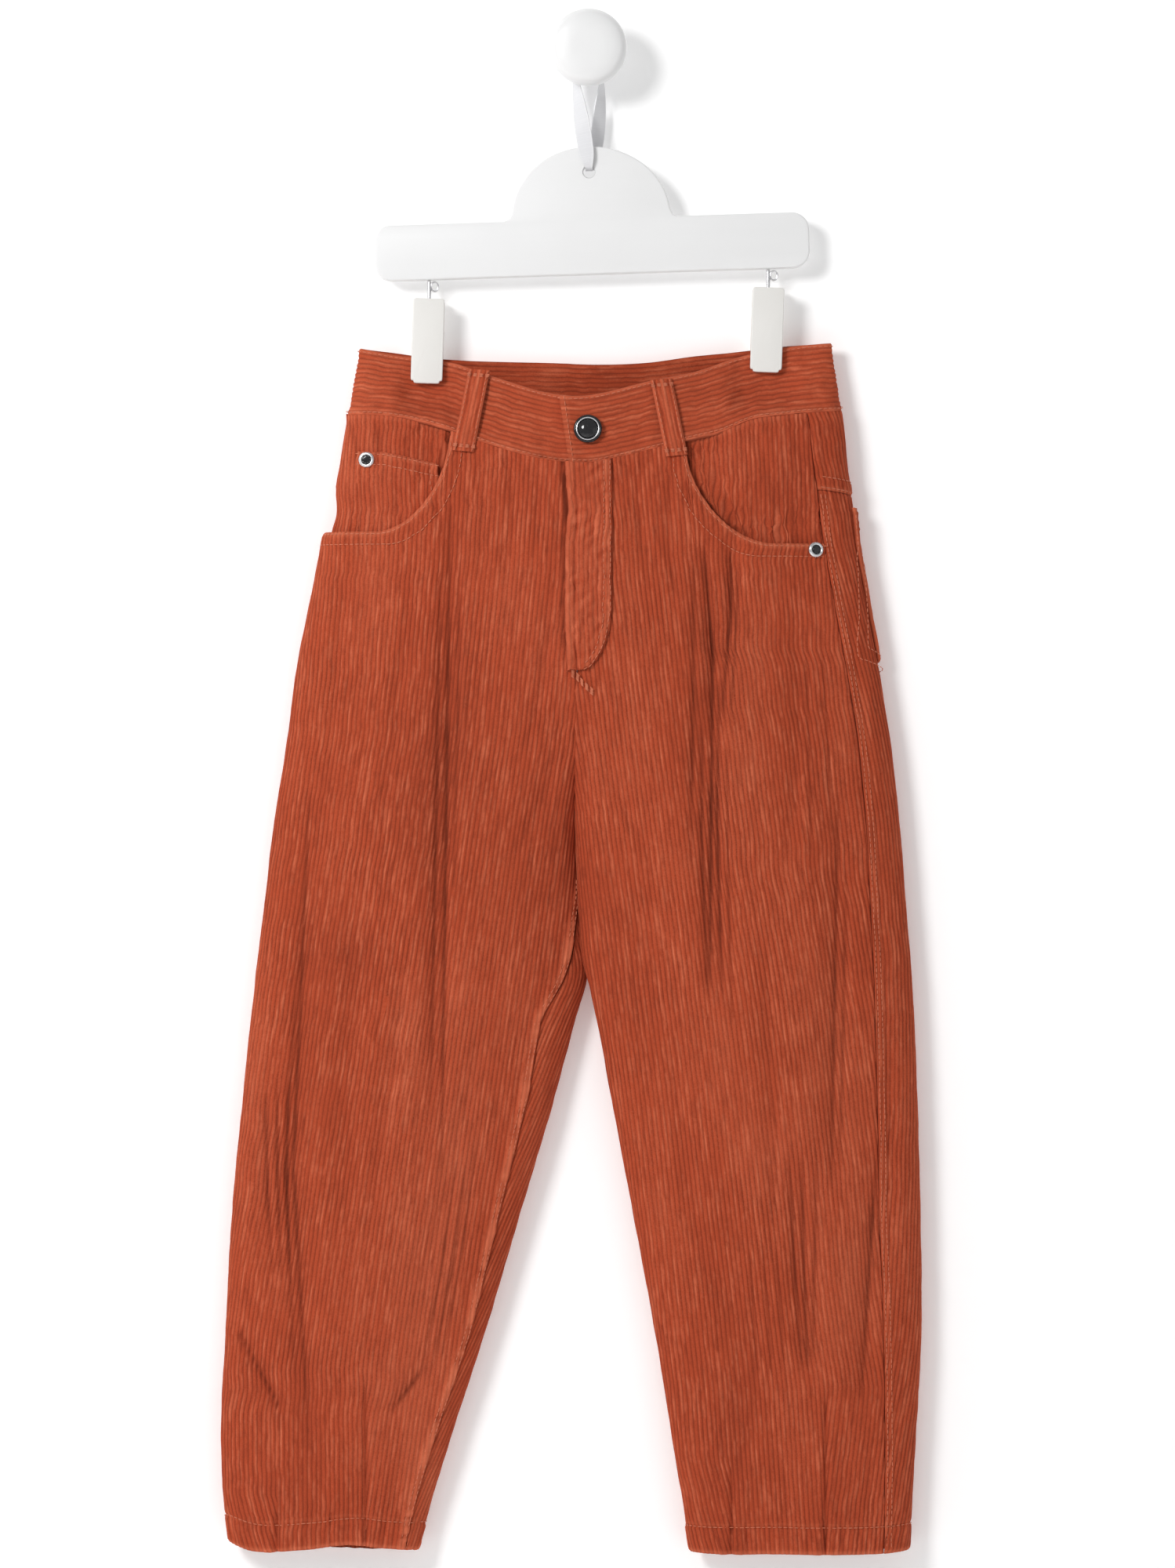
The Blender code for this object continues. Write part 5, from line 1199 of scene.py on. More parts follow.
def back_pocket(form):
    """A patch pocket with tapered sides, a pointed foot and a turned top."""
    offset = POCKET_OFFSETS[form.side]

    def first(drop):
        part = np.clip((drop - POCKET_TOP) / POCKET_HEIGHT, 0.0, 1.0)
        return form.edge(drop) + offset + POCKET_TAPER * part

    def last(drop):
        part = np.clip((drop - POCKET_TOP) / POCKET_HEIGHT, 0.0, 1.0)
        return form.edge(drop) + offset + POCKET_WIDTH - POCKET_TAPER * part

    def share(place, drop):
        return np.clip((place - first(drop)) / (last(drop) - first(drop)), 0.0, 1.0)

    def low(place):
        across = share(place, POCKET_TOP + POCKET_HEIGHT)
        point = POCKET_POINT * (1.0 - np.abs(2.0 * across - 1.0))
        return POCKET_TOP + POCKET_HEIGHT + POCKET_LOW_SLANT * across + point

    laid = Laid(
        form, lambda drop: form.edge(drop) + offset + 0.5 * POCKET_WIDTH, first, last,
        lambda place: POCKET_TOP + POCKET_SLANT * share(place, POCKET_TOP), low,
        dense=(16.0, 10.0), face="back",
    )
    below = laid.drop - laid.top
    sides = np.minimum(laid.place - first(laid.drop), last(laid.drop) - laid.place)
    rim = np.minimum(sides, laid.low - laid.drop)
    height = LAYER_GAP + OVERLAY + 0.3 + stitched_edge(rim, laid.drop, EDGE_STITCH, MOUTH_STITCH, 6.0)
    height += 0.4 * stitched_edge(below, laid.thread * laid.pitch, EDGE_STITCH, HEM_TURN, 2.0)
    wear = 0.7 * bump(below - 0.8, 1.5) + 0.6 * bump(rim - 0.8, 1.3)
    return laid.build("cloth_back_pocket_" + form.side, height, np.clip(wear, 0.0, 1.0), OVERLAY)


# ---------------------------------------------------------------- waistband, loops and fly

BAND_WALES = 14
TURN_STATIONS = 12
OVER_STATIONS = 58
BACK_STATIONS = 96
UNDER_STATIONS = 62
END_ROLL = 1.6

# name, face, top x, low x, top drop, low drop
LOOPS = (
    ("belt_loop_front_right", "front", -62.6, -71.6, 184.0, 231.4),
    ("belt_loop_front_left", "front", 41.6, 50.6, 190.0, 234.0),
    ("belt_loop_back_right", "back", -66.0, -68.0, 179.2, 223.4),
    ("belt_loop_back_centre", "back", -4.0, -4.5, 181.6, 226.0),
    ("belt_loop_back_left", "back", 74.0, 76.5, 175.4, 220.4),
)
LOOP_WIDTH = 12.4
LOOP_CLOTH = 1.4
LOOP_BOW = 1.6
LOOP_SLANT = 0.1
LOOP_WALES = 5
LOOP_ROWS = 46
FLY_ROWS = 92
FLY_ROW_GAP = 3.6


def band_point(back, x, share):
    """A point on the waistband's outer face, from its upper edge (0) to the waist seam (1)."""
    back, x, share = np.broadcast_arrays(back, np.asarray(x, float), np.asarray(share, float))
    top_end = np.where(x < 0.0, BAND_TOP[0][0], BAND_TOP[-1][0])
    low_end = np.where(x < 0.0, *BAND_LOW_ENDS)
    top_x = x * top_end / low_end
    near_edge = np.clip(np.abs(top_end - top_x) / BAND_EDGE_ROUND, 0.0, 1.0)
    faces = []
    for face in ("front", "back"):
        low_drop = waist_drop(x, face) - BAND_SEAM_GAP
        top_drop = read(BAND_TOP, TOP_COLUMNS, face + "_drop", top_x)
        top_y = read(BAND_TOP, TOP_COLUMNS, face + "_y", top_x)
        top_y = BAND_MIDDLE + (top_y - BAND_MIDDLE) * np.sqrt(1.0 - (1.0 - near_edge) ** 2)
        faces.append((low_drop, top_drop, top_y, body_y(x, low_drop, face)))
    low_drop, top_drop, top_y, low_y = (np.where(back, b, f) for f, b in zip(*faces))
    hold = sum(np.exp(-(((x - clip_x) / BAND_HOLD) ** 4)) for clip_x, _, _ in CLIPS.values())
    held = smooth((share - BAND_HOLD_END) / (1.0 - BAND_HOLD_END))
    part = share + np.minimum(BAND_HOLD_FULL * hold, 1.0) * (held - share)
    return np.stack([
        top_x + share * (x - top_x),
        top_y + part * (low_y - top_y),
        -(top_drop + share * (low_drop - top_drop)),
    ], axis=-1)


def band_stations():
    """Places round the band: over end, wearer's left, back, wearer's right, under end."""
    ends = []
    for side, x in ((LEFT, WAIST_SEAM[-1][0]), (RIGHT, WAIST_SEAM[0][0])):
        ends.append(float(read(SECTIONS, SECTION_COLUMNS, side + "_outer", waist_drop(x) - BAND_SEAM_GAP)))
    left, right = ends
    flat_left = left - BAND_TURN
    flat_right = right + BAND_TURN
    quarter = 0.5 * math.pi * np.arange(1, TURN_STATIONS + 1) / TURN_STATIONS
    away = BAND_TURN * (1.0 - np.cos(quarter))
    coming = BAND_TURN * np.sin(quarter)
    runs = (
        (False, np.linspace(OVER_END[1], flat_left, OVER_STATIONS + 1)),
        (False, flat_left + coming),
        (True, left - away),
        (True, np.linspace(flat_left, flat_right, BACK_STATIONS + 1)[1:]),
        (True, flat_right - coming),
        (False, right + away),
        (False, np.linspace(flat_right, UNDER_END, UNDER_STATIONS + 1)[1:]),
    )
    xs = np.concatenate([values for _, values in runs])
    backs = np.concatenate([np.full(len(values), back) for back, values in runs])
    return xs, backs


def band_face(shares):
    """The band's outer face, a row to each share and a column to each station."""
    xs, backs = band_stations()
    grid = band_point(backs, xs, shares[:, None])
    station = np.arange(len(xs))
    half = len(xs) // 2
    ramp_start, ramp_end = UNDER_RAMP
    under = ~backs & (station > half)
    grid[:, under, 1] += UNDER_SET_BACK * smooth((xs[under] - ramp_start) / (ramp_end - ramp_start))
    lead = np.clip(1.0 - (xs - OVER_END[1]) / (OVER_LEAD * 10.0), 0.0, 1.0) * (~backs & (station < half))
    grid[..., 0] += lead * (OVER_END[0] - OVER_END[1]) * (1.0 - shares[:, None])
    down, along = np.gradient(grid, axis=(0, 1))
    facing = np.cross(along, down) * sign(LEFT)
    return grid, facing / np.linalg.norm(facing, axis=-1, keepdims=True)


# Relief and wear of the waistband
BAND_WAVE = 0.45
BAND_LOW_EDGE = 1.3
BAND_TOP_EDGE = 0.5
BAND_UNEVEN = 0.45
# How much paler the whole band is made
BAND_PALER = 0.12
BAND_EDGE_WEAR = 0.6
BAND_TOP_WEAR = 0.5


def waistband():
    """The band round the waist, its wales along it, with both edges and its lapped end stitched."""
    count = BAND_WALES * QUARTERS + 1
    shares = np.linspace(0.0, 1.0, count)
    grid, facing = band_face(shares)
    steps = np.linalg.norm(np.diff(grid[count // 2], axis=0), axis=-1)
    along = np.concatenate([[0.0], np.cumsum(steps)])
    thread = np.broadcast_to(shares[:, None] * BAND_WALES, grid.shape[:2])
    wale = wales(thread, along)
    waving = wander(along + 14.0 * shares[:, None], 17.0, 3.0) + 0.5 * wander(along, 7.0, 6.0)
    grid[..., 2] += BAND_WAVE * np.sin(math.pi * shares[:, None]) * waving
    height = np.linalg.norm(grid[0] - grid[-1], axis=-1)
    top = shares[:, None] * height
    low = (1.0 - shares[:, None]) * height
    second = EDGE_STITCH + 2.0
    relief = stitched_edge(low, along, EDGE_STITCH, second, 2.0) * BAND_LOW_EDGE
    relief = relief + BAND_TOP_EDGE * stitched_edge(top, along, EDGE_STITCH, second, 5.0)
    relief += 0.5 * bump(low, 9.0) * wander(along, 11.0, 3.0) + 0.3 * wander(along, 23.0, 1.0)
    relief += 0.7 * bump(along - END_ROLL, 1.2) - 0.3
    relief += BAND_UNEVEN * wander(along + 0.5 * top, 12.0, 7.0) * wander(top - 0.3 * along, 16.0, 8.0)
    wear = BAND_PALER + BAND_EDGE_WEAR * bump(low - 1.0, 1.6) + BAND_TOP_WEAR * bump(top - 0.8, 1.4)
    wear = wear + BAND_EDGE_WEAR * bump(along - END_ROLL, 1.5)
    outer = grid + facing * (wale + relief)[..., None]
    inner = (grid - facing * BAND_CLOTH)[::QUARTERS]
    turned_over = [np.swapaxes(part, 0, 1) for part in (outer, inner)]
    lengths = np.broadcast_to(along / wale_pitch(), thread.shape)
    run = np.broadcast_to(np.arange(count), (grid.shape[1], count))
    flat = [np.ascontiguousarray(np.broadcast_to(part, thread.shape).T) for part in (
        thread, lengths, np.clip(wear, 0.0, 1.0),
    )]
    obj = wall("cloth_waistband", *turned_over, run, *flat)
    obj["cut"] = (float(along[-1]) * MM, float(height.max()) * MM, smooth_area(grid))
    return obj


def cloth_y(x, drop, back=False):
    """The outermost cloth at each place, on the band or below it."""
    x, drop = np.broadcast_arrays(np.asarray(x, float), np.asarray(drop, float))
    face = "back" if back else "front"
    seam = waist_drop(x, face) - BAND_SEAM_GAP
    top = -band_point(back, x, 0.0)[..., 2]
    share = np.clip((drop - top) / (seam - top), 0.0, 1.0)
    return np.where(drop >= seam, body_y(x, drop, face), band_point(back, x, share)[..., 1])


def cloth_facing(x, drop, back=False):
    step = 1.5
    slope_x = (cloth_y(x + step, drop, back) - cloth_y(x - step, drop, back)) / (2.0 * step)
    slope_z = -(cloth_y(x, drop + step, back) - cloth_y(x, drop - step, back)) / (2.0 * step)
    out = np.stack([slope_x, np.full(np.shape(slope_x), -1.0), slope_z], axis=-1)
    out = out * (-1.0 if back else 1.0)
    return out / np.linalg.norm(out, axis=-1, keepdims=True)


def loop_places(loop, part, across):
    """x and drop on a belt loop, by shares of its length and of its width."""
    _, _, top_x, low_x, top_drop, low_drop = loop
    x = top_x + part * (low_x - top_x) + across * LOOP_WIDTH
    slant = LOOP_SLANT * across * LOOP_WIDTH * (1.0 if top_x > low_x else -1.0)
    return x, top_drop + part * (low_drop - top_drop) + slant


def loop_point(loop, part, across, lift):
    x, drop = loop_places(loop, part, across)
    out = -1.0 if loop[1] == "front" else 1.0
    bow = LAYER_GAP + LOOP_CLOTH + LOOP_BOW * np.sin(math.pi * part) + lift
    return np.stack([x, cloth_y(x, drop, loop[1] == "back") + out * bow, -drop], axis=-1)


def belt_loop(loop):
    """A belt loop, bowed off the waistband, with a raised middle and tacked ends."""
    count = LOOP_WALES * QUARTERS + 1
    shares = (np.linspace(0.0, 1.0, LOOP_ROWS), np.linspace(-0.5, 0.5, count))
    part, across = np.meshgrid(*shares, indexing="ij")
    thread = (across + 0.5) * LOOP_WALES
    length = loop[5] - loop[4]
    wale = wales(thread, part * length)
    end = np.minimum(part, 1.0 - part) * length
    side = (0.5 - np.abs(across)) * LOOP_WIDTH
    lift = wale + 0.7 * bump(across, 0.16) - 0.7 * bump(side, 0.9) - 0.8 * bump(end - 3.0, 1.6)
    lift += 0.25 * wander(part * length, 5.2, loop[2]) * bump(side - 2.0, 1.6)
    outer = loop_point(loop, part, across, lift)
    inner = loop_point(loop, part[:, ::QUARTERS], across[:, ::QUARTERS], -LOOP_CLOTH)
    run = np.broadcast_to(np.arange(count), part.shape)
    wear = 0.7 * bump(side - 0.5, 1.0) + 0.4 * bump(across, 0.14)
    lengths = part * length / wale_pitch()
    obj = wall("cloth_" + loop[0], outer, inner, run, thread, lengths, np.clip(wear, 0.0, 1.0))
    obj["cut"] = (LOOP_WIDTH * MM, length * MM, LOOP_WIDTH * length * MM * MM)
    return obj


def fly_right(drop):
    """The fly's curved edge: straight, then in to the foot."""
    past = np.clip((drop - FLY_STRAIGHT_DROP) / (FLY_END_DROP - FLY_STRAIGHT_DROP), 0.0, 1.0)
    bend = 1.0 - np.sqrt(np.clip(1.0 - past * past, 0.0, 1.0))
    return FLY_STITCH_X + (FLY_FOOT_X - FLY_STITCH_X) * bend


def fly_edge(drop):
    """The fly's free edge, which sways in and out a little."""
    sway = np.interp(drop, (238.0, 266.0, 284.0, 326.0, 357.0), (0.0, 1.8, 0.0, 0.0, 1.3))
    return FLY_EDGE_X + sway


# Relief and wear of the fly's layer, and painted shade along its stitched curve
FLY_LIFT = LAYER_GAP + OVERLAY + 0.25
FLY_PUCKER = 0.95
FLY_WEAR = 0.15
FLY_EDGE_WEAR = 0.5
FLY_SEAM_WEAR = 0.35
FLY_PATCH_WEAR = 0.6
FLY_SEAM_SHADE = 0.6


def fly():
    """The fly's layer: a ragged free edge, puckers between its seams and a double-stitched curve."""
    pitch = wale_pitch()
    width = FLY_STITCH_X - FLY_EDGE_X
    wide = math.ceil(width / pitch) * QUARTERS + 1
    offsets = np.arange(wide) * pitch / QUARTERS
    part = np.linspace(0.0, 1.0, FLY_ROWS)[:, None]
    low = waist_drop(np.minimum(FLY_EDGE_X + offsets, FLY_STITCH_X)) - BAND_TUCK
    drop = low + part * (FLY_END_DROP - low)
    x = np.minimum(fly_edge(drop) + offsets, fly_right(drop))
    thread = np.broadcast_to(offsets / pitch, x.shape)
    wale = wales(thread, drop)
    edge = x - fly_edge(drop)
    seam = fly_right(drop) - x
    tucks = smooth(edge / 4.0) * smooth(seam / 3.0)
    ragged = 0.75 + 0.35 * wander(drop, 15.0, 5.0)
    relief = ragged * bump(edge - 2.4, 2.2) - 0.5 * bump(edge - 5.8, 1.2)
    relief += 0.4 * ragged * bump(edge - 9.0, 2.4)
    relief += FLY_PUCKER * tucks * wander(drop + 0.8 * x, 12.0, 2.0) * wander(drop - 0.9 * x, 10.0, 4.0)
    relief += stitched_edge(seam, drop, EDGE_STITCH, EDGE_STITCH + FLY_ROW_GAP, 7.0)
    relief -= EDGE_SOFT * bump(seam, 1.0)
    points = np.stack([x, cloth_y(x, drop), -drop], axis=-1)
    facing = cloth_facing(x, drop)
    outer = points + facing * (FLY_LIFT + wale + relief)[..., None]
    inner = (points + facing * (FLY_LIFT - OVERLAY))[:, ::QUARTERS]
    run = together(x, pitch / QUARTERS)
    wear = FLY_WEAR + FLY_EDGE_WEAR * ragged * bump(edge - 1.6, 1.8)
    wear += FLY_SEAM_WEAR * bump(seam - 3.0, 1.4)
    patches = wander(0.5 * drop + 1.3 * x, 8.0, 6.0) * wander(drop - 1.2 * x, 17.0, 2.0)
    wear += FLY_PATCH_WEAR * tucks * patches
    # Painted shade in the groove along the stitched curve.
    wear -= FLY_SEAM_SHADE * bump(seam - 0.4, 0.9) * (0.7 + 0.4 * wander(drop, 7.0, 3.0))
    obj = wall("cloth_fly", outer, inner, run, thread, drop / pitch, wear)
    obj["cut"] = (width * MM, (FLY_END_DROP - low.min()) * MM, smooth_area(points))
    return obj


# ---------------------------------------------------------------- stitch rows

# Rows beside a turned edge and on a felled seam, by their distance from it
EDGE_ROWS = (EDGE_STITCH, MOUTH_STITCH)
FELL_STITCHES = (1.2, FELL_WIDTH - 1.2)
ROW_STEP = 2.0
LEG_ROWS_END = HEM_LEVEL + 3.0
HEM_ROW_POINTS = 130
YOKE_ROW_POINTS = 110
COIN_SIDE_END = 272.0
# How far each row stands off the form
MOUTH_ROW_LIFT = 0.62
INSEAM_ROW_LIFT = 1.0
BACK_ROW_LIFT = 0.85
HEM_ROW_LIFT = 0.4
YOKE_ROW_LIFT = 0.75
POCKET_ROW_LIFT = 2.4
POCKET_TOP_LIFT = 2.3
COIN_TOP_LIFT = LAYER_GAP + OVERLAY + 0.6
COIN_SIDE_LIFT = LAYER_GAP + OVERLAY + 0.35
FLY_ROW_LIFT = LAYER_GAP + OVERLAY + 0.95
# The bar tack at the fly's foot: x ends, drop, slant, length and the threads' spacing
TACK_ENDS = (-8.6, 1.8)
TACK_DROP = 357.0
TACK_SLANT = 0.95
TACK_LENGTH = 4.0
TACK_STEP = 0.5
TACK_LIFT = 1.7
# The waistband's rows: share of its height from the top, lift
BAND_ROWS = ((0.045, 0.45), (0.952, 0.95))
BAND_SLOPE_STEP = 0.02
BAND_END_LIFT = 0.95
# The belt loops' side rows, by share of the width, and the bar tacks at their ends
LOOP_ROW_PLACES = (-0.39, 0.39)
LOOP_ROW_LIFT = 0.35
LOOP_TACKS = (2.4, 2.9, 3.4, 3.9)
LOOP_TACK_HALF = 0.42
LOOP_TACK_LIFT = 0.15


def on_form(form, place, drop, lift):
    return form.at(place, drop) + form.facing(place, drop) * lift


def down_rows(top, low):
    return np.linspace(top, low, int((low - top) / ROW_STEP))


def felled_rows(form, edge, way, top, low, lift):
    """The two rows on a felled seam, from an edge of the panel inwards."""
    drop = down_rows(top, low)
    return [on_form(form, edge(form, drop) + way * distance, drop, lift) for distance in FELL_STITCHES]


def hem_row(form, first, last):
    place = np.linspace(first(form, HEM_LEVEL), last(form, HEM_LEVEL), HEM_ROW_POINTS)
    return on_form(form, place, hem_drop(form, place) - HEM_TURN, HEM_ROW_LIFT)


def panel_stitches(form):
    """Rows on the front panel: the pocket mouth, the felled inseam and the hem."""
    rows = [on_form(form, *scoop(form, distance), MOUTH_ROW_LIFT) for distance in EDGE_ROWS]
    rows += felled_rows(form, front_first, 1.0, CROTCH + 4.0, LEG_ROWS_END, INSEAM_ROW_LIFT)
    return rows + [hem_row(form, front_first, front_last)]


def back_stitches(form):
    """Rows on the back panel: the side seam, the centre seam and the hem."""
    rows = felled_rows(form, back_first, 1.0, YOKE_SIDE_DROP + 4.0, LEG_ROWS_END, BACK_ROW_LIFT)
    rows += felled_rows(form, back_last, -1.0, YOKE_CENTRE_DROP + 2.0, CROTCH - 14.0, BACK_ROW_LIFT)
    return rows + [hem_row(form, back_first, back_last)]


def yoke_stitches(form):
    first, last = back_first(form, YOKE_CENTRE_DROP), back_last(form, YOKE_CENTRE_DROP)
    place = np.linspace(first, last, YOKE_ROW_POINTS)
    drop = yoke_drop(form, place)
    return [on_form(form, place, drop - distance, YOKE_ROW_LIFT) for distance in EDGE_ROWS]


def back_pocket_stitches(form):
    """Rows inside the pocket's sides and foot, and across its turned top."""
    start = form.edge(POCKET_TOP) + POCKET_OFFSETS[form.side]
    rows = []
    for distance in EDGE_ROWS:
        share = np.array((0.0, 0.0, 0.5, 1.0, 1.0))
        width = POCKET_WIDTH - 2.0 * distance
        place = start + distance + share * width
        foot = POCKET_TOP + POCKET_HEIGHT - distance
        drop = np.array((
            POCKET_TOP + 2.0, foot, foot + POCKET_LOW_SLANT / 2 + POCKET_POINT, foot + POCKET_LOW_SLANT,
            POCKET_TOP + POCKET_SLANT + 2.0,
        ))
        taper = POCKET_TAPER * (drop - POCKET_TOP) / POCKET_HEIGHT * (1.0 - 2.0 * share)
        rows.append(on_form(form, *fine(place + taper, drop), POCKET_ROW_LIFT))
    share = np.linspace(0.03, 0.97, 60)
    drop = POCKET_TOP + POCKET_SLANT * share + HEM_TURN
    rows.append(on_form(form, start + share * POCKET_WIDTH, drop, POCKET_TOP_LIFT))
    return rows


def fine(place, drop):
    """A path's points, shared out again a few millimetres apart."""
    length = np.concatenate([[0.0], np.cumsum(np.hypot(np.diff(place), np.diff(drop)))])
    at = np.arange(0.0, length[-1], ROW_STEP)
    return np.interp(at, length, place), np.interp(at, length, drop)


def coin_pocket_stitches(form):
    path = scoop(form)
    first, last = coin_sides(form)
    place = np.linspace(first + 1.0, last - 1.0, 40)
    drop = np.linspace(float(coin_top(form, first + 5.0)) + 2.0, COIN_SIDE_END, 24)
    paths = [(place, coin_top(form, place) + distance, COIN_TOP_LIFT) for distance in EDGE_ROWS]
    paths.append((np.full(len(drop), first + 4.6), drop, COIN_SIDE_LIFT))
    rows = []
    for place, drop, over in paths:
        lift = facing_lift(form, place, drop, path) + over
        rows.append(on_form(form, place, drop, lift[:, None]))
    return rows


def on_front(x, drop, lift):
    return np.stack([x, cloth_y(x, drop), -drop], axis=-1) + cloth_facing(x, drop) * lift


def fly_stitches():
    """Two rows down the fly's curved edge, and the bar tack at its foot."""
    rows = []
    for distance in (EDGE_STITCH, EDGE_STITCH + FLY_ROW_GAP):
        drop = np.linspace(238.0, FLY_END_DROP - distance, 70)
        rows.append(on_front(fly_right(drop) - distance, drop, FLY_ROW_LIFT))
    for step in np.arange(0.0, TACK_LENGTH, TACK_STEP):
        x = np.linspace(*TACK_ENDS, 10)
        rows.append(on_front(x, TACK_DROP + step + TACK_SLANT * (x - TACK_ENDS[0]), TACK_LIFT))
    return rows


def band_stitches():
    """A row along each edge of the waistband and one up its end."""
    rows = []
    for share, lift in BAND_ROWS:
        grid, facing = band_face(share + BAND_SLOPE_STEP * np.array((-1.0, 0.0, 1.0)))
        rows.append(grid[1] + facing[1] * lift)
    grid, facing = band_face(np.linspace(0.04, 0.96, 30))
    return rows + [grid[:, 1] + facing[:, 1] * BAND_END_LIFT]


def loop_stitches(loop):
    """A row down each side of a belt loop, and the bar tacks at its ends."""
    part = np.linspace(0.03, 0.97, 24)
    rows = [loop_point(loop, part, np.full(24, across), LOOP_ROW_LIFT) for across in LOOP_ROW_PLACES]
    length = loop[5] - loop[4]
    across = np.linspace(-LOOP_TACK_HALF, LOOP_TACK_HALF, 8)
    for end in LOOP_TACKS + tuple(length - tack for tack in reversed(LOOP_TACKS)):
        rows.append(loop_point(loop, np.full(8, end / length), across, LOOP_TACK_LIFT))
    return rows


# ---------------------------------------------------------------- node trees

class Value:
    """A node's output, which Python's own sums can use."""

    def __init__(self, tree, socket):
        self.tree = tree
        self.socket = socket

    def math(self, operation, first, second=0.0):
        return self.tree.add("ShaderNodeMath", {"operation": operation}, {0: first, 1: second})[0]

    def __add__(self, other):
        return self.math("ADD", self, other)

    def __sub__(self, other):
        return self.math("SUBTRACT", self, other)

    def __rsub__(self, other):
        return self.math("SUBTRACT", other, self)

    def __mul__(self, other):
        return self.math("MULTIPLY", self, other)

    __radd__ = __add__
    __rmul__ = __mul__

    def over(self, low, high):
        """0 below low, 1 above high."""
        return self.tree.add("ShaderNodeMapRange", {}, {"Value": self, "From Min": low, "From Max": high})[0]


class Tree:
    """A node tree that is written as expressions."""

    def __init__(self, tree):
        self.tree = tree

    def add(self, kind, settings, inputs):
        """A node of one kind, with its settings, then its sockets' values or links."""
        node = self.tree.nodes.new(kind)
        for name, value in settings.items():
            if name == "stops":
                for stop, (place, colour) in zip(node.color_ramp.elements, value):
                    stop.position = place
                    stop.color = colour
            else:
                setattr(node, name, value)
        for name, value in inputs.items():
            if isinstance(value, Value):
                self.tree.links.new(value.socket, node.inputs[name])
            else:
                node.inputs[name].default_value = value
        return [Value(self, socket) for socket in node.outputs]

    def blend(self, share, first, second):
        """A colour between two others."""
        settings = {"data_type": "RGBA"}
        return self.add("ShaderNodeMix", settings, {0: share, 6: first, 7: second})[2]

    def noise(self, vector, scale, detail=2.0, roughness=0.5):
        inputs = {"Vector": vector, "Scale": scale, "Detail": detail, "Roughness": roughness}
        return self.add("ShaderNodeTexNoise", {}, inputs)[0]

    def stretched(self, vector, scale):
        return self.add("ShaderNodeMapping", {}, {"Vector": vector, "Scale": scale})[0]

    def dent(self, height, strength, distance):
        inputs = {"Height": height, "Strength": strength, "Distance": distance}
        return self.add("ShaderNodeBump", {}, inputs)[0]

    def place(self):
        return self.add("ShaderNodeTexCoord", {}, {})[3]

    def along_cloth(self):
        return self.add("ShaderNodeUVMap", {"uv_map": "cloth"}, {})[0]

    def carried(self, name):
        return self.add("ShaderNodeAttribute", {"attribute_name": name}, {})[2]


def finish(name, surface, constants):
    """A material whose shader takes the constants and what the surface function gives it."""
    material = bpy.data.materials.new(name)
    material.use_nodes = True
    nodes = material.node_tree.nodes
    tree = Tree(material.node_tree)
    shader = nodes["Principled BSDF"]
    for socket, value in constants.items():
        shader.inputs[socket].default_value = value
    for socket, value in surface(tree).items():
        material.node_tree.links.new(value.socket, shader.inputs[socket])
    return material


# How much darker than the ground a sharp fold is painted, as painted shade, and how much lighter than the
# brushed pile its pale tips are: worn edges, and streaks of painted sheen
FOLD_DARKER = 0.45
PALE_AND_SHEEN_LIGHTER = 1.15


def shade(colour, gain=1.0):
    return tuple(min(part * gain, 1.0) for part in colour[:3]) + (1.0,)


# Scales of the pile's patches and fluff, and of the streaks that run along half wales
WORN_SCALE = 34.0
BROAD_SCALE = (15.0, 15.0, 5.0)
FLUFF_SCALE = 1500.0
STREAK_ACROSS = 3.7
STREAK_ALONG = 0.11
STREAK_DRIFT = 0.05
STREAK_LIMITS = (0.50, 0.76)
DARK_STREAK_SCALE = 1.7
NAP_SCALE = (9.0, 1.6, 1.0)
# How much each of them shows
WORN_SHARE = 0.3
LIGHT_SHARE = 0.42
DARK_SHARE = 0.55
STREAK_SHARE = 0.65
FOLD_SHARE = -0.8
WEAR_SHARE = 0.5


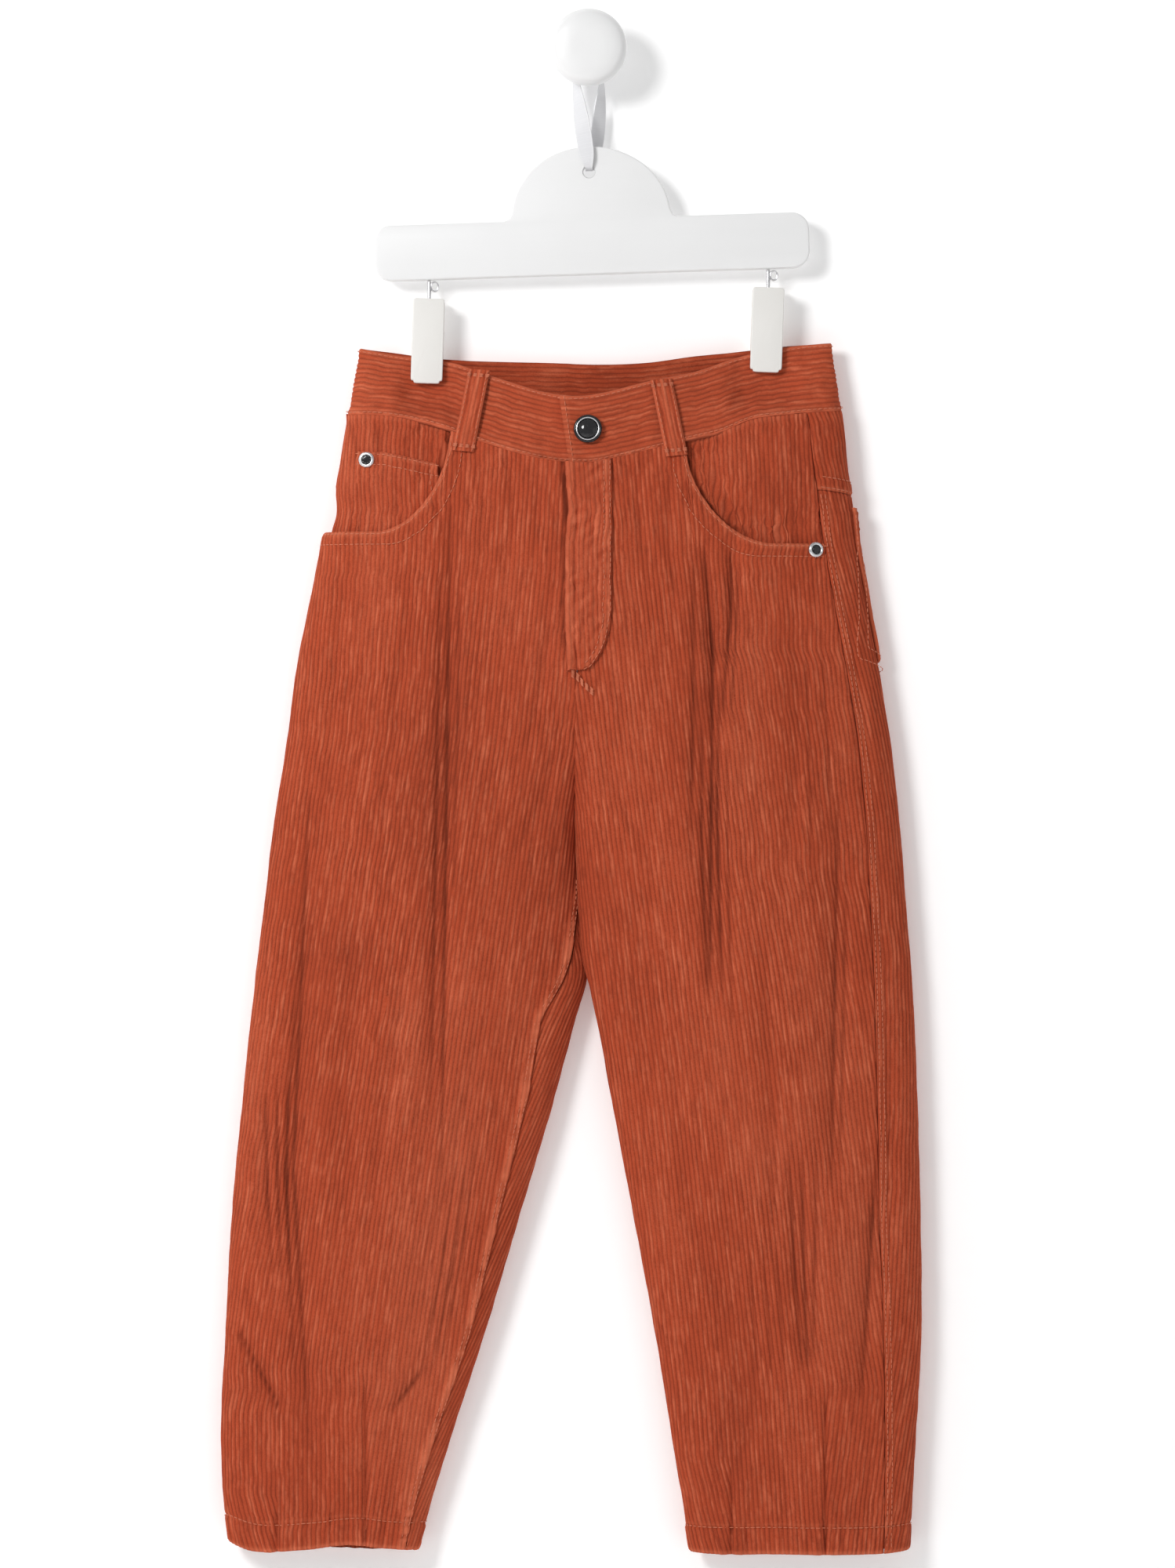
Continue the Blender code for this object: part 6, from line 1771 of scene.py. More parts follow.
def corduroy_surface(tree):
    """Brushed pile: darker between the wales and in folds as painted shade, light streaks along them that
    are partly painted sheen, and paler at worn edges.
    """
    cloth = bpy.context.scene.trousers_cloth
    across = tree.along_cloth()
    place = tree.place()
    wear = tree.carried("wear")
    number, along = tree.add("ShaderNodeSeparateXYZ", {}, {0: across})[:2]
    turn = number * math.pi
    pile = turn.math("ABSOLUTE", turn.math("SINE", turn))
    half = number * 2.0
    line = half.math("FLOOR", half)
    lines = tree.add("ShaderNodeCombineXYZ", {}, {
        0: line * STREAK_ACROSS, 1: along * STREAK_ALONG, 2: number * STREAK_DRIFT,
    })[0]
    worn = tree.noise(place, WORN_SCALE, 3.0).over(0.36, 0.62)
    broad = tree.noise(tree.stretched(place, BROAD_SCALE), 1.0, 4.0, 0.6)
    fluff = tree.noise(place, FLUFF_SCALE, 2.0)
    lighter = tree.noise(lines, 1.0, 5.0, 0.62).over(*STREAK_LIMITS)
    darker = tree.noise(lines, DARK_STREAK_SCALE, 4.0, 0.6).over(*STREAK_LIMITS)
    dark, mid, light = shade(cloth.valley_shade_colour), shade(cloth.colour), shade(cloth.pale_and_sheen_colour)
    # The ground between the wales is darker as painted shade in the recesses, less so where the pile is
    # worn.
    ground = tree.blend(pile.over(0.0, 0.8) * (1.0 - WORN_SHARE * worn) + WORN_SHARE * worn, dark, mid)
    tone = (broad - 0.5) * 0.9 + (fluff - 0.5) * 0.6
    lit = tree.blend(tone.over(0.0, 0.36) * LIGHT_SHARE, ground, light)
    deep = tree.blend(tone.over(0.0, -0.38) * DARK_SHARE + darker * DARK_SHARE, lit, dark)
    # Painted shade: darker where the carried attribute marks a sharp fold or a gap.
    fold_shaded = tree.blend(wear * FOLD_SHARE, deep, shade(cloth.valley_shade_colour, FOLD_DARKER))
    # Pale pile colour for worn edges, and for pale streaks, stronger on the wale tops, that are painted
    # sheen over the pile's random tone.
    brushed = shade(cloth.pale_and_sheen_colour, PALE_AND_SHEEN_LIGHTER)
    pale = lighter * (0.3 + 0.7 * pile) * STREAK_SHARE + wear * WEAR_SHARE
    colour = tree.blend(pale, fold_shaded, brushed)
    nap = fluff * 0.6 + tree.noise(tree.stretched(across, NAP_SCALE), 1.0, 2.0) * 0.4
    return {"Base Color": colour, "Normal": tree.dent(nap, 0.42, 0.0004)}


def thread_surface(tree):
    cloth = bpy.context.scene.trousers_cloth
    mottle = tree.noise(tree.place(), 420.0, 2.0)
    colour = tree.blend(mottle, shade(cloth.thread_colour, 0.8), shade(cloth.thread_colour, 1.15))
    return {"Base Color": colour, "Normal": tree.dent(tree.noise(tree.place(), 3800.0), 0.3, 0.0002)}


def painted_surface(tree):
    """White lacquer over wood: faint grain and brushing under it."""
    fittings = bpy.context.scene.trousers_fittings
    place = tree.place()
    grain = tree.noise(tree.stretched(place, (9.0, 60.0, 160.0)), 1.0, 4.0, 0.55)
    peel = tree.noise(place, 260.0, 2.0)
    cloud = tree.noise(place, 22.0, 2.0)
    colour = tree.blend(
        cloud * 0.6 + grain * 0.4, shade(fittings.wood_colour, 0.965), shade(fittings.wood_colour, 1.02),
    )
    return {
        "Base Color": colour,
        "Roughness": 0.36 + 0.14 * cloud,
        "Normal": tree.dent(grain * 0.7 + peel * 0.3, 0.10, 0.0004),
    }


def moulded_surface(tree):
    """Satin moulded plastic with a fine spark-eroded grain."""
    fittings = bpy.context.scene.trousers_fittings
    place = tree.place()
    grain = tree.noise(place, 2600.0, 2.0)
    cloud = tree.noise(place, 45.0, 2.0)
    colour = tree.blend(cloud, shade(fittings.plastic_colour, 0.97), shade(fittings.plastic_colour, 1.02))
    return {
        "Base Color": colour,
        "Roughness": 0.30 + 0.16 * cloud,
        "Normal": tree.dent(grain, 0.12, 0.0002),
    }


def satin_surface(tree):
    """Satin ribbon: close cross ribs, two firmer edges and a soft sheen."""
    across = tree.along_cloth()
    ribs = tree.add("ShaderNodeTexWave", {"bands_direction": "Y"}, {
        "Vector": across, "Scale": 7.0, "Distortion": 0.6, "Detail": 1.0,
    })[1]
    edge = tree.carried("wear")
    cloud = tree.noise(tree.stretched(across, (0.4, 2.0, 1.0)), 1.0, 2.0)
    colour = tree.blend(cloud * 0.6 + edge * 0.4, (0.66, 0.66, 0.68, 1.0), (0.84, 0.84, 0.85, 1.0))
    return {
        "Base Color": colour,
        "Roughness": 0.34 + 0.2 * cloud,
        "Normal": tree.dent(ribs + edge * 2.0, 0.22, 0.0002),
    }


def plated_surface(tree):
    place = tree.place()
    scuff = tree.noise(tree.stretched(place, (900.0, 300.0, 2600.0)), 1.0, 3.0)
    cloud = tree.noise(place, 500.0, 2.0)
    colour = tree.blend(cloud, (0.56, 0.56, 0.58, 1.0), (0.86, 0.86, 0.87, 1.0))
    return {
        "Base Color": colour,
        "Roughness": 0.14 + 0.22 * scuff,
        "Normal": tree.dent(scuff, 0.08, 0.0001),
    }


def gloss_surface(tree):
    place = tree.place()
    cloud = tree.noise(place, 700.0, 3.0)
    colour = tree.blend(cloud, (0.006, 0.006, 0.007, 1.0), (0.020, 0.019, 0.021, 1.0))
    return {"Base Color": colour, "Roughness": 0.05 + 0.10 * cloud, "Normal": tree.dent(cloud, 0.03, 0.0001)}


def plaster_surface(tree):
    cloud = tree.noise(tree.place(), 3.0, 3.0)
    stage = bpy.context.scene.trousers_stage
    colour = tree.blend(cloud, shade(stage.wall_colour, 0.995), shade(stage.wall_colour, 1.005))
    return {"Base Color": colour, "Normal": tree.dent(tree.noise(tree.place(), 90.0), 0.02, 0.001)}


def make_materials():
    finish("brushed_corduroy", corduroy_surface, {
        "Roughness": 0.9, "Sheen Weight": 0.05, "Sheen Roughness": 0.5,
        "Sheen Tint": (0.90, 0.40, 0.25, 1.0), "Specular IOR Level": 0.12,
    })
    finish("thread", thread_surface, {"Roughness": 0.6, "Sheen Weight": 0.1, "Specular IOR Level": 0.35})
    finish("white_lacquer", painted_surface, {"Coat Weight": 0.25, "Coat Roughness": 0.3})
    finish("moulded_white", moulded_surface, {"Specular IOR Level": 0.5})
    finish("white_satin", satin_surface, {"Sheen Weight": 0.3, "Sheen Roughness": 0.35})
    finish("nickel_plate", plated_surface, {"Metallic": 1.0})
    finish("gloss_black", gloss_surface, {
        "Coat Weight": 0.3, "Coat Roughness": 0.04, "Specular IOR Level": 0.3,
    })
    wall_material = finish("wall_paint", plaster_surface, {
        "Roughness": 0.9, "Specular IOR Level": 0.1, "Emission Color": (1.0, 1.0, 1.0, 1.0),
        "Emission Strength": bpy.context.scene.trousers_stage.wall_glow,
    })
    finish("floor_paint", plaster_surface, {"Roughness": 0.8, "Specular IOR Level": 0.15})
    see_through(wall_material)


def see_through(material):
    """The wall is plain from the front and clear from behind, and casts no shadow."""
    tree = Tree(material.node_tree)
    nodes = material.node_tree.nodes
    behind = tree.add("ShaderNodeNewGeometry", {}, {})[6]
    shadow = tree.add("ShaderNodeLightPath", {}, {})[1]
    clear = tree.add("ShaderNodeBsdfTransparent", {}, {})[0]
    share = behind.math("MAXIMUM", behind, shadow)
    shader = Value(tree, nodes["Principled BSDF"].outputs[0])
    mixed = tree.add("ShaderNodeMixShader", {}, {0: share, 1: shader, 2: clear})[0]
    material.node_tree.links.new(mixed.socket, nodes["Material Output"].inputs["Surface"])


def stitch_tree():
    """Threads laid end to end along the edges of a mesh."""
    group = bpy.data.node_groups.new("Stitch rows", "GeometryNodeTree")
    sockets = (
        ("Rows", "NodeSocketGeometry", None), ("Pitch", "NodeSocketFloat", 0.0032),
        ("Length", "NodeSocketFloat", 0.0025), ("Thickness", "NodeSocketFloat", 0.0005),
        ("Seed", "NodeSocketInt", 3), ("Thread", "NodeSocketMaterial", None),
    )
    for name, kind, value in sockets:
        socket = group.interface.new_socket(name, in_out="INPUT", socket_type=kind)
        if value is not None:
            socket.default_value = value
    group.interface.new_socket("Stitches", in_out="OUTPUT", socket_type="NodeSocketGeometry")
    tree = Tree(group)
    rows, pitch, length, thickness, seed, thread = tree.add("NodeGroupInput", {}, {})[:6]
    curve = tree.add("GeometryNodeMeshToCurve", {}, {"Mesh": rows})[0]
    spaced = tree.add("GeometryNodeResampleCurve", {"mode": "LENGTH"}, {"Curve": curve, "Length": pitch})[0]
    tangent = tree.add("GeometryNodeInputTangent", {}, {})[0]
    turn = tree.add("FunctionNodeAlignRotationToVector", {"axis": "Z"}, {"Vector": tangent})[0]
    vary = tree.add("FunctionNodeRandomValue", {"data_type": "FLOAT"}, {2: 0.85, 3: 1.12, "Seed": seed})[1]
    half = thickness * 0.5
    size = tree.add("ShaderNodeCombineXYZ", {}, {0: half * vary, 1: half * vary, 2: length * 0.5 * vary})[0]
    stitch = tree.add("GeometryNodeMeshUVSphere", {}, {"Segments": 6, "Rings": 5, "Radius": 1.0})[0]
    laid = tree.add("GeometryNodeInstanceOnPoints", {}, {
        "Points": spaced, "Instance": stitch, "Rotation": turn, "Scale": size,
    })[0]
    real = tree.add("GeometryNodeRealizeInstances", {}, {"Geometry": laid})[0]
    made = tree.add("GeometryNodeSetMaterial", {}, {"Geometry": real, "Material": thread})[0]
    tree.add("NodeGroupOutput", {}, {0: made})
    return group


def stitch_rows(name, rows):
    """Stitches along each row of points, as one plain mesh."""
    cloth = bpy.context.scene.trousers_cloth
    points = np.concatenate(rows) * MM
    edges = []
    start = 0
    for row in rows:
        edges += [(k, k + 1) for k in range(start, start + len(row) - 1)]
        start += len(row)
    mesh = bpy.data.meshes.new(name + "_rows")
    mesh.from_pydata(points, edges, [])
    guide = bpy.data.objects.new(name + "_rows", mesh)
    bpy.context.scene.collection.objects.link(guide)
    group = bpy.data.node_groups.get("Stitch rows") or stitch_tree()
    modifier = guide.modifiers.new("Stitches", "NODES")
    modifier.node_group = group
    values = {
        "Pitch": cloth.stitch_pitch, "Length": cloth.stitch_length, "Thickness": cloth.thread_thickness,
        "Thread": bpy.data.materials["thread"],
    }
    for item in group.interface.items_tree:
        if item.in_out == "INPUT" and item.name in values:
            modifier[item.identifier] = values[item.name]
    return made_plain(guide, name)


def made_plain(guide, name):
    """A plain mesh of an object with its modifiers, which takes the object's place."""
    graph = bpy.context.evaluated_depsgraph_get()
    mesh = bpy.data.meshes.new_from_object(guide.evaluated_get(graph), depsgraph=graph)
    bpy.data.objects.remove(guide)
    mesh.name = name
    mesh.shade_smooth()
    obj = bpy.data.objects.new(name, mesh)
    bpy.context.scene.collection.objects.link(obj)
    return obj


# ---------------------------------------------------------------- buttons, rivets and what holds the garment

def rounded(outline, reach, steps=4, closed=False):
    """An outline with its corners rounded off."""
    outline = [np.array(point, float) for point in outline]
    count = len(outline)
    made = [] if closed else [outline[0]]
    for k in range(0 if closed else 1, count if closed else count - 1):
        before, here, after = outline[k - 1], outline[k], outline[(k + 1) % count]
        back = before - here
        ahead = after - here
        start = here + back * min(reach / np.linalg.norm(back), 0.45)
        end = here + ahead * min(reach / np.linalg.norm(ahead), 0.45)
        for t in np.linspace(0.0, 1.0, steps):
            made.append((1.0 - t) ** 2 * start + 2.0 * t * (1.0 - t) * here + t * t * end)
    return made if closed else made + [outline[-1]]


def to_object(name, bm, material):
    bmesh.ops.recalc_face_normals(bm, faces=bm.faces)
    mesh = bpy.data.meshes.new(name)
    bm.to_mesh(mesh)
    bm.free()
    obj = dressed(name, mesh, material)
    mesh.set_sharp_from_angle(angle=SHARP_FITTING)
    return obj


def turned(bm, outline, place, axis, sides):
    """A round shape: an outline of (radius, height) turned about an axis."""
    axis = np.array(axis, float) / np.linalg.norm(axis)
    across = np.cross(axis, (0.0, 0.0, 1.0) if abs(axis[2]) < 0.9 else (0.0, 1.0, 0.0))
    across /= np.linalg.norm(across)
    up = np.cross(axis, across)
    angles = 2.0 * math.pi * np.arange(sides) / sides
    loops = []
    for radius, height in outline:
        centre = np.array(place, float) + axis * height
        if radius == 0.0:
            loops.append([bm.verts.new(centre * MM)])
            continue
        points = [centre + radius * (math.cos(a) * across + math.sin(a) * up) for a in angles]
        loops.append([bm.verts.new(point * MM) for point in points])
    for low, high in zip(loops, loops[1:]):
        for k in range(sides):
            n = (k + 1) % sides
            corners = [low[k % len(low)], low[n % len(low)], high[n % len(high)], high[k % len(high)]]
            bm.faces.new(list(dict.fromkeys(corners)))


def turned_piece(name, outline, place, axis, material, sides, reach=0.5):
    bm = bmesh.new()
    turned(bm, rounded(outline, reach), place, axis, sides)
    return to_object(name, bm, material)


def inset_outline(outline, amount):
    ahead = np.roll(outline, -1, axis=0) - outline
    behind = outline - np.roll(outline, 1, axis=0)
    ahead /= np.linalg.norm(ahead, axis=1, keepdims=True)
    behind /= np.linalg.norm(behind, axis=1, keepdims=True)
    inward = np.column_stack([-(ahead + behind)[:, 1], (ahead + behind)[:, 0]])
    inward /= np.linalg.norm(inward, axis=1, keepdims=True)
    return outline + inward * amount


def plate(bm, outline, front, back, edge):
    """A flat plate from an outline of (x, z), run anticlockwise, with rounded edges."""
    outline = np.array(outline, float)
    layers = []
    for angle in np.linspace(0.0, 0.5 * math.pi, 5):
        layers.append((edge * (1.0 - math.sin(angle)), edge * (1.0 - math.cos(angle))))
    sections = [(inset, front + depth) for inset, depth in layers]
    sections += [(inset, back - depth) for inset, depth in reversed(layers)]
    loops = []
    for inset, y in sections:
        points = inset_outline(outline, inset)
        loops.append([bm.verts.new((x * MM, y * MM, z * MM)) for x, z in points])
    count = len(outline)
    for near, far in zip(loops, loops[1:]):
        for k in range(count):
            n = (k + 1) % count
            bm.faces.new((near[k], near[n], far[n], far[k]))
    bm.faces.new(loops[0])
    bm.faces.new(loops[-1])


def seat(x, drop, lift):
    """A place lifted off the front, and the direction that the cloth faces there."""
    x, drop = np.array(x), np.array(drop)
    out = cloth_facing(x, drop)
    return np.array((x, cloth_y(x, drop), -drop)) + out * lift, out


def waist_button():
    place, out = seat(*BUTTON_PLACE, BUTTON_LIFT)
    sides = bpy.context.scene.trousers_fittings.round_sides
    return (
        turned_piece("waist_button_ring", BUTTON_RING, place, out, "nickel_plate", sides, 0.25),
        turned_piece("waist_button_bevel", BUTTON_BEVEL, place, out, "gloss_black", sides, 0.35),
        turned_piece("waist_button_cap", BUTTON_CAP, place, out, "gloss_black", sides, 0.7),
    )


RIVET_RING = (
    (0.0, 0.0), (4.6, 0.0), (4.6, 0.5), (3.9, 1.35), (3.2, 1.5), (2.6, 1.0), (2.5, 0.45), (0.0, 0.45),
)
RIVET_HEART = 2.35
RIVET_HEART_TOP = 1.45
HEART_ROUND = 0.3
HEART_BEVEL = 0.5
HEART_SIDES = 8
RIVET_STAND = RIVET_LIFT + 0.35
COIN_RIVET_STAND = LAYER_GAP + OVERLAY + RIVET_LIFT + 0.25


def rivet(name, place, out):
    """A plated ring with a dark, roughly square heart."""
    sides = bpy.context.scene.trousers_fittings.round_sides
    ring = turned_piece(name + "_ring", RIVET_RING, place, out, "nickel_plate", sides, 0.3)
    bm = bmesh.new()
    outline = [
        (0.0, HEART_ROUND), (RIVET_HEART, HEART_ROUND), (RIVET_HEART, RIVET_HEART_TOP - HEART_ROUND),
        (RIVET_HEART - HEART_BEVEL, RIVET_HEART_TOP), (0.0, RIVET_HEART_TOP),
    ]
    turned(bm, rounded(outline, HEART_ROUND), place, out, HEART_SIDES)
    heart = to_object(name + "_heart", bm, "gloss_black")
    return ring, heart


def pocket_rivets():
    made = [
        rivet("rivet_coin_pocket", *seat(*COIN_RIVET, COIN_RIVET_STAND)),
        rivet("rivet_pocket_left", *seat(*POCKET_RIVET_LEFT, RIVET_STAND)),
    ]
    form = FORMS[RIGHT]
    past_seam, drop = POCKET_RIVET_RIGHT
    place = form.seam("side", drop) + past_seam
    out = form.facing(place, np.array(drop))
    made.append(rivet("rivet_pocket_right", form.at(place, drop) + out * RIVET_STAND, out))
    return made


def wall_knob():
    fittings = bpy.context.scene.trousers_fittings
    radius = fittings.knob_radius / MM
    outline = (
        (0.0, 0.0), (STEM_RADIUS, 0.0), (STEM_RADIUS, STEM_DEPTH - 2.5), (STEM_RADIUS + 3.0, STEM_DEPTH),
        (radius - 2.5, STEM_DEPTH + 1.0), (radius - 0.5, STEM_DEPTH + 3.0),
        (radius, STEM_DEPTH + 6.0), (radius - 0.6, STEM_DEPTH + 9.0),
        (radius - 3.0, KNOB_DEPTH - 2.4), (radius - 7.0, KNOB_DEPTH - 0.9),
        (radius - 12.0, KNOB_DEPTH - 0.2), (0.0, KNOB_DEPTH),
    )
    return turned_piece(
        "turned_knob", outline, (0.0, 0.0, 0.0), (0.0, -1.0, 0.0), "white_lacquer",
        2 * fittings.round_sides, 1.6,
    )


def arc_points(centre, radii, start, end, count):
    angles = np.linspace(math.radians(start), math.radians(end), count)
    return [(centre[0] + radii[0] * math.cos(a), centre[1] + radii[1] * math.sin(a)) for a in angles]


def tilted(points):
    """Board points turned about its hole, by the tilt that the hanger hangs at."""
    c, s = math.cos(BOARD_TILT), math.sin(BOARD_TILT)
    px, pz = BOARD_PIVOT
    return [(px + x * c - z * s, pz + x * s + z * c) for x, z in points]


def board_outline():
    top, low = BOARD_TOP, BOARD_TOP - BOARD_HEIGHT
    half, corner = BOARD_HALF, BOARD_CORNER
    fillet = 0.3 * DOME_FILLET
    points = arc_points((-half + corner, low + corner), (corner, corner), 180, 270, 14)
    points += arc_points((half - corner, low + corner), (corner, corner), 270, 360, 14)
    points += arc_points((half - corner, top - corner), (corner, corner), 0, 90, 14)
    points += [(DOME_HALF + DOME_FILLET, top), (DOME_HALF + fillet, top + fillet)]
    points += arc_points((0.0, top + 0.5 * fillet), (DOME_HALF, DOME_RISE), 6, 174, 72)
    points += [(-DOME_HALF - fillet, top + fillet), (-DOME_HALF - DOME_FILLET, top)]
    points += arc_points((-half + corner, top - corner), (corner, corner), 90, 180, 14)
    return tilted(points)


# The hole's eased rim, and how far the cutter for it goes past the board
HOLE_EASE = 0.6
HOLE_EASE_DEPTH = 0.8
HOLE_FLARE = 2.6
HOLE_PAST = 2.0
HOLE_ROUND_SIDES = 40


def hanger_board():
    """The board, with the ribbon's hole cut through it and its rim eased."""
    bm = bmesh.new()
    plate(bm, board_outline(), BOARD_FRONT, BOARD_BACK, bpy.context.scene.trousers_fittings.board_edge / MM)
    board = to_object("board_blank", bm, "white_lacquer")
    px, pz = BOARD_PIVOT
    middle = -0.5 * (BOARD_FRONT + BOARD_BACK)
    half = 0.5 * (BOARD_BACK - BOARD_FRONT)
    past = half + HOLE_PAST
    flare = [
        (0.0, past), (HOLE_RADIUS + HOLE_FLARE, past), (HOLE_RADIUS + HOLE_EASE, half),
        (HOLE_RADIUS, half - HOLE_EASE_DEPTH),
    ]
    flare = [(radius, -height) for radius, height in flare] + flare[::-1]
    bm = bmesh.new()
    turned(bm, flare, (px, -middle, pz), (0.0, -1.0, 0.0), HOLE_ROUND_SIDES)
    cutter = to_object("hole_cutter", bm, "white_lacquer")
    cut = board.modifiers.new("Hole", "BOOLEAN")
    cut.operation = "DIFFERENCE"
    cut.object = cutter
    made = made_plain(board, "painted_board")
    made.data.set_sharp_from_angle(angle=SHARP_FITTING)
    bpy.data.objects.remove(cutter)
    return made


# The wire's eye, which hooks the clip to the board: middle, half width, half height, radius, drop
EYE_ASIDE = 3.1
EYE_WIDE = 2.1
EYE_TALL = 2.6
EYE_WIRE = 0.55
EYE_BELOW = 3.4
EYE_POINTS = 24
EYE_SIDES = 8
WIRE_SIDES = 20
BARREL_SIDES = 32
JAW_ROUND = 2.0


def clip(side):
    """Two flat jaws; the rear one carries the spring and the wire to the board."""
    x, top_drop, lean = CLIPS[side]
    half = 0.5 * CLIP_WIDTH
    notch = CLIP_NOTCH
    step = notch + CLIP_STEP
    local = [
        (-half, -CLIP_LENGTH + notch), (-half + notch, -CLIP_LENGTH + notch),
        (-half + step, -CLIP_LENGTH), (half - step, -CLIP_LENGTH),
        (half - notch, -CLIP_LENGTH + notch), (half, -CLIP_LENGTH + notch),
        (half, 0.0), (-half, 0.0),
    ]
    local = rounded(local, JAW_ROUND, 5, closed=True)
    c, s = math.cos(lean), math.sin(lean)
    outline = [(x + px * c + pz * s, -top_drop - px * s + pz * c) for px, pz in local]
    front, back = JAW_FACES
    bm = bmesh.new()
    plate(bm, outline, front - JAW_DEPTH, front, JAW_CHAMFER)
    front_jaw = to_object("clip_%s_front_plate" % side, bm, "moulded_white")
    bm = bmesh.new()
    plate(bm, outline, back, back + JAW_DEPTH, JAW_CHAMFER)
    spring_y = back + SPRING_SET_IN - SPRING_RADIUS
    spring_z = -top_drop - SPRING_DROP
    spring_half = half - SPRING_SHORT
    board_low = tilted([(x - BOARD_PIVOT[0], BOARD_TOP - BOARD_HEIGHT)])[0][1]
    height = board_low - WIRE_GAP - spring_z
    barrel = ((0.0, 0.0), (SPRING_RADIUS, 0.0), (SPRING_RADIUS, 2.0 * spring_half), (0.0, 2.0 * spring_half))
    turned(bm, rounded(barrel, 0.5), (x - spring_half, spring_y, spring_z), (1.0, 0.0, 0.0), BARREL_SIDES)
    back_jaw = to_object("clip_%s_rear_plate" % side, bm, "moulded_white")
    bm = bmesh.new()
    wire = ((0.0, 0.0), (WIRE_RADIUS, 0.0), (WIRE_RADIUS, height), (0.0, height))
    turned(bm, rounded(wire, 0.3), (x, spring_y, spring_z), (0.0, 0.001, 1.0), WIRE_SIDES)
    eye = np.array((x + EYE_ASIDE, spring_y, board_low - WIRE_GAP - EYE_BELOW))
    rings = []
    for angle in np.linspace(0.0, 2.0 * math.pi, EYE_POINTS + 1)[:-1]:
        away = np.array((math.cos(angle), 0.0, math.sin(angle)))
        centre = eye + away * (EYE_WIDE, 0.0, EYE_TALL)
        ring = []
        for turn in np.linspace(0.0, 2.0 * math.pi, EYE_SIDES + 1)[:-1]:
            side_way = math.cos(turn) * away + math.sin(turn) * np.array((0.0, 1.0, 0.0))
            ring.append(bm.verts.new((centre + side_way * EYE_WIRE) * MM))
        rings.append(ring)
    for k, ring in enumerate(rings):
        ahead = rings[(k + 1) % EYE_POINTS]
        for j in range(EYE_SIDES):
            n = (j + 1) % EYE_SIDES
            bm.faces.new((ring[j], ring[n], ahead[n], ahead[j]))
    hook = to_object("clip_%s_wire" % side, bm, "nickel_plate")
    return front_jaw, back_jaw, hook


RIBBON_ROWS = 220
RIBBON_COLUMNS = 12
RIBBON_EDGE = 0.12
RIBBON_CURL = 0.35
RIBBON_THIN = 0.75


def ribbon():
    """The satin loop, over the knob's stem and through the board's hole."""
    table = np.array(RIBBON + RIBBON[:1])
    table[-1, 4] += 180.0
    knots = np.arange(len(table), dtype=float)
    at = np.linspace(0.0, knots[-1], RIBBON_ROWS + 1)[:-1]
    path = np.column_stack([through(knots, table[:, k], at) for k in range(5)])
    ahead = np.roll(path[:, :3], -1, axis=0) - np.roll(path[:, :3], 1, axis=0)
    ahead /= np.linalg.norm(ahead, axis=1, keepdims=True)
    turn = np.radians(path[:, 4])
    wide = np.column_stack([np.cos(turn), -np.sin(turn), np.zeros(len(turn))])
    wide -= ahead * (wide * ahead).sum(axis=1, keepdims=True)
    wide /= np.linalg.norm(wide, axis=1, keepdims=True)
    flat = np.cross(ahead, wide)
    shares = np.linspace(-1.0, 1.0, RIBBON_COLUMNS + 1)
    half = 0.5 * path[:, 3, None]
    middle = path[:, None, :3] + wide[:, None, :] * (half * shares)[..., None]
    curl = RIBBON_CURL * (shares ** 2 - 0.5) * smooth((path[:, 3, None] - 4.0) / 5.0)
    middle = middle + flat[:, None, :] * curl[..., None]
    firm = np.abs(shares) > 1.0 - 2.0 * RIBBON_EDGE
    lift = 0.5 * RIBBON_THICK * (RIBBON_THIN + (1.0 - RIBBON_THIN) * firm)
    lift = flat[:, None, :] * lift[:, None]
    bm = bmesh.new()
    layer = bm.loops.layers.uv.new("cloth")
    # On the ribbon this layer only marks its two firmer edges, which the satin shows paler and more ribbed.
    wear = bm.verts.layers.float.new("wear")
    layers = []
    for grid in (middle + lift, middle - lift):
        layers.append([[bm.verts.new(point * MM) for point in row] for row in grid])
    steps = np.linalg.norm(np.roll(path[:, :3], -1, axis=0) - path[:, :3], axis=1)
    along = np.concatenate([[0.0], np.cumsum(steps)])
    for grid in layers:
        for i in range(RIBBON_ROWS):
            n = (i + 1) % RIBBON_ROWS
            for j in range(RIBBON_COLUMNS):
                face = bm.faces.new((grid[i][j], grid[i][j + 1], grid[n][j + 1], grid[n][j]))
                marks = ((j, i), (j + 1, i), (j + 1, i + 1), (j, i + 1))
                for loop, (over, down) in zip(face.loops, marks):
                    loop[layer].uv = (over / RIBBON_COLUMNS, along[down])
    upper, lower = layers
    for i in range(RIBBON_ROWS):
        n = (i + 1) % RIBBON_ROWS
        for j in (0, RIBBON_COLUMNS):
            bm.faces.new((upper[i][j], upper[n][j], lower[n][j], lower[i][j]))
            for vert in (upper[i][j], lower[i][j]):
                vert[wear] = 1.0
    obj = to_object("satin_ribbon", bm, "white_satin")
    obj["cut"] = (2.0 * float(half.max()) * MM, float(along[-1]) * MM, 0.0)
    return obj


# ---------------------------------------------------------------- settings

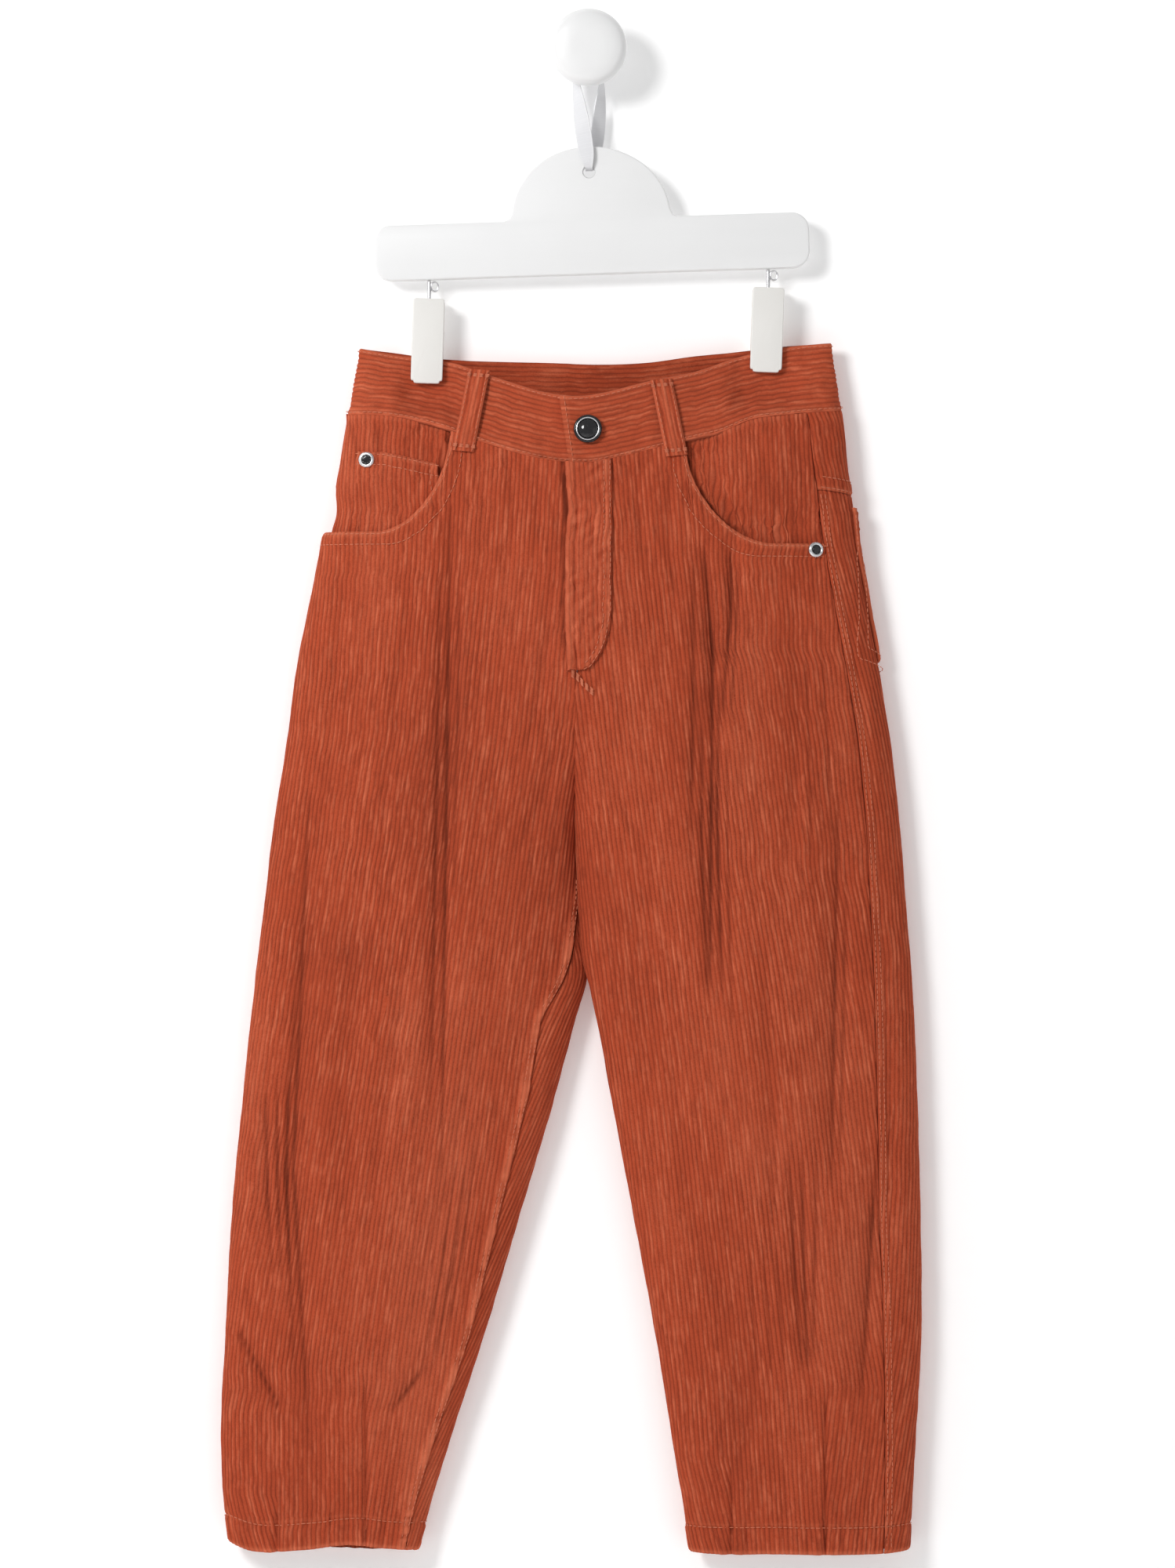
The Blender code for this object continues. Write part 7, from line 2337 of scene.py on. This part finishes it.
class ClothSettings(bpy.types.PropertyGroup):
    """Sizes and colours of the corduroy and its stitching."""

    pitch: FloatProperty(
        name="Wale pitch", description="Distance from one wale to the next",
        default=0.00265, min=0.001, max=0.008, subtype="DISTANCE", unit="LENGTH",
    )
    wale_height: FloatProperty(
        name="Wale height", description="Height of the pile over the ground between the wales",
        default=0.00046, min=0.0, max=0.002, subtype="DISTANCE", unit="LENGTH",
    )
    stitch_pitch: FloatProperty(
        name="Stitch pitch", description="Distance from one stitch to the next",
        default=0.0031, min=0.001, max=0.01, subtype="DISTANCE", unit="LENGTH",
    )
    stitch_length: FloatProperty(
        name="Stitch length", description="Length of the thread that shows in each stitch",
        default=0.0026, min=0.001, max=0.01, subtype="DISTANCE", unit="LENGTH",
    )
    thread_thickness: FloatProperty(
        name="Thread thickness", description="Thickness of the sewing thread",
        default=0.00055, min=0.0001, max=0.002, subtype="DISTANCE", unit="LENGTH",
    )
    colour: FloatVectorProperty(
        name="Cloth", description="Colour of the pile", default=(0.430, 0.066, 0.025),
        size=3, min=0.0, max=1.0, subtype="COLOR",
    )
    # Pale pile: brushed patches, worn edges and painted sheen along the wale tops.
    pale_and_sheen_colour: FloatVectorProperty(
        name="Brushed pile", description="Colour of the pile where it is brushed or worn",
        default=(0.630, 0.168, 0.084), size=3, min=0.0, max=1.0, subtype="COLOR",
    )
    # The ground between the wales, darker as painted shade in the recesses; sharp folds are painted darker
    # still from it.
    valley_shade_colour: FloatVectorProperty(
        name="Ground", description="Colour of the ground between the wales",
        default=(0.200, 0.031, 0.013), size=3, min=0.0, max=1.0, subtype="COLOR",
    )
    thread_colour: FloatVectorProperty(
        name="Thread", description="Colour of the sewing thread", default=(0.60, 0.165, 0.080),
        size=3, min=0.0, max=1.0, subtype="COLOR",
    )


class FittingSettings(bpy.types.PropertyGroup):
    """Sizes and colours of the hanger, the knob, the clips and the metal."""

    knob_radius: FloatProperty(
        name="Knob radius", description="Radius of the knob's face", default=KNOB_RADIUS * MM,
        min=0.01, max=0.05, subtype="DISTANCE", unit="LENGTH",
    )
    board_edge: FloatProperty(
        name="Board edge", description="Radius of the board's eased edges", default=BOARD_CHAMFER * MM,
        min=0.0002, max=0.003, subtype="DISTANCE", unit="LENGTH",
    )
    round_sides: IntProperty(
        name="Round sides", description="Sides of a small turned piece", default=48, min=16, max=96,
    )
    wood_colour: FloatVectorProperty(
        name="Paint", description="Colour of the board and the knob", default=(0.815, 0.815, 0.815),
        size=3, min=0.0, max=1.0, subtype="COLOR",
    )
    plastic_colour: FloatVectorProperty(
        name="Clips", description="Colour of the clips", default=(0.775, 0.76, 0.73),
        size=3, min=0.0, max=1.0, subtype="COLOR",
    )


class StageSettings(bpy.types.PropertyGroup):
    """The camera, the lights and what stands behind and below."""

    camera_distance: FloatProperty(
        name="Camera distance", description="Distance from the garment to the camera",
        default=3.0, min=1.0, max=10.0, subtype="DISTANCE", unit="LENGTH",
    )
    key_power: FloatProperty(
        name="Key light", description="Power of the main soft light", default=22.8, min=0.0, unit="POWER",
    )
    fill_power: FloatProperty(
        name="Fill light", description="Power of the light from the other side", default=4.0,
        min=0.0, unit="POWER",
    )
    surround: FloatProperty(
        name="Surround", description="Strength of the light from all round", default=0.44, min=0.0,
    )
    wall_glow: FloatProperty(
        name="Wall glow", description="Light that the wall gives off itself", default=0.12, min=0.0,
    )
    wall_colour: FloatVectorProperty(
        name="Wall", description="Colour of the wall and the floor", default=(0.97, 0.97, 0.97),
        size=3, min=0.0, max=1.0, subtype="COLOR",
    )


# ---------------------------------------------------------------- operators

# Where the camera looks, the wall and the floor, and the lights, in metres
SEEN_CENTRE = (-0.0005, -0.0205, -0.4217)
SEEN_HEIGHT = 0.9
SENSOR = 36.0
FLOOR_LEVEL = -1.12
FLOOR_REACH = (-3.4, 2.4)
WALL_TOP = 1.6
WALL_Y = 0.0006
STAGE_HALF = 2.4
KEY_PLACE = (-1.05, -1.55, 0.4)
FILL_PLACE = (2.4, -2.8, -0.2)
BACK_PLACE = (0.6, 3.0, 0.6)
KEY_SIZE = 0.6
SOFT_SIZE = 2.0
BACK_SHARE = 1.5


def hang(obj, slot, *nodes):
    """Let a piece ride with the whole object, and hide the solids that it stands for; the slot is not used.
    """
    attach(obj, BODY)
    if nodes:
        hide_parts(*nodes)


def hang_cloth(obj, node, rows=()):
    """Hang a cloth piece with its stitching, and drop the size that it was cut to."""
    hang(obj, "corduroy", node)
    if rows:
        stitches = stitch_rows(obj.name.replace("cloth_", "stitching_"), rows)
        hang(stitches, "corduroy")
    width, length, area = obj["cut"]
    del obj["cut"]


def look_at(obj, target):
    obj.rotation_euler = (Vector(target) - obj.location).to_track_quat("-Z", "Y").to_euler()


def soft_light(name, place, power, size):
    light = bpy.data.lights.new(name, "AREA")
    light.shape = "DISK"
    light.size = size
    light.energy = power
    obj = bpy.data.objects.new(name, light)
    obj.location = place
    bpy.context.scene.collection.objects.link(obj)
    look_at(obj, SEEN_CENTRE)


def rectangle(half, low, high):
    return ((-half, low), (half, low), (half, high), (-half, high))


def stage_plane(name, corners, material):
    mesh = bpy.data.meshes.new(name)
    mesh.from_pydata(corners, [], [(0, 1, 2, 3)])
    mesh.materials.append(bpy.data.materials[material])
    obj = bpy.data.objects.new(name, mesh)
    bpy.context.scene.collection.objects.link(obj)


class TROUSERS_OT_stage(bpy.types.Operator):
    """Make the finishes, the camera, the soft lights, the wall and the floor"""

    bl_idname = "trousers.stage"
    bl_label = "Stage and Finishes"

    def execute(self, context):
        stage = context.scene.trousers_stage
        make_materials()
        camera = bpy.data.cameras.new("camera")
        camera.sensor_width = SENSOR
        camera.lens = SENSOR * stage.camera_distance / SEEN_HEIGHT
        obj = bpy.data.objects.new("camera", camera)
        x, y, z = SEEN_CENTRE
        obj.location = (x, y - stage.camera_distance, z)
        context.scene.collection.objects.link(obj)
        look_at(obj, SEEN_CENTRE)
        context.scene.camera = obj
        soft_light("key_light", KEY_PLACE, stage.key_power, KEY_SIZE)
        soft_light("fill_light", FILL_PLACE, stage.fill_power, SOFT_SIZE)
        soft_light("back_light", BACK_PLACE, stage.key_power * BACK_SHARE, SOFT_SIZE)
        world = bpy.data.worlds.new("surround")
        world.use_nodes = True
        background = world.node_tree.nodes["Background"]
        background.inputs["Color"].default_value = (1.0, 1.0, 1.0, 1.0)
        background.inputs["Strength"].default_value = stage.surround
        context.scene.world = world
        context.scene.view_settings.view_transform = "Standard"
        stage_plane("wall", [
            (x, WALL_Y, z) for x, z in rectangle(STAGE_HALF, FLOOR_LEVEL, WALL_TOP)
        ], "wall_paint")
        stage_plane("floor", [
            (x, y, FLOOR_LEVEL) for x, y in rectangle(STAGE_HALF, *FLOOR_REACH)
        ], "floor_paint")
        return {"FINISHED"}


class TROUSERS_OT_fronts(bpy.types.Operator):
    """Make the two front panels, with their pocket mouths, felled seams, darts and hems"""

    bl_idname = "trousers.fronts"
    bl_label = "Front Panels"

    def execute(self, context):
        for side, form in FORMS.items():
            hang_cloth(front_panel(form), "front_" + side, panel_stitches(form))
        return {"FINISHED"}


class TROUSERS_OT_backs(bpy.types.Operator):
    """Make the two back panels, the yokes and the back pockets"""

    bl_idname = "trousers.backs"
    bl_label = "Back Panels, Yokes and Pockets"

    def execute(self, context):
        for side, form in FORMS.items():
            hang_cloth(back_panel(form), "back_" + side, back_stitches(form))
            hang_cloth(yoke(form), "yoke_" + side, yoke_stitches(form))
            hang_cloth(back_pocket(form), "back_pocket_" + side, back_pocket_stitches(form))
        return {"FINISHED"}


class TROUSERS_OT_hips(bpy.types.Operator):
    """Make the hip pieces inside the pocket mouths, and the coin pocket"""

    bl_idname = "trousers.hips"
    bl_label = "Hip Pieces and Coin Pocket"

    def execute(self, context):
        for side, form in FORMS.items():
            hang_cloth(pocket_facing(form), "pocket_facing_" + side)
        hang_cloth(coin_pocket(FORMS[RIGHT]), "coin_pocket", coin_pocket_stitches(FORMS[RIGHT]))
        return {"FINISHED"}


class TROUSERS_OT_waist(bpy.types.Operator):
    """Make the waistband, the belt loops and the fly"""

    bl_idname = "trousers.waist"
    bl_label = "Waistband, Loops and Fly"

    def execute(self, context):
        hang_cloth(waistband(), "waistband", band_stitches())
        for loop in LOOPS:
            hang_cloth(belt_loop(loop), loop[0], loop_stitches(loop))
        hang_cloth(fly(), "fly", fly_stitches())
        return {"FINISHED"}


class TROUSERS_OT_metal(bpy.types.Operator):
    """Make the waist button and the pocket rivets"""

    bl_idname = "trousers.metal"
    bl_label = "Button and Rivets"

    def execute(self, context):
        ring, bevel, cap = waist_button()
        hang(ring, "steel", "button_rim")
        hang(bevel, "black_cap")
        hang(cap, "black_cap", "button_cap")
        for ring, heart in pocket_rivets():
            hang(ring, "steel", ring.name.replace("_ring", ""))
            hang(heart, "black_cap")
        return {"FINISHED"}


class TROUSERS_OT_hanger(bpy.types.Operator):
    """Make the wall knob, the ribbon, the board and the clips"""

    bl_idname = "trousers.hanger"
    bl_label = "Knob, Ribbon, Board and Clips"

    def execute(self, context):
        hang(wall_knob(), "white_wood", "wall_knob")
        hang(hanger_board(), "white_wood", "hanger_board")
        for side in FORMS:
            front_jaw, back_jaw, hook = clip(side)
            hang(front_jaw, "white_plastic", "clip_%s_front_jaw" % side)
            hang(back_jaw, "white_plastic", "clip_%s_back_jaw" % side)
            hang(hook, "steel")
        loop = ribbon()
        hang(loop, "ribbon", "ribbon_loop")
        del loop["cut"]
        return {"FINISHED"}


OPERATORS = (
    TROUSERS_OT_stage, TROUSERS_OT_fronts, TROUSERS_OT_backs, TROUSERS_OT_hips, TROUSERS_OT_waist,
    TROUSERS_OT_metal, TROUSERS_OT_hanger,
)


class TROUSERS_PT_panel(bpy.types.Panel):
    """Lists the operators and the settings"""

    bl_label = "Trousers"
    bl_idname = "TROUSERS_PT_panel"
    bl_space_type = "VIEW_3D"
    bl_region_type = "UI"
    bl_category = "Trousers"

    def draw(self, context):
        for operator in OPERATORS:
            self.layout.operator(operator.bl_idname)
        for group in SETTINGS:
            box = self.layout.box()
            for name in SETTINGS[group].__annotations__:
                box.prop(getattr(context.scene, group), name)


SETTINGS = {
    "trousers_cloth": ClothSettings,
    "trousers_fittings": FittingSettings,
    "trousers_stage": StageSettings,
}


def register():
    for group in SETTINGS.values():
        bpy.utils.register_class(group)
    for operator in OPERATORS:
        bpy.utils.register_class(operator)
    bpy.utils.register_class(TROUSERS_PT_panel)
    for name, group in SETTINGS.items():
        setattr(bpy.types.Scene, name, PointerProperty(type=group))


def unregister():
    for name in SETTINGS:
        delattr(bpy.types.Scene, name)
    bpy.utils.unregister_class(TROUSERS_PT_panel)
    for operator in reversed(OPERATORS):
        bpy.utils.unregister_class(operator)
    for group in SETTINGS.values():
        bpy.utils.unregister_class(group)


def main():
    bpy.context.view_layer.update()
    register()
    bpy.ops.trousers.stage()
    bpy.ops.trousers.fronts()
    bpy.ops.trousers.backs()
    bpy.ops.trousers.hips()
    bpy.ops.trousers.waist()
    bpy.ops.trousers.metal()
    bpy.ops.trousers.hanger()


if __name__ == "__main__":
    main()
